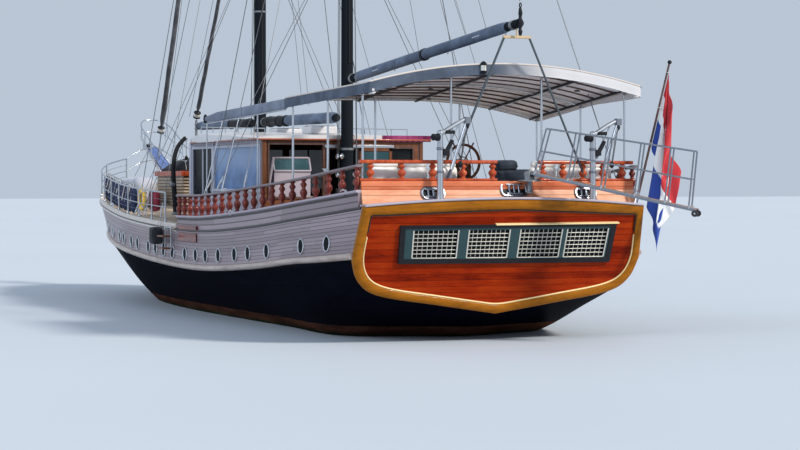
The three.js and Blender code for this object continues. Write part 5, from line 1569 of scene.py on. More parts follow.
def make_headsails():
    """Furled headsails with their drums and stays."""
    main = MASTS["main_mast"]
    sets = (("outer_forestay", at(29.3, 0, 4.46), at(29.1, 0, 5.45),
             at(main["s"] + 0.04, 0, main["top"] - 0.38), 0.13, 0.085),
            ("inner_forestay", at(24.73, 0, 5.7), at(24.7, 0, 5.86), at(main["s"], 0, 15.9), 0.12, 0.07))
    for name, foot, tack, head, drum, sail in sets:
        way = (head - tack).normalized()
        top = head - way * 1.5
        furl = Shape()
        count = 90
        rings = rings_along([tack.lerp(top, k / count) + way * 0.28 * (1 - k / count)
                             for k in range(count + 1)], sail, 14,
                            [sail * mix(1, 0.6, k / count) * (0.5 if k == 0 else 1)
                             for k in range(count + 1)])
        for i, ring in enumerate(rings):
            middle = sum(ring, Vector()) / 14
            for k, point in enumerate(ring):
                wind = ((k / 14 - i * 0.11) % 1) - 0.5
                ring[k] = middle + (point - middle) * (1.04 + 0.16 * (abs(wind) * 2 - 0.5)
                                                       + 0.08 * noise.noise(point * 2.0))
        furl.grid(rings, 0, True, True)
        made = piece(f"{name}_sail", furl, "sail cloth", stands_for=name, sharp=60)
        drums = Shape().turned([(0.03, -0.02), (drum, 0), (drum, 0.02), (drum * 0.55, 0.035),
                                (drum * 0.55, 0.16), (drum, 0.175), (drum, 0.195), (0.05, 0.24),
                                (0.03, 0.3)], tack, way, 20)
        piece(f"{name}_drum", drums, "black fitting", stands_for=name)
        coil = Shape().turned([(drum * 0.8, 0.04), (drum * 0.92, 0.07), (drum * 0.92, 0.13),
                               (drum * 0.8, 0.16)], tack, way, 20)
        piece(f"{name}_drum_line", coil, "white rope")
        stay = Shape().tube([foot, tack + way * 0.02], 0.024, 10).tube([top - way * 0.02, head], 0.014, 8)
        piece(f"{name}_stay", stay, "brushed steel")
    s = BOOMS["staysail_boom"]["pivot"]
    z = BOOMS["staysail_boom"]["z0"]
    post = Shape().tube([at(s + 0.13, 0, 2.95), at(s + 0.13, 0, 5.76)], 0.045, 14)
    for side in (-1, 1):
        near = z + side * 0.0353
        post.block(at(s - 0.05, -0.055, min(near, near + side * 0.05)),
                   at(s + 0.16, 0.055, max(near, near + side * 0.05)))
    post.turned([(0.13, 0), (0.13, 0.02), (0.06, 0.05), (0.055, 0.12)], at(s + 0.13, 0, deck_top(24.7, 0)),
                sides=16)
    piece("inner_forestay_post", post, "grey metal", stands_for="inner_forestay", bevel=0.006)


def make_rigging():
    """Standing wires and halyards from the masts."""
    heavy, light, lines = [], [], []
    for name, mast in MASTS.items():
        s, top = mast["s"], mast["top"]
        reach, low = CHAINPLATE[name]
        for side in (1, -1):
            lower, upper = mast["spreaders"]
            tip, upper_tip = side * spreader_reach(name, lower), side * spreader_reach(name, upper)
            heavy.append([at(s, side * reach, low + 0.1), at(s, tip, lower), at(s, side * 0.04, top - 0.4)])
            for shift, height in ((-0.45, lower - 0.3), (0.45, lower - 0.3), (-0.9, upper - 0.4)):
                light.append([at(s + shift, side * (deck_half(s + shift) - 0.08), low + 0.1),
                              at(s, side * 0.12, height)])
            light.append([at(s, side * reach, low + 0.1), at(s, tip, lower), at(s, upper_tip, upper),
                          at(s, side * 0.05, top - 0.45)])
            for k, (shift, p, foot) in enumerate(HALYARDS[name]):
                lines.append([at(s + shift, side * p, foot),
                              at(s + shift * 0.7, side * 0.08, top - 0.5 - k * 0.3)])
            behind = s - 2.6
            z = rail_z(behind) if behind < STEP else deck_z(behind) + 0.2
            light.append([at(behind, side * (deck_half(behind) - 0.1), z),
                          at(s - 0.1, side * 0.1, upper - 0.6)])
    mizzen = MASTS["mizzen_mast"]
    for side in (1, -1):
        heavy.append([at(0.7, side * 3.4, 3.2), at(mizzen["s"] - 0.15, side * 0.06, mizzen["top"] - 0.38)])
        light.append([at(29.9, side * 0.2, 4.9), at(27.6, side * 1.5, 3.6)])
    lines += [[at(28.2, 0.1, 5.2), at(18.2, 0.1, 27.4)], [at(25.2, 0.1, 5.9), at(18.2, 0.08, 15.6)]]
    bars("standing_wires", heavy, 0.012, "wire rope", sides=6,
         stands_for=("main_shroud_port", "main_shroud_starboard", "mizzen_shroud_port",
                     "mizzen_shroud_starboard", "backstay_port", "backstay_starboard"))
    bars("lower_shrouds", light, 0.009, "wire rope", sides=6)
    bars("halyards", lines, 0.007, "dark rope", sides=5)
    main = MASTS["main_mast"]
    bars("triatic_wire", [[at(main["s"] - 0.25, 0, main["top"] - 0.38),
                           at(mizzen["s"] + 0.25, 0, mizzen["top"] - 0.38)]], 0.012, "wire rope", sides=6,
         stands_for="triatic_stay")
    screws = []
    for line in heavy + light:
        way = (line[1] - line[0]).normalized()
        turn = Vector((0, 0, 1)).rotation_difference(way).to_euler()
        screws.append((line[0] + way * 0.02, turn, (1, 1, 1)))
    screw = Shape().turned([(0.012, 0), (0.02, 0.02), (0.02, 0.06), (0.014, 0.08), (0.026, 0.1),
                            (0.026, 0.32), (0.014, 0.34), (0.014, 0.44)], (0, 0, 0), sides=8)
    repeated("rigging_screws", screw, screws, "chrome")


def make_boom_lines():
    """Ropes between the yacht and the booms."""
    bar = (SHEET_BAR["place"], SHEET_BAR["drop"])
    reach = SHEET_BAR["half"] - 0.03
    # Each rope's place beside its boom, its fixed end and its radius
    ropes = {
        "mizzen_boom": {
            "mizzen_sheet_port": ((*bar, reach), at(0.3, 1.36, 3.79), 0.03),
            "mizzen_sheet_starboard": ((*bar, -reach), at(0.3, -2.16, 3.79), 0.026),
            "mizzen_boom_lift": ((1.0, 0.5), at(10.2, 0, 25.4), 0.009),
            "mizzen_lazy_jack_port": ((0.72, 0.12), at(10.2, 0.1, 17.8), 0.006),
            "mizzen_lazy_jack_starboard": ((0.45, 0.12), at(10.2, -0.1, 17.8), 0.006),
            "mizzen_forward_lift": ((0.83, 0.12), at(10.3, 0, 22.0), 0.006),
        },
        "main_boom": {
            "main_boom_lift": ((0.98, 0.4), at(17.75, 0, 27.3), 0.009),
            "main_lazy_jack_port": ((0.6, 0.4, 0.1), at(17.75, 0.1, 19.2), 0.006),
            "main_lazy_jack_starboard": ((0.6, 0.4, -0.1), at(17.75, -0.1, 19.2), 0.006),
        },
        "staysail_boom": {
            "staysail_boom_lift": ((0.97, 0.3), at(18.1, 0, 14.4), 0.008),
        },
    }
    for body, mine in ropes.items():
        for name, (place, far, radius) in mine.items():
            near = boom_point(body, *place)
            line = [near.lerp(far, t) for t in steps_between(0, 1, 14)]
            finish = "blue rope" if "sheet" in name else "dark rope"
            made = piece(name, Shape().tube(line, radius, 6), finish, ride=False)
            tuple(near.lerp(far, 0.02))
            tuple(near.lerp(far, 0.98))
            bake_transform(made)


# Canopy


def canopy_under(s, p, drop_=0.03):
    return canopy_top(s, p) - drop_


def canopy_dip(s, p):
    """How far the cloth sags between its battens."""
    run = (s - CANOPY["aft"]) / 0.57
    return 0.012 * math.sin(math.pi * (run % 1.0)) * (1 - (abs(p) / CANOPY["half"]) ** 4)


def hem_drop(s, p):
    """Depth of the valance, which is deep aft and to port, and shallow in front."""
    if p >= CANOPY["half"] or s <= CANOPY["aft"]:
        return CANOPY["valance"]
    return mix(CANOPY["valance"], 0.07, min(1, (s - CANOPY["aft"]) / 2.5))


def canopy_outward(s, p):
    """The way out from a point of the canopy's edge."""
    if abs(p) == CANOPY["half"]:
        return Vector((0, math.copysign(1, p), 0))
    return Vector((-1 if s == CANOPY["aft"] else 1, 0, 0))


def make_canopy():
    aft, front, half = CANOPY["aft"], CANOPY["front"], CANOPY["half"]
    breadths = steps_between(-half, half, 40)
    stations = steps_between(aft, front, 60)
    upper = [[at(s, p, canopy_top(s, p) - canopy_dip(s, p)) for p in breadths] for s in stations]
    lower = [[point - Vector((0, 0, 0.012)) for point in row] for row in upper]
    cover = piece("canopy_cloth", Shape().slab(upper, lower, 0, 1), ["slate canvas", "canopy lining"],
                  stands_for="canopy", sharp=60)
    border = []
    corner = 0.06
    ways = [(s, half) for s in steps_between(aft + corner, front - corner, 40)]
    ways += [(front, p) for p in steps_between(half - corner, -half + corner, 48)]
    ways += [(s, -half) for s in steps_between(front - corner, aft + corner, 40)]
    ways += [(aft, p) for p in steps_between(-half + corner, half - corner, 48)]
    for i, (s, p) in enumerate(ways):
        wave = 0.008 * math.sin(i * 1.3) + 0.006 * math.sin(i * 0.47)
        out = canopy_outward(s, p)
        top = at(s, p, canopy_top(s, p) + 0.004)
        border.append([top + out * (0.002 - 0.012 * (k == 0)) + out * wave * k / 5
                       - Vector((0, 0, hem_drop(s, p) * k / 5)) for k in range(6)])
    hang = Shape()
    border.append(border[0])
    inner = []
    for i, row in enumerate(border):
        s, p = ways[i % len(ways)]
        out = canopy_outward(s, p)
        inner.append([point - out * 0.016 for point in row])
    hang.grid(border, 0).grid(inner, 1)
    hang.grid([[row[0] for row in border], [row[0] for row in inner]]).grid([[row[-1] for row in border],
                                                                             [row[-1] for row in inner]])
    valance = piece("canopy_valance", hang, ["valance canvas", "canopy lining"], stands_for="canopy",
                    sharp=50)
    hem = Shape().tube([row[-1] for row in border], 0.014, 6)
    piece("canopy_hem", hem, "valance canvas")
    bead = Shape().tube([row[0] for row in border], 0.02, 8)
    piece("canopy_edge_cord", bead, "pale moulding")
    laths = Shape()
    for s in steps_between(aft + 0.1, front - 0.1, 11):
        laths.grid([[at(s + u, p, canopy_under(s, p, 0.03) + v) for u, v in
                     ((-0.02, -0.02), (0.02, -0.02), (0.02, 0.02), (-0.02, 0.02))] for p in breadths[1:-1]],
                   0, True, True)
    piece("canopy_battens", laths, "dark rail", bevel=0.003)
    beams = Shape()
    for p, wide in ((-2.05, 0.03), (1.55, 0.03), (0, 0.025), (-3.2, 0.025), (3.2, 0.025)):
        beams.grid([[at(s, p + u, canopy_under(s, p, 0.085) + v) for u, v in
                     ((-wide, -0.04), (wide, -0.04), (wide, 0.03), (-wide, 0.03))] for s in stations[1:-1]],
                   0, True, True)
    piece("canopy_beams", beams, "dark strake", bevel=0.005)


def make_canopy_frame():
    breadths = steps_between(-OUTER_POST, OUTER_POST, 24)
    arches = [[at(s, p, canopy_top(s, p) - 0.075) for p in breadths] for s in CANOPY_ROWS]
    posts, feet = [], []
    for i, s in enumerate(CANOPY_ROWS):
        for p in (-OUTER_POST, OUTER_POST) + ((-INNER_POST, INNER_POST) if i != 1 else ()):
            foot = deck_top(s, p)
            posts.append([at(s, p, foot - 0.02), at(s, p, canopy_top(s, p) - 0.075)])
            feet.append((at(s, p, foot), (0, 0, 0), (1, 1, 1)))
    runs = [[at(s, p, canopy_top(s, p) - 0.095) for s in steps_between(CANOPY_ROWS[0], CANOPY_ROWS[-1], 10)]
            for p in (-OUTER_POST + 0.1, 0, OUTER_POST - 0.1)]
    bars("canopy_posts", arches + posts, 0.027, "chrome", sides=12, stands_for="canopy_frame")
    bars("canopy_runs", runs, 0.022, "chrome", sides=10, stands_for="canopy_frame")
    outline = [(0.07, 0), (0.07, 0.014), (0.045, 0.02), (0.04, 0.07), (0.03, 0.075)]
    flange = Shape().turned(outline, (0, 0, 0), sides=16)
    repeated("canopy_post_feet", flange, feet, "chrome")
    clamps = [(at(s, p, canopy_top(s, p) - 0.13), (0, 0, 0), (1, 1, 1)) for s, p in
              [(row, side * OUTER_POST) for row in CANOPY_ROWS for side in (-1, 1)]]
    clamp = Shape().turned([(0.03, 0), (0.042, 0.01), (0.042, 0.05), (0.03, 0.06)], (0, 0, 0), sides=12)
    repeated("canopy_clamps", clamp, clamps, "grey metal")
    corner = Shape()
    for p in (-3.33, 3.33):
        corner.turned([(0.05, 0), (0.09, 0.03), (0.09, 0.12), (0.04, 0.16)],
                      at(-0.02, p, canopy_top(-0.1, p) - 0.3), sides=14)
    piece("canopy_corner_lamps", corner, "white gel coat")
    lamp = Shape().turned([(0.03, 0), (0.075, 0.01), (0.075, 0.06), (0.05, 0.07), (0.05, 0.2),
                           (0.085, 0.21), (0.06, 0.26), (0.02, 0.29)],
                          at(-0.12, 0.64, canopy_top(-0.1, 0) - 0.24), sides=16)
    piece("stern_light", lamp, "black fitting")
    glow = Shape().turned([(0.062, 0.075), (0.062, 0.195)], at(-0.12, 0.64, canopy_top(-0.1, 0) - 0.24),
                          sides=16)
    piece("stern_light_glass", glow, "lamp glass")
    lamps = Shape()
    for s, p in ((2.85, 0.7), (2.85, -0.7), (4.6, 0.0), (1.2, 2.4), (1.2, -2.4)):
        lamps.turned([(0.02, 0), (0.07, 0.005), (0.075, 0.03), (0.03, 0.05)],
                     at(s, p, canopy_top(s, p) - 0.19), sides=14)
    piece("deck_lamps", lamps, "dark strake")


def make_side_awning():
    s0, s1, p, deep, thick = 5.64, 12.55, 3.4, 0.26, 0.11

    def top(s):
        return mix(5.77, 5.57, (s - s0) / (s1 - s0))

    rings = []
    for i in range(97):
        s = mix(s0, s1, i / 96)
        ring = []
        for a in round_steps(18):
            ripple = noise.noise(Vector((i * 0.09, math.cos(a) * 1.4, math.sin(a) * 1.4)))
            swell = min(1, 0.4 + 0.6 * (s1 - s) / 1.2) + 0.035 * ripple
            ring.append(at(s, p + math.cos(a) * thick / 2 * swell,
                           top(s) - deep / 2 + math.sin(a) * deep / 2 * swell))
        rings.append(ring)
    roll = piece("side_awning_roll", Shape().grid(rings, 0, True, True), "awning canvas",
                 stands_for="side_awning", sharp=60)
    straps = Shape()
    for s in steps_between(s0, s1, 4):
        s = min(max(s, s0 + 0.05), s1 - 0.05)
        straps.grid([[at(s + w, p + math.cos(a) * thick * 0.5,
                         top(s) - deep / 2 + math.sin(a) * deep * 0.505) for a in round_steps(18)]
                     for w in (-0.014, 0.014)], 0, True, True)
    piece("side_awning_straps", straps, "dark canvas")
    rail = [[at(s, p, top(s) - deep - 0.01) for s in (s0 + 0.04, s1 - 0.04)]]
    rail += [[at(s, p, deck_top(s, p) - 0.02), at(s, p, top(s) - deep - 0.01)] for s in (7.9, 12.35)]
    thin = [[at(s, deck_half(s) - 0.07, rail_z(s)), at(s, p, top(s) - deep)] for s in (9.45, 10.9)]
    bars("side_awning_rods", thin, 0.014, "brushed steel")
    bars("side_awning_poles", rail, 0.02, "brushed steel", sides=12, stands_for="side_awning_rail")


# Deckhouse

SIDE_WINDOWS = ((11.0, 15.2, 3.5), (15.42, 17.35, 3.3))
WINDOW_Z = (3.5, 4.68)
FRONT_WINDOWS = ((-2.05, -0.8), (-0.6, 0.6), (0.8, 2.05))


def wall_boards(shape, s0, s1, p0, p1, z0, z1):
    shape.block(at(s0, p0, z0), at(s1, p1, z1))


def make_house_walls():
    half, wall, eaves = HOUSE["half"], HOUSE["wall"], HOUSE["eaves"]
    aft, front = HOUSE["aft"], HOUSE["front"]
    for side, word in SIDES:
        low, high = sorted((side * half, side * (half - wall)))
        body = Shape()
        foot = 2.42
        edges = [aft] + [s for row in SIDE_WINDOWS for s in row[:2]] + [front]
        for s0, s1 in zip(edges[::2], edges[1::2]):
            wall_boards(body, s0, s1, low, high, foot, WINDOW_Z[1])
        for s0, s1, sill in SIDE_WINDOWS:
            wall_boards(body, s0, s1, low, high, foot, sill)
        wall_boards(body, aft, front, low, high, WINDOW_Z[1], eaves)
        piece(f"house_side_{word}", body, "house paint", stands_for=f"deckhouse_side_{word}",
              bevel=0.006)
        trim, panes, bars_ = Shape(), Shape(), Shape()
        out = side * half
        for s0, s1, sill in SIDE_WINDOWS:
            for a, b, c, d in ((s0 - 0.06, s1 + 0.06, WINDOW_Z[1], WINDOW_Z[1] + 0.07),
                               (s0 - 0.06, s1 + 0.06, sill - 0.07, sill),
                               (s0 - 0.06, s0, sill, WINDOW_Z[1]), (s1, s1 + 0.06, sill, WINDOW_Z[1])):
                trim.block(at(a, out - 0.03, c), at(b, out + 0.03, d))
            panes.block(at(s0, out - side * 0.035 - 0.004, sill),
                        at(s1, out - side * 0.035 + 0.004, WINDOW_Z[1]), 0 if s1 - s0 > 3 else 1)
            if s1 - s0 < 3:
                middle = (s0 + s1) / 2
                bars_.block(at(middle - 0.025, out - 0.05, sill),
                            at(middle + 0.025, out + 0.012, WINDOW_Z[1]))
        piece(f"house_trim_{word}", trim, "window frame", bevel=0.008)
        piece(f"house_side_panes_{word}", panes, ["sky glass", "smoked pane"])
        piece(f"house_mullions_{word}", bars_, "window frame", bevel=0.006)
    for word, s, windows, node in (("front", front - wall, [(*pair, *WINDOW_Z) for pair in FRONT_WINDOWS],
                                    "deckhouse_front"),
                                   ("aft", aft, [(-2.05, -0.6, 3.3, 4.62), (-0.42, 0.46, 2.5, 4.6),
                                                 (0.6, 2.14, 3.3, 4.72)], "deckhouse_aft")):
        body = Shape()
        spots = sorted(windows)
        edges = [-half + wall] + [p for spot in spots for p in spot[:2]] + [half - wall]
        for p0, p1 in zip(edges[::2], edges[1::2]):
            wall_boards(body, s, s + wall, p0, p1, HOUSE["foot"], eaves)
        for p0, p1, z0, z1 in spots:
            if z0 > 2.6:
                wall_boards(body, s, s + wall, p0, p1, HOUSE["foot"], z0)
            wall_boards(body, s, s + wall, p0, p1, z1, eaves)
        piece(f"house_{word}", body, "house boards", stands_for=node, bevel=0.005)
        trim, panes = Shape(), Shape()
        face = s if word == "aft" else s + wall
        for p0, p1, z0, z1 in spots:
            for a, b, c, d in ((p0 - 0.05, p1 + 0.05, z1, z1 + 0.06), (p0 - 0.05, p0, z0, z1),
                               (p1, p1 + 0.05, z0, z1)):
                trim.block(at(face - 0.025, a, c), at(face + 0.025, b, d))
            if z0 > 2.6:
                trim.block(at(face - 0.04, p0 - 0.05, z0 - 0.06), at(face + 0.03, p1 + 0.05, z0))
                if word == "front" or p1 < 0.6:
                    panes.block(at(s + 0.026, p0, z0), at(s + 0.034, p1, z1))
                for p in steps_between(p0, p1, 2)[1:-1] if p1 < 0.6 or word == "front" else []:
                    trim.block(at(s - 0.005, p - 0.02, z0), at(s + wall + 0.005, p + 0.02, z1))
        if word == "aft":
            trim.block(at(aft - 0.065, -1.48, 4.6405), at(aft + 0.01, 0.56, 4.72), 1)
            trim.block(at(aft - 0.02, -0.42, 2.5), at(aft + 0.06, 0.46, 2.56))
        piece(f"house_trim_{word}", trim, ["dark rail", "brushed steel"], bevel=0.006)
        piece(f"house_panes_{word}", panes, "smoked pane")
    blinds = Shape().block(at(aft + 0.01, -2.04, 3.31), at(aft + 0.024, -0.61, 4.3))
    for k in range(9):
        z = mix(3.36, 4.24, k / 8)
        blinds.block(at(aft - 0.012, -2.04, z - 0.045), at(aft + 0.01, -0.61, z + 0.045))
    piece("house_aft_boards", blinds, "house boards", bevel=0.006)
    posts = Shape()
    for s, mark in ((aft + 0.03, 0), (15.31, 1), (front - 0.03, 1)):
        for side in (1, -1):
            posts.block(at(s - 0.07, side * half - 0.06, HOUSE["foot"]),
                        at(s + 0.07, side * half + 0.045, eaves), mark)
    piece("house_posts", posts, ["brown wood", "window frame"], bevel=0.012)
    curtains = Shape()
    for s0, s1, side in ((15.55, 17.2, 1), (15.55, 17.2, -1), (11.1, 11.4, -1)):
        row = [at(mix(s0, s1, k / 44), side * (half - 0.11) + 0.022 * math.sin(k * 1.15)
                  + 0.008 * math.sin(k * 0.6), 0) for k in range(45)]
        face = [[point + Vector((0, 0, z)) for point in row] for z in steps_between(3.5, 4.74, 6)]
        back = [[point + Vector((0, -side * 0.006, 0)) for point in line] for line in face]
        curtains.slab(face, back)
    hung = piece("house_curtains", curtains, "black curtain", sharp=60)


def make_house_roof():
    aft, front, half = 10.62, 17.7, 2.56
    rows = []
    for t in steps_between(0, 1, 16):
        s, top = mix(aft, front, t), mix(4.98, 5.26, t)
        base, edge = HOUSE["eaves"] + 0.004, top - 0.1
        outline = [(-half, base), (half, base), (half, edge - 0.03)]
        outline += [(half * math.cos(a) ** 0.6, edge + 0.1 * math.sin(a)) for a in
                    [math.radians(x) for x in (8, 18, 32, 48, 64, 78)]]
        outline += [(0, top)] + [(-p, z) for p, z in reversed(outline[3:9])] + [(-half, edge - 0.03)]
        visor = max(0, (s - 15.2) / (front - 15.2)) ** 1.6
        inset_ = 0.018 * (0 if 0 < t < 1 else 1) + 0.1 * visor**2
        rows.append([at(s, p * (1 - inset_), base + (z - base) * (1 - 0.75 * visor)) for p, z in outline])
    piece("house_roof", Shape().grid(rows, 0, True, True), "white gel coat", stands_for="deckhouse_roof",
          bevel=0.012)
    trim = Shape()
    ring = [(aft - 0.01, -half - 0.01), (16.9, -half + 0.04), (front - 0.05, -2.3), (front - 0.05, 2.3),
            (16.9, half - 0.04), (aft - 0.01, half + 0.01)]
    for (s0, p0), (s1, p1) in zip(ring, ring[1:] + ring[:1]):
        trim.plank(at(s0, p0, HOUSE["eaves"] + 0.01), at(s1, p1, HOUSE["eaves"] + 0.01), 0.04, 0.045)
    piece("house_roof_trim", trim, "varnish trim", bevel=0.012)
    rails = []
    for side in (1, -1):
        rails.append([at(s, side * 2.1, 5.02 + 0.2 * (s - aft) / 7 + 0.13)
                      for s in steps_between(11.2, 17.2, 12)])
        rails += [[at(s, side * 2.1, 4.96 + 0.2 * (s - aft) / 7),
                   at(s, side * 2.1, 5.02 + 0.2 * (s - aft) / 7 + 0.13)]
                  for s in steps_between(11.2, 17.2, 5)]
    bars("house_roof_rails", rails, 0.014, "brushed steel")
    hatch = Shape()
    for s in (12.6, 15.6):
        hatch.block(at(s - 0.35, -0.4, 5.05), at(s + 0.35, 0.4, 5.27))
    piece("house_roof_hatches", hatch, "white gel coat", bevel=0.03)
    tops = Shape()
    for s in (12.6, 15.6):
        tops.block(at(s - 0.3, -0.35, 5.262), at(s + 0.3, 0.35, 5.285))
    piece("house_roof_hatch_glass", tops, "dark glass", bevel=0.01)
    lines = []
    for k in range(61):
        p = mix(-2.57, -1.12, k / 60)
        lines.append([at(HOUSE["aft"] - 0.09 + 0.012 * math.sin(k * 0.9) * v / 4, p, 4.985 - 0.034 * v)
                      for v in range(6)])
    back = [[point + Vector((0.006, 0, 0)) for point in line] for line in lines]
    fringe = piece("house_valance", Shape().slab(lines, back), "purple cloth", sharp=60)


def make_door():
    frame_, pane = Shape(), Shape()
    s0, s1, p0, p1, z0, z1 = 10.643, 10.688, -1.42, -0.46, 2.56, 4.64
    for a, b, c, d in ((p0, p0 + 0.08, z0, z1), (p1 - 0.08, p1, z0, z1), (p0, p1, z0, z0 + 0.12),
                       (p0, p1, z1 - 0.09, z1), (p0, p1, 3.4, 3.5)):
        frame_.block(at(s0, a, c), at(s1, b, d))
    frame_.tube([at(s0 - 0.03, p1 - 0.04, 3.55), at(s0 - 0.03, p1 - 0.04, 3.8)], 0.012, 8, 1)
    for z in (3.55, 3.8):
        frame_.tube([at(s0 - 0.03, p1 - 0.04, z), at(s0 + 0.01, p1 - 0.04, z)], 0.012, 8, 1)
    piece("sliding_door_frame", frame_, ["brown wood", "chrome"], body="door", stands_for="deckhouse_door",
          bevel=0.005)
    pane.block(at(s0 + 0.018, p0 + 0.08, z0 + 0.12), at(s0 + 0.027, p1 - 0.08, z1 - 0.09))
    piece("sliding_door_pane", pane, "teal glass", body="door", stands_for="deckhouse_door")


def make_house_inside():
    """A table and benches seen through the windows."""
    inside = Shape()
    inside.block(at(12.0, -0.45, 3.18), at(13.6, 0.45, 3.24))
    inside.tube([at(12.8, 0, 2.5), at(12.8, 0, 3.2)], 0.07, 12)
    for p in (1.35, -2.15):
        inside.block(at(11.2, p, HOUSE["foot"]), at(14.6, p + 0.8, 2.85))
    inside.block(at(16.2, -1.9, HOUSE["foot"]), at(17.3, 1.9, 3.35))
    piece("saloon_furniture", inside, "brown wood", bevel=0.02)
    console = Shape().block(at(10.85, 0.9, HOUSE["foot"]), at(11.25, 1.95, 4.02))
    slope = [at(10.84, 0.9, 4.0), at(11.0, 0.9, 4.36), at(11.0, 1.95, 4.36), at(10.84, 1.95, 4.0)]
    for a, b in zip(slope, slope[1:] + slope[:1]):
        console.tube([a, b], 0.03, 8)
    console.tube([at(10.84, 1.98, 4.36), at(10.8, 2.16, 3.4)], 0.045, 8)
    console.grid([[slope[0], slope[1]], [slope[3], slope[2]]], 1)
    piece("saloon_console", console, ["pale sill", "teal glass"], bevel=0.01)
    blocks = []
    for side in (1, -1):
        for low, high, z0, z1 in ((1.38, 2.12, 2.85, 3.0), (1.93, 2.14, 3.02, 3.42)):
            a, b = sorted((side * low, side * high))
            blocks += [(at(mix(11.25, 14.55, k / 3) + 0.01, a, z0),
                        at(mix(11.25, 14.55, (k + 1) / 3) - 0.01, b, z1)) for k in range(3)]
    stuffed("saloon_cushions", blocks, "white cushion", radius=0.06, swell=0.015)


# Soft goods

STUFFED = []  # pieces that are blown up together, each with its words
AIR_PRESSURE = 4.0
CUSHION_FRAMES = 20  # frames that the cushions fill for
FLAG_FRAMES = 14  # frames that the flag falls for
LAST_FRAME = 60
SEAM_POINTS = 56


COVER_PITCH = 0.045  # size of a stuffed cover's faces


def cushion_block(shape, low, high, radius):
    """A rounded block of even faces for a stuffed cover."""
    low, high = Vector(low), Vector(high)
    middle, reach = (low + high) / 2, (high - low) / 2
    core = Vector([max(x - radius, 0) for x in reach])

    def swollen(point):
        near = Vector([max(-core[k], min(core[k], point[k])) for k in range(3)])
        off = point - near
        return middle + near + (off.normalized() * min(radius, off.length) if off.length > 1e-9 else off)

    for axis in range(3):
        a, b = (axis + 1) % 3, (axis + 2) % 3
        counts = [max(3, round(2 * reach[k] / COVER_PITCH)) for k in (a, b)]
        for sign in (-1, 1):
            rows = []
            for i in range(counts[0] + 1):
                row = []
                for j in range(counts[1] + 1):
                    point = Vector()
                    point[axis] = sign * reach[axis]
                    point[a] = reach[a] * (2 * i / counts[0] - 1)
                    point[b] = reach[b] * (2 * j / counts[1] - 1)
                    row.append(swollen(point))
                rows.append(row)
            shape.grid(rows)


def stuffed(name, blocks, finish, stands_for=(), slot=None, radius=0.07, swell=0.03, seam=2):
    """Cushions that are blown up later, each with a seam round it, square to an axis."""
    shape = Shape()
    for low, high in blocks:
        cushion_block(shape, low, high, radius)
    made = piece(name, shape, finish, sharp=80, merge=0.003, ride=False)
    seams = [(Vector(low), Vector(high), seam) for low, high in blocks]
    STUFFED.append((made, swell, seams, finish, stands_for, slot))


def filling(made, pressure):
    """A cloth modifier: blown up where there is a pressure, and else hanging."""
    cover = made.modifiers.new("Filling", "CLOTH")
    rules = cover.settings
    rules.quality = 6
    rules.mass = 0.25
    rules.tension_stiffness = rules.compression_stiffness = 25
    rules.shear_stiffness = 12
    rules.bending_stiffness = 1.5
    rules.air_damping = 4
    if pressure:
        rules.use_pressure = True
        rules.uniform_pressure_force = pressure
        rules.effector_weights.gravity = 0
    cover.collision_settings.use_collision = False
    cover.point_cache.frame_start = 1
    cover.point_cache.frame_end = LAST_FRAME
    return cover


def settled(pieces, frames):
    """Steps the cloth of the pieces and returns their points at the last frame."""
    scene = bpy.context.scene
    scene.frame_start, scene.frame_end = 1, LAST_FRAME
    for frame_ in range(1, frames + 1):
        scene.frame_set(frame_)
    graph = bpy.context.evaluated_depsgraph_get()
    points = []
    for made in pieces:
        shown = made.evaluated_get(graph)
        points.append([vert.co.copy() for vert in shown.data.vertices])
    for made in pieces:
        for change in [m for m in made.modifiers if m.type == "CLOTH"]:
            made.modifiers.remove(change)
    scene.frame_set(1)
    return points


def seam_line(points, low, high, axis):
    """A closed line round a cushion, through its outermost points near the middle of an axis."""
    middle = (low + high) / 2
    mine = [point for point in points if all(low[k] - 0.06 < point[k] < high[k] + 0.06 for k in range(3))]
    a, b = (axis + 1) % 3, (axis + 2) % 3
    line = []
    for turn in round_steps(SEAM_POINTS):
        way = (math.cos(turn) * (high[a] - low[a]), math.sin(turn) * (high[b] - low[b]))
        size = math.hypot(*way)

        def reach(point):
            u, v = point[a] - middle[a], point[b] - middle[b]
            return ((u * way[0] + v * way[1]) / size - abs(point[axis] - middle[axis]) * 1.5
                    - 0.6 * abs(u * way[1] - v * way[0]) / size)

        best = max(mine, key=reach)
        if not line or (best - line[-1]).length > 0.02:
            line.append(best)
    if (line[0] - line[-1]).length < 0.02:
        line.pop()
    return spline(line + [line[0]], 2)


def fill_cushions():
    """Blows up every stuffed piece, then sews its seams and seats it."""
    for made, *_ in STUFFED:
        filling(made, AIR_PRESSURE)
    results = settled([made for made, *_ in STUFFED], CUSHION_FRAMES)
    for (made, swell, *_), points in zip(STUFFED, results):
        for vert, point in zip(made.data.vertices, points):
            step = point - vert.co
            vert.co = vert.co + step * min(1, swell / max(step.length, 1e-6))
    for made, _, seams, finish, stands_for, slot in STUFFED:
        welts = Shape()
        points = [vert.co.copy() for vert in made.data.vertices]
        for seam in seams:
            rings = rings_along(seam_line(points, *seam), 0.007, 6)
            welts.grid(rings[:-1] + [rings[0]], 0, True)
        piece(made.name + "_welts", welts, finish)
        smoothed(made)
        seat(made, "yacht", stands_for)


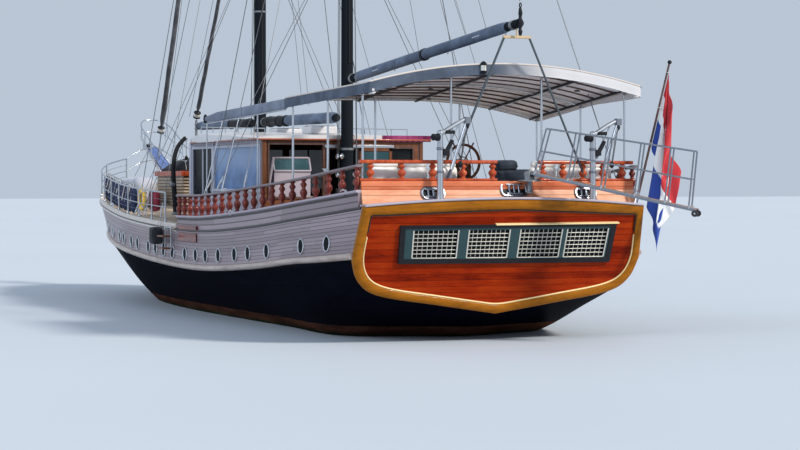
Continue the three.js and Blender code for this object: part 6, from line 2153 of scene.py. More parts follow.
def make_cushions():
    for side, word in SIDES:
        base = Shape()
        low, high = sorted((side * 0.9, side * 3.1))
        base.block(at(0.66, low, 3.0), at(1.38, high, 3.47))
        for k in range(1, 4):
            p = mix(low, high, k / 4)
            base.block(at(1.375, p - 0.02, 3.08), at(1.39, p + 0.02, 3.4))
        node = f"stern_settee_{word}"
        piece(f"settee_base_{word}", base, "brown wood", stands_for=node, bevel=0.01)
        thirds = [(mix(low, high, k / 3) + 0.008, mix(low, high, (k + 1) / 3) - 0.008) for k in range(3)]
        stuffed(f"settee_seats_{word}", [(at(0.84, a, 3.47), at(1.395, b, 3.625)) for a, b in thirds],
                "white cushion", stands_for=node, slot="cushion", radius=0.06, swell=0.014)
        stuffed(f"settee_rolls_{word}", [(at(0.655, a + 0.02, 3.6), at(0.86, b - 0.02, 4.06))
                                         for a, b in thirds], "white cushion", stands_for=node,
                slot="cushion", radius=0.1, swell=0.026, seam=0)


def make_rolls_and_bags():
    heads = []
    for side in (1, -1):
        low, high = sorted((side * 0.92, side * 3.08))
        heads += [(at(0.665, mix(low, high, k / 3) + 0.04, 4.03),
                   at(0.83, mix(low, high, (k + 1) / 3) - 0.04, 4.18)) for k in range(3)]
    stuffed("settee_head_rolls", heads, "white cushion", radius=0.07, swell=0.014, seam=0)
    stuffed("foredeck_sail_bag", [(at(22.4, 1.95, 2.86), at(24.4, 2.75, 3.85))], "pale tarp", radius=0.3,
            swell=0.03)
    stuffed("aft_deck_bundle", [(at(1.25, -1.42, 3.12), at(1.85, -0.36, 3.98)),
                                (at(1.3, -0.92, 3.95), at(1.8, -0.4, 4.2))], "navy cover", radius=0.1,
            swell=0.02)


def make_flag():
    """A limp flag: its hoist is tied to the staff and the rest hangs from there."""
    wide, long = 1.7, 2.8
    rows_u, rows_v = 34, 52
    foot, head = at(0.06, -3.33, 3.0), at(-0.38, -4.02, 6.48)
    way = (foot - head).normalized()
    start = head + way * 0.2
    points = []
    for i in range(rows_v + 1):
        v = i / rows_v
        row = []
        for j in range(rows_u + 1):
            u = j / rows_u
            hoist = start + way * (u * wide) + Vector((0, -0.045, 0))
            reach = v * long
            turn = min(1, v * 5)
            bend = 8 * (0.55 * reach - 0.35 * u * wide)
            fold = Vector((0.45, 0.89, 0)) * 0.2 * math.sin(bend)
            layer = Vector((0.89, -0.45, 0)) * (0.05 * math.cos(bend / 2) - 0.05 * reach)
            swing = (fold + layer + Vector((0, -0.1 * u, 0))) * turn
            row.append(hoist + swing - Vector((0, 0, 0.88 * reach)))
        points.append(row)
    shape = Shape().grid(points, 0, place=lambda i, j: (i / rows_v, j / rows_u))
    made = piece("flag_cloth", shape, "flag bands", ride=False, closed=False, sharp=180, merge=0.00001)
    pins = made.vertex_groups.new(name="hoist")
    pins.add(list(range(rows_u + 1)), 1.0, "REPLACE")
    cover = filling(made, 0)
    cover.settings.vertex_group_mass = "hoist"
    cover.settings.air_damping = 2
    cover.settings.bending_stiffness = 0.4
    for vert, point in zip(made.data.vertices, settled([made], FLAG_FRAMES)[0]):
        vert.co = point
    made.vertex_groups.clear()
    thick = made.modifiers.new("Thickness", "SOLIDIFY")
    thick.thickness = 0.004
    smoothed(made)
    seat(made, "yacht", "flag")
    pole = Shape().tube([foot + way * 0.1, head], 0, 16, 0, [0.032, 0.024])
    pole.ball(head - way * 0.03, 0.05, 1, 14, 10)
    piece("flagstaff_pole", pole, ["dark rail", "black fitting"], stands_for="flagstaff")
    ties = Shape()
    for k in range(3):
        spot = start + way * (0.02 + k * wide / 2)
        ties.ring(spot + Vector((0, -0.015, 0)), 0.045, 0.008, -way, 16, 6)
    piece("flag_toggles", ties, "white rope")
    socket = Shape().turned([(0.075, 0), (0.075, 0.02), (0.05, 0.05), (0.045, 0.28), (0.03, 0.3)],
                            at(0.06, -3.33, 3.08), -way, 16)
    piece("flagstaff_socket", socket, "chrome")


# Fittings at the stern


def make_davits():
    for name, p in (("davit_port", 1.68), ("davit_starboard", -2.18)):
        s, foot, elbow = -0.045, 3.26, 4.81
        body = Shape()
        body.turned([(0.11, 0), (0.11, 0.05), (0.085, 0.06), (0.078, 0.12), (0.075, 0.16), (0.066, 1.6),
                     (0.0, 1.6)], at(s, p, foot), sides=24)
        body.ball(at(s, p, elbow), 0.07, 0, 18, 12)
        arm = spline([at(s, p, elbow - 0.03), at(s, p - 0.4, 5.02), at(s, p - 0.66, 5.12),
                      at(s, p - 0.6, 4.9), at(s, p - 0.4, 4.35), at(s, p - 0.28, 3.98)], 8)
        body.tube(arm, 0, 16, 0, [mix(0.05, 0.04, k / (len(arm) - 1)) for k in range(len(arm))])
        body.block(at(s - 0.07, p - 0.73, 5.03), at(s + 0.07, p - 0.6, 5.18), 1)
        body.tube([at(s, p - 0.09, elbow - 0.56), at(s, p - 0.475, 5.06)], 0.018, 10, 0)
        body.tube([at(s, p - 0.09, elbow - 0.56), at(s, p - 0.27, elbow - 0.27)], 0.034, 14, 1)
        body.turned([(0.074, 0), (0.088, 0.01), (0.088, 0.05), (0.074, 0.06)], at(s, p, 3.9), sides=24,
                    mark=1)
        body.turned([(0.07, 0), (0.082, 0.01), (0.082, 0.06), (0.07, 0.07)], at(s, p, 4.42), sides=24,
                    mark=1)
        for k in range(6):
            a = math.pi * k / 3
            body.turned([(0.012, 0), (0.012, 0.015), (0.006, 0.02)],
                        at(s + 0.096 * math.cos(a), p + 0.096 * math.sin(a), foot + 0.045), sides=8, mark=1)
        piece(f"{name}_arm", body, ["brushed steel", "gangplank steel"], body=name, stands_for=name,
              bevel=0.004)
        tackle = Shape()
        hook = at(s, p - 0.66, 5.03)
        for k in (-1, 1):
            tackle.tube([hook + Vector((0.03 * k, 0, 0)), at(s + 0.02 * k, p - 0.5, 4.1)], 0.01, 6)
        piece(f"{name}_falls", tackle, "dark rope", body=name)
        blocks = Shape()
        for z, shift in ((4.98, 0.655), (4.1, 0.5)):
            blocks.ball(at(s, p - shift, z), 0.06, 0, 12, 8, 1.3)
            blocks.ring(at(s, p - shift, z - 0.075), 0.022, 0.008, (1, 0, 0), 12, 6, 1)
        piece(f"{name}_blocks", blocks, ["black fitting", "chrome"], body=name)
        winch = Shape().turned([(0.06, 0), (0.085, 0.01), (0.085, 0.05), (0.06, 0.07), (0.055, 0.13),
                                (0.08, 0.18), (0.03, 0.2)], at(s - 0.03, p + 0.06, elbow - 0.1),
                               (-0.5, 0.86, 0), 18)
        piece(f"{name}_winch", winch, "black fitting", body=name)
        ram = Shape().tube([at(s - 0.01, p - 0.1, elbow - 0.5), at(s - 0.01, p - 0.3, elbow - 0.16)], 0.048,
                           14)
        ram.block(at(s - 0.06, p - 0.2, elbow - 0.5), at(s + 0.06, p - 0.06, elbow - 0.36))
        ram.block(at(s - 0.075, p - 0.34, elbow - 0.02), at(s + 0.075, p - 0.12, elbow + 0.06))
        piece(f"{name}_ram", ram, "black fitting", body=name, bevel=0.008)


PASSERELLE = {"s": -0.06, "p": -0.55, "z": 3.88, "tip": (-2.5, -3.54, 3.03), "width": 0.46, "thick": 0.07}


def passerelle_place():
    """Places on the gangplank: how far out, how far across and how far above it."""
    origin = at(PASSERELLE["s"], PASSERELLE["p"], PASSERELLE["z"])
    way = at(*PASSERELLE["tip"]) - origin
    length = way.length
    way.normalize()
    flat = Vector((way.x, way.y, 0)).normalized()
    across = Vector((-flat.y, flat.x, 0))
    up = way.cross(across)
    if up.z < 0:
        up.negate()

    def put(out, side, rise):
        return origin + way * out + across * side + up * rise

    return put, across, up, length, flat


def make_passerelle():
    put, across, up, length, flat = passerelle_place()
    half, thick = PASSERELLE["width"] / 2, PASSERELLE["thick"]
    frame_shape = Shape()

    def beam(a, b, u0, u1, v0, v1):
        rows = [[put(l, u, v) for u, v in rounded(u0, u1, v0, v1, 0.008, 2)] for l in (a, b)]
        frame_shape.grid(rows, 0, True, True)

    for side in (-1, 1):
        edge = sorted((side * half, side * (half - 0.035)))
        beam(0.13, length, edge[0], edge[1], 0, thick)
    for l in steps_between(0.16, length - 0.05, 8):
        beam(l - 0.02, l + 0.02, -half + 0.03, half - 0.03, 0.004, 0.05)
    frame_shape.tube([put(0, -half + 0.04, 0), put(0, half - 0.04, 0)], 0.058, 18)
    for side in (-0.06, 0.06):
        frame_shape.tube([put(0, side, 0), put(0.2, side, 0.03)], 0.04, 12)
    piece("passerelle_frame", frame_shape, "gangplank steel", body="passerelle", stands_for="passerelle",
          bevel=0.003)
    planks = Shape()
    edges = steps_between(0.14, length - 0.02, 40)
    for l0, l1 in zip(edges, edges[1:]):
        rows = [[put(l, u, v) for u, v in rounded(-half + 0.036, half - 0.036, 0.05, thick - 0.004, 0.004,
                                                  1)] for l in (l0 + 0.004, l1 - 0.004)]
        planks.grid(rows, 0, True, True)
    piece("passerelle_slats", planks, "oiled teak", body="passerelle", stands_for="passerelle")
    wheels = Shape()
    wheels.tube([put(length, -half - 0.01, -0.04), put(length, half + 0.01, -0.04)], 0.02, 12, 1)
    for side in (-1, 1):
        wheels.tube([put(length, side * (half + 0.008), -0.04), put(length, side * (half - 0.06), -0.04)],
                    0.074, 24, 0)
    piece("passerelle_wheels", wheels, ["black rubber", "chrome"], body="passerelle",
          stands_for="passerelle")
    rails, wires, feet = [], [], []
    for side in (-1, 1):
        edge = side * (half - 0.022)
        ends = [0.04 * length, 0.96 * length]

        def rise(l):
            return mix(1.1, 1.33, l / length)

        def lean(l):
            return 0.16 * l / length - 0.1 * max(0, 1 - l / length * 10)

        for share in (0.04, 0.24, 0.44, 0.64, 0.82, 0.96):
            l = share * length
            rails.append([put(l, edge, thick / 2), put(l - lean(l), edge, rise(l))])
            feet.append((put(l, edge, thick), Vector((0, 0, 1)).rotation_difference(up).to_euler(),
                         (1, 1, 1)))
        rails.append([put(l - lean(l), edge, rise(l)) for l in ends])
        wires.append([put(l - lean(l) / 2, edge, rise(l) * 0.52) for l in ends])
    bars("passerelle_rails", rails, 0.019, "gangplank steel", body="passerelle", sides=10,
         stands_for="passerelle")
    bars("passerelle_lines", wires, 0.013, "gangplank steel", body="passerelle", sides=8)
    socket = Shape().turned([(0.028, -0.03), (0.028, 0.05), (0.02, 0.055)], (0, 0, 0), sides=12)
    repeated("passerelle_sockets", socket, feet, "brushed steel", body="passerelle")
    pivot = at(PASSERELLE["s"], PASSERELLE["p"], PASSERELLE["z"])
    table = Shape()
    table.turned([(0.085, 3.4403), (0.085, 3.475), (0.07, 3.49), (0.06, 3.53), (0.06, 3.745)],
                 at(PASSERELLE["s"], PASSERELLE["p"], 0), sides=24)
    table.turned([(0.27, 3.71), (0.27, 3.745), (0.262, 3.75)], at(PASSERELLE["s"], PASSERELLE["p"], 0),
                 sides=36)
    turn = Vector((1, 0, 0)).rotation_difference(flat).to_matrix()
    for side in (-1, 1):
        a, b = pivot + across * side * (half - 0.0397), pivot + across * side * (half + 0.02)
        table.tube([a, b], 0.07, 20)
        table.tube([b, b + across * side * 0.012], 0.03, 12)
        middle = pivot + across * side * (half - 0.01) - Vector((0, 0, 0.08))
        table.block(middle - Vector((0.055, 0.0297, 0.075)), middle + Vector((0.055, 0.0297, 0.075)), 0,
                    turn, middle)
    for k in range(8):
        a = math.pi * k / 4
        table.turned([(0.012, 0), (0.012, 0.012)],
                     at(PASSERELLE["s"] + 0.2 * math.cos(a), PASSERELLE["p"] + 0.2 * math.sin(a), 3.748),
                     sides=8)
    piece("passerelle_turning_base", table, "grey metal", body="turntable",
          stands_for="passerelle_turntable", bevel=0.004)


def make_helm():
    s, p, z, radius = 3.4, -0.4, 4.18, 0.43
    wheel = Shape()
    centre = at(s, p, z)
    rows = []
    for i in range(49):
        a = 2 * math.pi * i / 48
        out = Vector((0, math.cos(a), math.sin(a)))
        rows.append([centre + out * (radius + u) + Vector((v, 0, 0))
                     for u, v in rounded(-0.032, 0.032, -0.028, 0.028, 0.012, 2)])
    wheel.grid(rows, 0, True)
    wheel.ring(centre, 0.13, 0.014, (1, 0, 0), 28, 8, 1)
    wheel.turned([(0.068, -0.06), (0.07, -0.04), (0.045, -0.03), (0.045, 0.03), (0.07, 0.04),
                  (0.068, 0.06)], centre, (1, 0, 0), 20, 1)
    handle = [(0.017, 0.05), (0.015, 0.13), (0.02, 0.17), (0.013, 0.24), (0.017, 0.32), (0.012, 0.4),
              (0.012, 0.45), (0.02, 0.47), (0.018, 0.5), (0.022, 0.53), (0.012, 0.56)]
    for k in range(6):
        a = math.pi * k / 3
        wheel.turned(handle, centre, (0, math.cos(a), math.sin(a)), 12)
    piece("helm_wheel_rim", wheel, ["brown wood", "bronze"], body="helm", stands_for="helm_wheel",
          bevel=0.002)
    column = Shape()
    foot = deck_top(3.6, p)
    column.block(at(3.4603, p - 0.24, foot - 0.02), at(3.86, p + 0.24, 4.12))
    column.block(at(3.4603, p - 0.23, 4.12), at(3.86, p + 0.23, 4.16), 1)
    column.block(at(3.49, p - 0.2, foot + 0.2), at(3.4602, p + 0.2, foot + 1.0), 1)
    column.turned([(0.055, 0), (0.055, 0.02)], at(3.461, p, z), (1, 0, 0), 20)
    piece("helm_column", column, ["brown wood", "dark rail"], stands_for="helm_pedestal",
          bevel=0.012)
    compass = Shape()
    compass.turned([(0.13, 0), (0.14, 0.02), (0.12, 0.05), (0.12, 0.07)], at(3.66, p, 4.16), sides=28)
    piece("binnacle_ring", compass, "bronze")
    dome = Shape().turned([(0.118, 0.065), (0.11, 0.085), (0.07, 0.1), (0.0, 0.107)], at(3.66, p, 4.16),
                          sides=28)
    piece("binnacle_glass", dome, "dark glass")
    levers = Shape()
    for side in (-1, 1):
        levers.tube([at(3.72, p + side * 0.19, 4.15), at(3.66, p + side * 0.2, 4.24)], 0.009, 8)
        levers.ball(at(3.655, p + side * 0.2, 4.245), 0.02, 0, 12, 8)
    piece("engine_levers", levers, "chrome")


def make_stern_fittings():
    corner = 0.08
    lead = Shape()
    for p, z, wide, high in ((-0.248, 3.54, 0.3, 0.13), (1.76, 3.45, 0.25, 0.1), (-2.12, 3.45, 0.25, 0.1)):

        def on_panel(x, y, proud):
            lean = (z + y - STERN["foot"] + 0.25) / (STERN["sill"] - STERN["foot"] + 0.25) * STERN["lean"]
            return at(stern_s(p + x, lean) - proud, p + x, z + y)

        def tapered(reach):
            return rounded(-wide - reach, wide + reach, -high - reach, high + reach, corner + reach, 7)

        rings = [[on_panel(x, y, proud) for x, y in tapered(reach)] for reach, proud in
                 ((0.045, 0.0), (0.045, 0.03), (0.03, 0.048), (0.0, 0.05), (-0.012, 0.04), (-0.012, 0.0))]
        lead.grid(rings, 0, True)
        # Painted shade: a black sheet fills each opening, for the dark hole through the panel.
        lead.grid([[on_panel(x * t, y * t, 0.014) for x, y in tapered(-0.01)] for t in (1, 0.02)], 1, True,
                  True)
        for x in (-0.12, 0.0, 0.12):
            lead.tube([on_panel(x, -high * 0.8, 0.035), on_panel(x, high * 0.8, 0.035)], 0.026, 16)
        for y in (-high * 0.8, high * 0.8):
            lead.tube([on_panel(-0.2, y, 0.05), on_panel(0.2, y, 0.05)], 0.022, 12)
    piece("stern_fairleads", lead, ["gangplank steel", "black fitting"])
    fairleads = Shape()
    for side in (1, -1):
        for s in (1.1, 8.6, 21.5):
            z_ = deck_z(s) + (0.42 if s < 13 else 0.2)
            y = deck_half(s) - (0.03 if s < 13 else 0.0)
            centre = at(s, side * y, z_)
            rows = []
            for i in range(29):
                a = 2 * math.pi * i / 28
                rows.append([centre + Vector((math.cos(a) * (0.15 + 0.028 * math.cos(b)),
                                              side * 0.03 * math.sin(b),
                                              math.sin(a) * (0.055 + 0.028 * math.cos(b))))
                             for b in [2 * math.pi * k / 8 for k in range(8)]])
            fairleads.grid(rows, 0, True)
    piece("side_fairleads", fairleads, "chrome")
    cleats = Shape()
    spots = []
    for side in (1, -1):
        for s in (2.2, 9.2):
            spots.append((s, side * (deck_half(s) - 0.065), rail_z(s)))
        for s in (15.0, 21.0, 25.6):
            spots.append((s, side * (deck_half(s) - 0.32), deck_top(s, deck_half(s) - 0.32)))
    for s, p, z in spots:
        for shift in (-0.05, 0.05):
            cleats.tube([at(s + shift, p, z - 0.005), at(s + shift, p, z + 0.06)], 0.016, 8)
        cleats.tube([at(s - 0.17, p, z + 0.075), at(s - 0.08, p, z + 0.062), at(s + 0.08, p, z + 0.062),
                     at(s + 0.17, p, z + 0.075)], 0, 10, 0, [0.01, 0.02, 0.02, 0.01])
    piece("cleats", cleats, "chrome")
    boards = Shape()
    for low, high_ in ((2.39, 2.5), (2.06, 2.3)):
        rows = []
        for s in steps_between(11.35, 13.0, 6):
            half = deck_half(s) - 0.01
            rows.append([at(s, half + u, v) for u, v in rounded(-0.05, 0.045, low, high_, 0.012)])
        boards.grid(rows, 0, True, True)
    piece("side_boards", boards, "mahogany", sharp=40)


# Deck gear


def make_trunk():
    aft, front, half, top = 21.3, 24.3, 1.45, 4.05
    body = Shape()
    body.block(at(aft, -half, 2.75), at(front, half, top - 0.15))
    piece("trunk_walls", body, "brown wood", stands_for="foredeck_trunk", bevel=0.008)
    battens_ = Shape().block((-0.5, -0.02, -0.028), (0.5, 0.02, 0.028))
    places = []
    for k in range(9):
        z = mix(3.0, 3.8, k / 8)
        for side in (1, -1):
            places.append((at((aft + front) / 2, side * (half + 0.012), z), (0, 0, 0), (front - aft, 1, 1)))
            s = aft - 0.012 if side > 0 else front + 0.012
            places.append((at(s, 0, z), (0, 0, math.pi / 2), (2 * half, 1, 1)))
    repeated("trunk_slats", battens_, places, "pale slats")
    coaming = Shape()
    for a, b, c, d in ((aft - 0.09, front + 0.09, -half - 0.09, -half + 0.03),
                       (aft - 0.09, front + 0.09, half - 0.03, half + 0.09),
                       (aft - 0.09, aft + 0.03, -half, half), (front - 0.03, front + 0.09, -half, half)):
        coaming.block(at(a, c, top - 0.16), at(b, d, top))
    coaming.block(at(aft, -half, top - 0.06), at(front, half, top - 0.003), 1)
    piece("trunk_coaming", coaming, ["bright mahogany", "oiled teak"], stands_for="foredeck_trunk",
          bevel=0.012)
    lid = Shape().block(at(21.6, -0.48, top + 0.0003), at(22.5, 0.48, top + 0.055))
    for side in (-1, 1):
        lid.block(at(21.62, side * 0.44 - 0.03, top + 0.055), at(22.48, side * 0.44 + 0.03, top + 0.08), 1)
        lid.block(at(22.05 + side * 0.41 - 0.03, -0.41, top + 0.055),
                  at(22.05 + side * 0.41 + 0.03, 0.41, top + 0.08), 1)
    piece("hatch_lid_boards", lid, ["oiled teak", "bright mahogany"], body="hatch", stands_for="hatch_lid",
          bevel=0.006)
    glass_ = Shape().block(at(21.7, -0.38, top + 0.05), at(22.4, 0.38, top + 0.062))
    piece("hatch_lid_glass", glass_, "dark glass", body="hatch")
    knobs = Shape()
    for side in (-1, 1):
        knobs.tube([at(21.66, side * 0.3, top + 0.075), at(21.66, side * 0.3 + 0.02, top + 0.105),
                    at(21.66, side * 0.3 + 0.1, top + 0.105), at(21.66, side * 0.3 + 0.12, top + 0.075)],
                   0.01, 8)
    piece("hatch_lid_handles", knobs, "chrome", body="hatch")


def make_locker_cover():
    half, top, front = 1.45, 4.05, 24.3
    rows = [(-1.45, 0.1), (-1.42, 0.45), (-1.25, 0.9), (-0.75, 1.0), (-0.25, 0.92), (-0.08, 0.5),
            (-0.06, 0.1)]
    rings = []
    for spot in spline([(back, share, 0) for back, share in rows], 4):
        back, share = spot.x, spot.y
        ring = []
        for k in range(41):
            u = k / 40 * 2 - 1
            p = u * (half - 0.09) * (1 - 0.02 * abs(u))
            lift = 0.45 * share * (1 - abs(u) ** 3.2 * 0.85)
            rumple = 0.02 * noise.noise(Vector((back * 3, u * 4, 1.7))) * min(1, share * 2)
            ring.append(at(front + back, p, top + 0.004 + max(lift + rumple, 0.006)))
        ring += [at(front + back, half - 0.09, top + 0.002), at(front + back, -half + 0.09, top + 0.002)]
        rings.append(ring)
    cover = piece("locker_cover_canvas", Shape().grid(rings, 0, True, True), "dark canvas",
                  stands_for="locker_cover", sharp=70)
    lash = []
    for p in (-0.9, 0.0, 0.9):
        line = []
        for back, share in rows:
            u = p / (half - 0.09)
            line.append(at(front + back, p, top + 0.018 + 0.45 * share * (1 - abs(u) ** 3.2 * 0.85)))
        lash.append([Vector(v) for v in spline(line, 4)])
    bars("locker_lashings", lash, 0.009, "white rope", sides=6)


def make_crane():
    s, p, pad = 18.35, 2.55, 2.7
    rows = [(0, 0, 2.74), (0.03, 0.05, 3.5), (0.06, 0.06, 4.2), (0.09, -0.06, 4.72), (0.11, -0.33, 5.05)]
    arm = Shape().turned([(0.13, 0.0003), (0.13, 0.05), (0.1, 0.06), (0.066, 0.11), (0.06, 0.14)],
                         at(s, p, pad), sides=20, mark=1)
    line = spline([at(s + forward, p + outboard, z) for forward, outboard, z in rows], 8)
    arm.tube(line, 0, 16, 0, [mix(0.082, 0.06, k / (len(line) - 1)) for k in range(len(line))])
    tip = line[-1]
    arm.ring(tip + Vector((0, -0.02, -0.05)), 0.04, 0.012, (1, 0, 0), 16, 6, 1)
    arm.turned([(0.07, 0), (0.09, 0.01), (0.09, 0.12), (0.06, 0.15)], at(s + 0.04, p + 0.03, 3.62),
               (0, 1, 0), 16, 1)
    piece("crane_arm", arm, ["black fitting", "grey metal"], body="crane", stands_for="deck_crane",
          bevel=0.003)
    hook = tip + Vector((0, -0.03, -0.62))
    fall = [[tip + Vector((0, -0.02, -0.06)), hook + Vector((0, 0, 0.04))],
            [at(s + 0.04, p + 0.19, 3.72), tip + Vector((0, 0, 0.05))]]
    bars("crane_fall", fall, 0.008, "dark rope", body="crane", sides=6)
    block_ = Shape().ball(hook, 0.055, 0, 12, 8, 1.3).ring(hook - Vector((0, 0, 0.09)), 0.03, 0.01,
                                                           (0, 1, 0), 14, 6, 1)
    piece("crane_hook", block_, ["black fitting", "chrome"], body="crane")


def make_fenders():
    feet = []
    for k in range(8):
        s = mix(18.9, 23.6, k / 7)
        feet.append(at(s, deck_half(s) - 0.2, deck_z(s) + 0.15))
    body = [(0.02, 0), (0.045, 0.004), (0.045, 0.03), (0.08, 0.05), (0.102, 0.1), (0.105, 0.2),
            (0.105, 0.58), (0.1, 0.67), (0.075, 0.73), (0.045, 0.75), (0.045, 0.79), (0.02, 0.8)]
    sleeve = repeated("fender_bodies", Shape().turned(body, (0, 0, 0), sides=20),
                      [(foot, (0.03 * math.sin(k * 2.1), 0.03 * math.cos(k * 1.7), k), (1, 1, 1))
                       for k, foot in enumerate(feet)], "fender cover", stands_for="fender_row")
    lift = Vector((0, 0, 0.88))
    rail = [[foot + lift for foot in feet]]
    for foot in (feet[0], feet[3], feet[-1]):
        rail.append([foot - Vector((0, 0, 0.4)), foot + lift])
    bars("fender_rack", rail, 0.02, "brushed steel", sides=10, stands_for="fender_row")
    ropes = []
    for k, foot in enumerate(feet):
        sway = Vector((0.09 * math.sin(k * 1.9), 0.02, 0))
        ropes.append([foot + Vector((0, 0, 0.78)), foot + lift])
        ropes.append([foot + lift + sway + Vector((0, 0, 0.01)),
                      foot + sway * 1.4 + Vector((0, 0.11, 0.3))])
        ropes.append([foot + lift - sway, foot - sway * 1.2 + Vector((0, 0.115, 0.42))])
    bars("fender_lanyards", ropes, 0.01, "white rope", sides=6)


def make_lifebuoys():
    s = 17.35
    p, z = deck_half(s) - 0.02, deck_z(s) + 0.66
    ring_ = Shape().ring(at(s, p - 0.06, z), 0.27, 0.07, (0, 1, 0), 36, 12, flat=0.8)
    made = piece("lifebuoy", ring_, "yellow foam")
    bands = Shape()
    for k in range(4):
        a = math.pi * (0.25 + k / 2)
        centre = at(s + math.cos(a) * 0.27, p - 0.06, z + math.sin(a) * 0.27)
        way = Vector((-math.sin(a), 0, math.cos(a)))
        bands.ring(centre, 0.074, 0.008, way, 18, 6, flat=5)
    piece("lifebuoy_bands", bands, "white rope")
    line = [at(s + math.cos(a) * (0.35 + 0.02 * math.sin(a * 4) ** 2), p - 0.06,
               z + math.sin(a) * (0.35 + 0.02 * math.sin(a * 4) ** 2))
            for a in steps_between(0, 2 * math.pi, 48)]
    bars("lifebuoy_line", [line], 0.008, "white rope", sides=6)
    s2 = 16.25
    low = at(s2 - 0.26, deck_half(s2) - 0.3, deck_z(s2) + 0.36)
    high = at(s2 + 0.26, deck_half(s2) - 0.08, deck_z(s2) + 0.94)
    stuffed("life_jacket_bag", [(low, high)], "maroon bag", radius=0.09, swell=0.02, seam=1)
    straps = []
    for shift in (-0.12, 0.12):
        x = low.x + 0.26 + shift
        straps.append([Vector((x, high.y + 0.02, low.z + 0.05)), Vector((x, high.y + 0.02, high.z - 0.02)),
                       Vector((x, (low.y + high.y) / 2, deck_z(s2) + TOE_HEIGHT + FORE_RAIL["height"]))])
    bars("bag_straps", straps, 0.012, "dark canvas", sides=6)


def make_ladder():
    aft, front, p, top, foot = 13.45, 14.05, 4.075, 2.42, 1.78
    frame_shape = Shape()
    for s in (aft, front - 0.045):
        frame_shape.block(at(s, p, foot), at(s + 0.045, p + 0.05, top))
    frame_shape.tube([at(aft, p + 0.025, top), at(front, p + 0.025, top)], 0.034, 16)
    piece("ladder_frame", frame_shape, "brushed steel", body="ladder", stands_for="boarding_ladder",
          bevel=0.006)
    treads = Shape()
    for z in (foot + 0.04, top - 0.26):
        for j in range(4):
            a = p + 0.003 + j * 0.07
            treads.block(at(aft + 0.004, a, z), at(front - 0.004, a + 0.062, z + 0.045))
    piece("ladder_treads", treads, "brown wood", body="ladder", stands_for="boarding_ladder",
          bevel=0.006)


def make_side_fender():
    s0, s1, p = 14.5, 14.95, 4.05
    stuffed("side_fender_pad", [(at(s0 + 0.01, p - 0.01, 1.94), at(s1 - 0.01, p + 0.29, 2.41))],
            "black cover", stands_for="side_fender", slot="fender_rubber", radius=0.05, swell=0.012)
    ropes = [[at(s, p + 0.1, 2.38), at(s, p - 0.01, 2.62), at(s, p - 0.14, 2.74)]
             for s in (s0 + 0.1, s1 - 0.1)]
    bars("side_fender_ropes", ropes, 0.01, "white rope", sides=6)


def make_windlass():
    body = Shape()
    s, z = 26.2, deck_top(26.2, 0)
    body.block(at(s - 0.3, -0.28, z), at(s + 0.3, 0.28, z + 0.14))
    body.block(at(s - 0.16, -0.18, z + 0.14), at(s + 0.16, 0.18, z + 0.42))
    for side in (1, -1):
        body.turned([(0.05, 0.17), (0.1, 0.18), (0.14, 0.22), (0.1, 0.27), (0.14, 0.32), (0.1, 0.36),
                     (0.08, 0.46), (0.11, 0.5), (0.04, 0.52)], at(s, 0, z + 0.28), (0, side, 0), 20, 1)
    piece("windlass", body, ["grey metal", "chrome"], bevel=0.012)
    links = []
    for k in range(26):
        t = k / 25
        x = mix(s + 0.3, 29.6, t)
        surface_ = deck_top(x, 0.22) + 0.03 if x < 27.0 else sprit_top(x) + 0.02
        links.append((at(x, 0.2, surface_), (0 if k % 2 else math.pi / 2, 0, 0), (1, 1, 1)))
    link_ = Shape().ring((0, 0, 0), 0.05, 0.012, (0, 0, 1), 12, 6)
    link_.points = [(x * 1.7, y * 0.75, z_) for x, y, z_ in link_.points]
    repeated("anchor_chain", link_, links, "grey metal")
    roller = Shape()
    for side in (-0.08, 0.08):
        roller.block(at(30.0, 0.2 + side - 0.012, sprit_top(30.2) - 0.02),
                     at(30.42, 0.2 + side + 0.012, sprit_top(30.2) + 0.18))
    roller.tube([at(30.3, 0.11, sprit_top(30.3) + 0.06), at(30.3, 0.29, sprit_top(30.3) + 0.06)], 0.05, 14,
                1)
    piece("anchor_roller", roller, ["brushed steel", "black rubber"], bevel=0.004)


def make_underwater():
    """Finishes for the solids that stay, and anodes."""
    for node, finish in (("keel", "painted bottom"), ("rudder", "painted bottom"), ("propeller", "bronze")):
        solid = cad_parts[node]
        solid.data.materials.clear()
        solid.data.materials.append(FINISHES[finish])
    anodes = Shape()
    for side in (1, -1):
        anodes.block(at(8.4, side * 0.14, -2.1), at(8.9, side * 0.175, -2.02))
    piece("anodes", anodes, "grey metal", bevel=0.008)


# Stage

FLOOR_HALF = 420


def make_camera():
    data = bpy.data.cameras.new("view")
    data.sensor_width = 36
    data.lens = CAMERA["lens"]
    data.shift_y = CAMERA["shift"]
    data.clip_end = 2000
    camera = bare_object("view", data)
    camera.location = at(CAMERA["s"], CAMERA["p"], CAMERA["z"])
    camera.rotation_euler = Vector(CAMERA["way"]).to_track_quat("-Z", "Y").to_euler()
    bpy.context.scene.camera = camera


def make_sun(name, energy, colour, way, angle):
    """A sun that shines along a way, over an angle in degrees."""
    data = bpy.data.lights.new(name, "SUN")
    data.energy = energy
    data.color = colour
    data.angle = math.radians(angle)
    lamp = bare_object(name, data)
    lamp.rotation_euler = Vector(way).to_track_quat("-Z", "Y").to_euler()


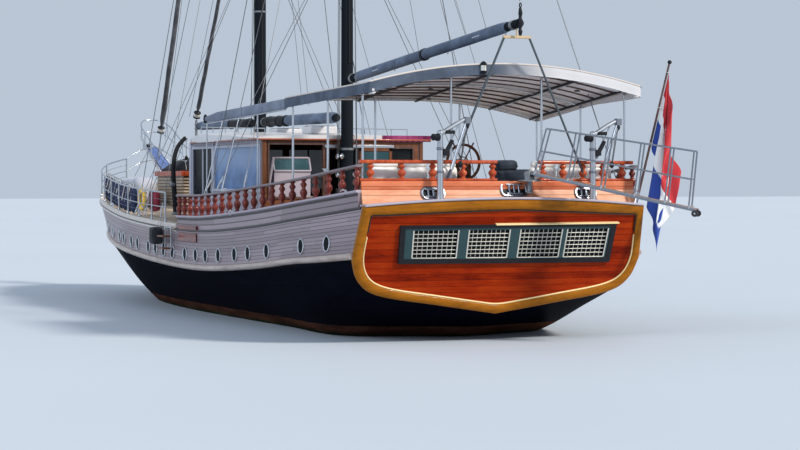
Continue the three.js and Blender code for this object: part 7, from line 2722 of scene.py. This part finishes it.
def make_stage():
    lines = steps_between(-FLOOR_HALF, FLOOR_HALF, 8)
    floor = Shape().grid([[Vector((x, y, 0)) for y in lines] for x in lines])
    paint = Paint("pale floor")
    cloud = paint.noise(paint.here(), 0.05, 2)
    paint.set(Base_Color=paint.mixed(cloud, [0.44, 0.49, 0.55], [0.48, 0.53, 0.59]),
              Roughness=cloud * 0.1 + 0.6)
    ground = piece("floor", floor, "pale floor", ride=False, closed=False)
    world = bpy.data.worlds.new("pale studio")
    world.use_nodes = True
    sky = world.node_tree.nodes["Background"]
    sky.inputs["Color"].default_value = (0.74, 0.85, 1.0, 1)
    sky.inputs["Strength"].default_value = 0.66
    bpy.context.scene.world = world
    make_sun("key", 3.9, (1.0, 0.93, 0.84), (0.62, 0.5, -0.6), 9)
    make_sun("fill", 1.0, (0.8, 0.88, 1.0), (0.3, -0.8, -0.5), 30)
    bpy.context.scene.view_settings.view_transform = "Standard"


# Panel and operators


def colour_choice(name, description, default):
    return bpy.props.FloatVectorProperty(name=name, description=description, default=default,
                                         subtype="COLOR", size=3, min=0, max=1)


class YachtLook(bpy.types.PropertyGroup):
    """Choices that the yacht's pieces are made by."""

    topside: colour_choice("Topsides", "Paint of the planked sides", (0.25, 0.193, 0.216))
    bottom: colour_choice("Bottom", "Paint under the rubbing strake", (0.0012, 0.0015, 0.004))
    varnish: colour_choice("Varnish", "Varnished wood of the transom", (0.27, 0.019, 0.0015))
    gilded: colour_choice("Frame", "Varnished frame round the transom", (0.29, 0.1, 0.005))
    spar: colour_choice("Spars", "Paint of the masts and booms", (0.006, 0.009, 0.013))
    canvas: colour_choice("Canvas", "Cloth of the canopy and the boom covers", (0.062, 0.082, 0.118))
    planks: bpy.props.IntProperty(name="Planks", description="Planks between the strake and the deck edge",
                                  default=11, min=4, max=20)
    seed: bpy.props.IntProperty(name="Seed", description="Where the boom covers' unevenness starts",
                                default=0, min=0)


class YachtFinishes(bpy.types.Operator):
    """Make the materials and the node trees"""

    bl_idname = "yacht.finishes"
    bl_label = "Materials"

    def execute(self, context):
        make_finishes(context.scene.yacht_look)
        TREES["repeat"] = repeat_tree()
        TREES["line"] = line_tree()
        return {"FINISHED"}


class YachtHull(bpy.types.Operator):
    """Build the planked hull, its strakes, bulwarks and toe rails"""

    bl_idname = "yacht.hull"
    bl_label = "Hull"

    def execute(self, context):
        make_hull(context.scene.yacht_look)
        make_strakes()
        make_bulwarks()
        make_toe_rails()
        return {"FINISHED"}


class YachtTransom(bpy.types.Operator):
    """Build the varnished transom with its windows, and the portholes"""

    bl_idname = "yacht.transom"
    bl_label = "Transom"

    def execute(self, context):
        make_transom()
        make_stern_windows()
        make_portholes()
        return {"FINISHED"}


class YachtRails(bpy.types.Operator):
    """Build the balustrades, the stern's panel, the foredeck rails and the bowsprit"""

    bl_idname = "yacht.rails"
    bl_label = "Rails"

    def execute(self, context):
        make_side_balustrades()
        make_stern_bulwark()
        make_stern_balustrades()
        make_fore_rails()
        make_bowsprit()
        return {"FINISHED"}


class YachtSpars(bpy.types.Operator):
    """Build the masts, the booms with their covers and the furled headsails"""

    bl_idname = "yacht.spars"
    bl_label = "Spars"

    def execute(self, context):
        make_masts()
        make_booms(context.scene.yacht_look.seed)
        make_headsails()
        return {"FINISHED"}


class YachtRigging(bpy.types.Operator):
    """Build the wires, the halyards and the booms' ropes"""

    bl_idname = "yacht.rigging"
    bl_label = "Rigging"

    def execute(self, context):
        make_rigging()
        make_boom_lines()
        return {"FINISHED"}


class YachtCanopy(bpy.types.Operator):
    """Build the canopy with its frame and the rolled side awning"""

    bl_idname = "yacht.canopy"
    bl_label = "Canopy"

    def execute(self, context):
        make_canopy()
        make_canopy_frame()
        make_side_awning()
        return {"FINISHED"}


class YachtHouse(bpy.types.Operator):
    """Build the deckhouse with its roof, windows, door and saloon"""

    bl_idname = "yacht.house"
    bl_label = "Deckhouse"

    def execute(self, context):
        make_house_walls()
        make_house_roof()
        make_door()
        make_house_inside()
        return {"FINISHED"}


class YachtSoftGoods(bpy.types.Operator):
    """Build the settees, fill every cushion and hang the flag"""

    bl_idname = "yacht.soft_goods"
    bl_label = "Cushions and flag"

    def execute(self, context):
        make_cushions()
        make_rolls_and_bags()
        fill_cushions()
        make_flag()
        return {"FINISHED"}


class YachtSternGear(bpy.types.Operator):
    """Build the davits, the gangplank, the helm and the fittings at the stern"""

    bl_idname = "yacht.stern_gear"
    bl_label = "Stern gear"

    def execute(self, context):
        make_davits()
        make_passerelle()
        make_helm()
        make_stern_fittings()
        return {"FINISHED"}


class YachtDeckGear(bpy.types.Operator):
    """Build the trunk, the crane, the fenders and what else stands on deck or hangs at the side"""

    bl_idname = "yacht.deck_gear"
    bl_label = "Deck gear"

    def execute(self, context):
        make_trunk()
        make_locker_cover()
        make_crane()
        make_fenders()
        make_lifebuoys()
        make_ladder()
        make_side_fender()
        make_windlass()
        make_underwater()
        return {"FINISHED"}


class YachtStage(bpy.types.Operator):
    """Set the camera, the floor and the light"""

    bl_idname = "yacht.stage"
    bl_label = "Stage"

    def execute(self, context):
        make_camera()
        make_stage()
        return {"FINISHED"}


class YachtPanel(bpy.types.Panel):
    """Lists the yacht's choices and the steps that build it"""

    bl_idname = "VIEW3D_PT_yacht"
    bl_label = "Motor sailing yacht"
    bl_space_type = "VIEW_3D"
    bl_region_type = "UI"
    bl_category = "Yacht"

    def draw(self, context):
        for choice in YachtLook.__annotations__:
            self.layout.prop(context.scene.yacht_look, choice)
        for step in STEPS:
            self.layout.operator(step.bl_idname)


STEPS = (YachtFinishes, YachtHull, YachtTransom, YachtRails, YachtSpars, YachtRigging, YachtCanopy,
         YachtHouse, YachtSternGear, YachtDeckGear, YachtSoftGoods, YachtStage)


def register():
    for part in (YachtLook, *STEPS, YachtPanel):
        bpy.utils.register_class(part)
    bpy.types.Scene.yacht_look = bpy.props.PointerProperty(type=YachtLook)


def unregister():
    del bpy.types.Scene.yacht_look
    for part in reversed((YachtLook, *STEPS, YachtPanel)):
        bpy.utils.unregister_class(part)


def main():
    register()
    for step in STEPS:
        group, name = step.bl_idname.split(".")
        getattr(getattr(bpy.ops, group), name)()
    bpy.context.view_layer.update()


if __name__ == "__main__":
    main()
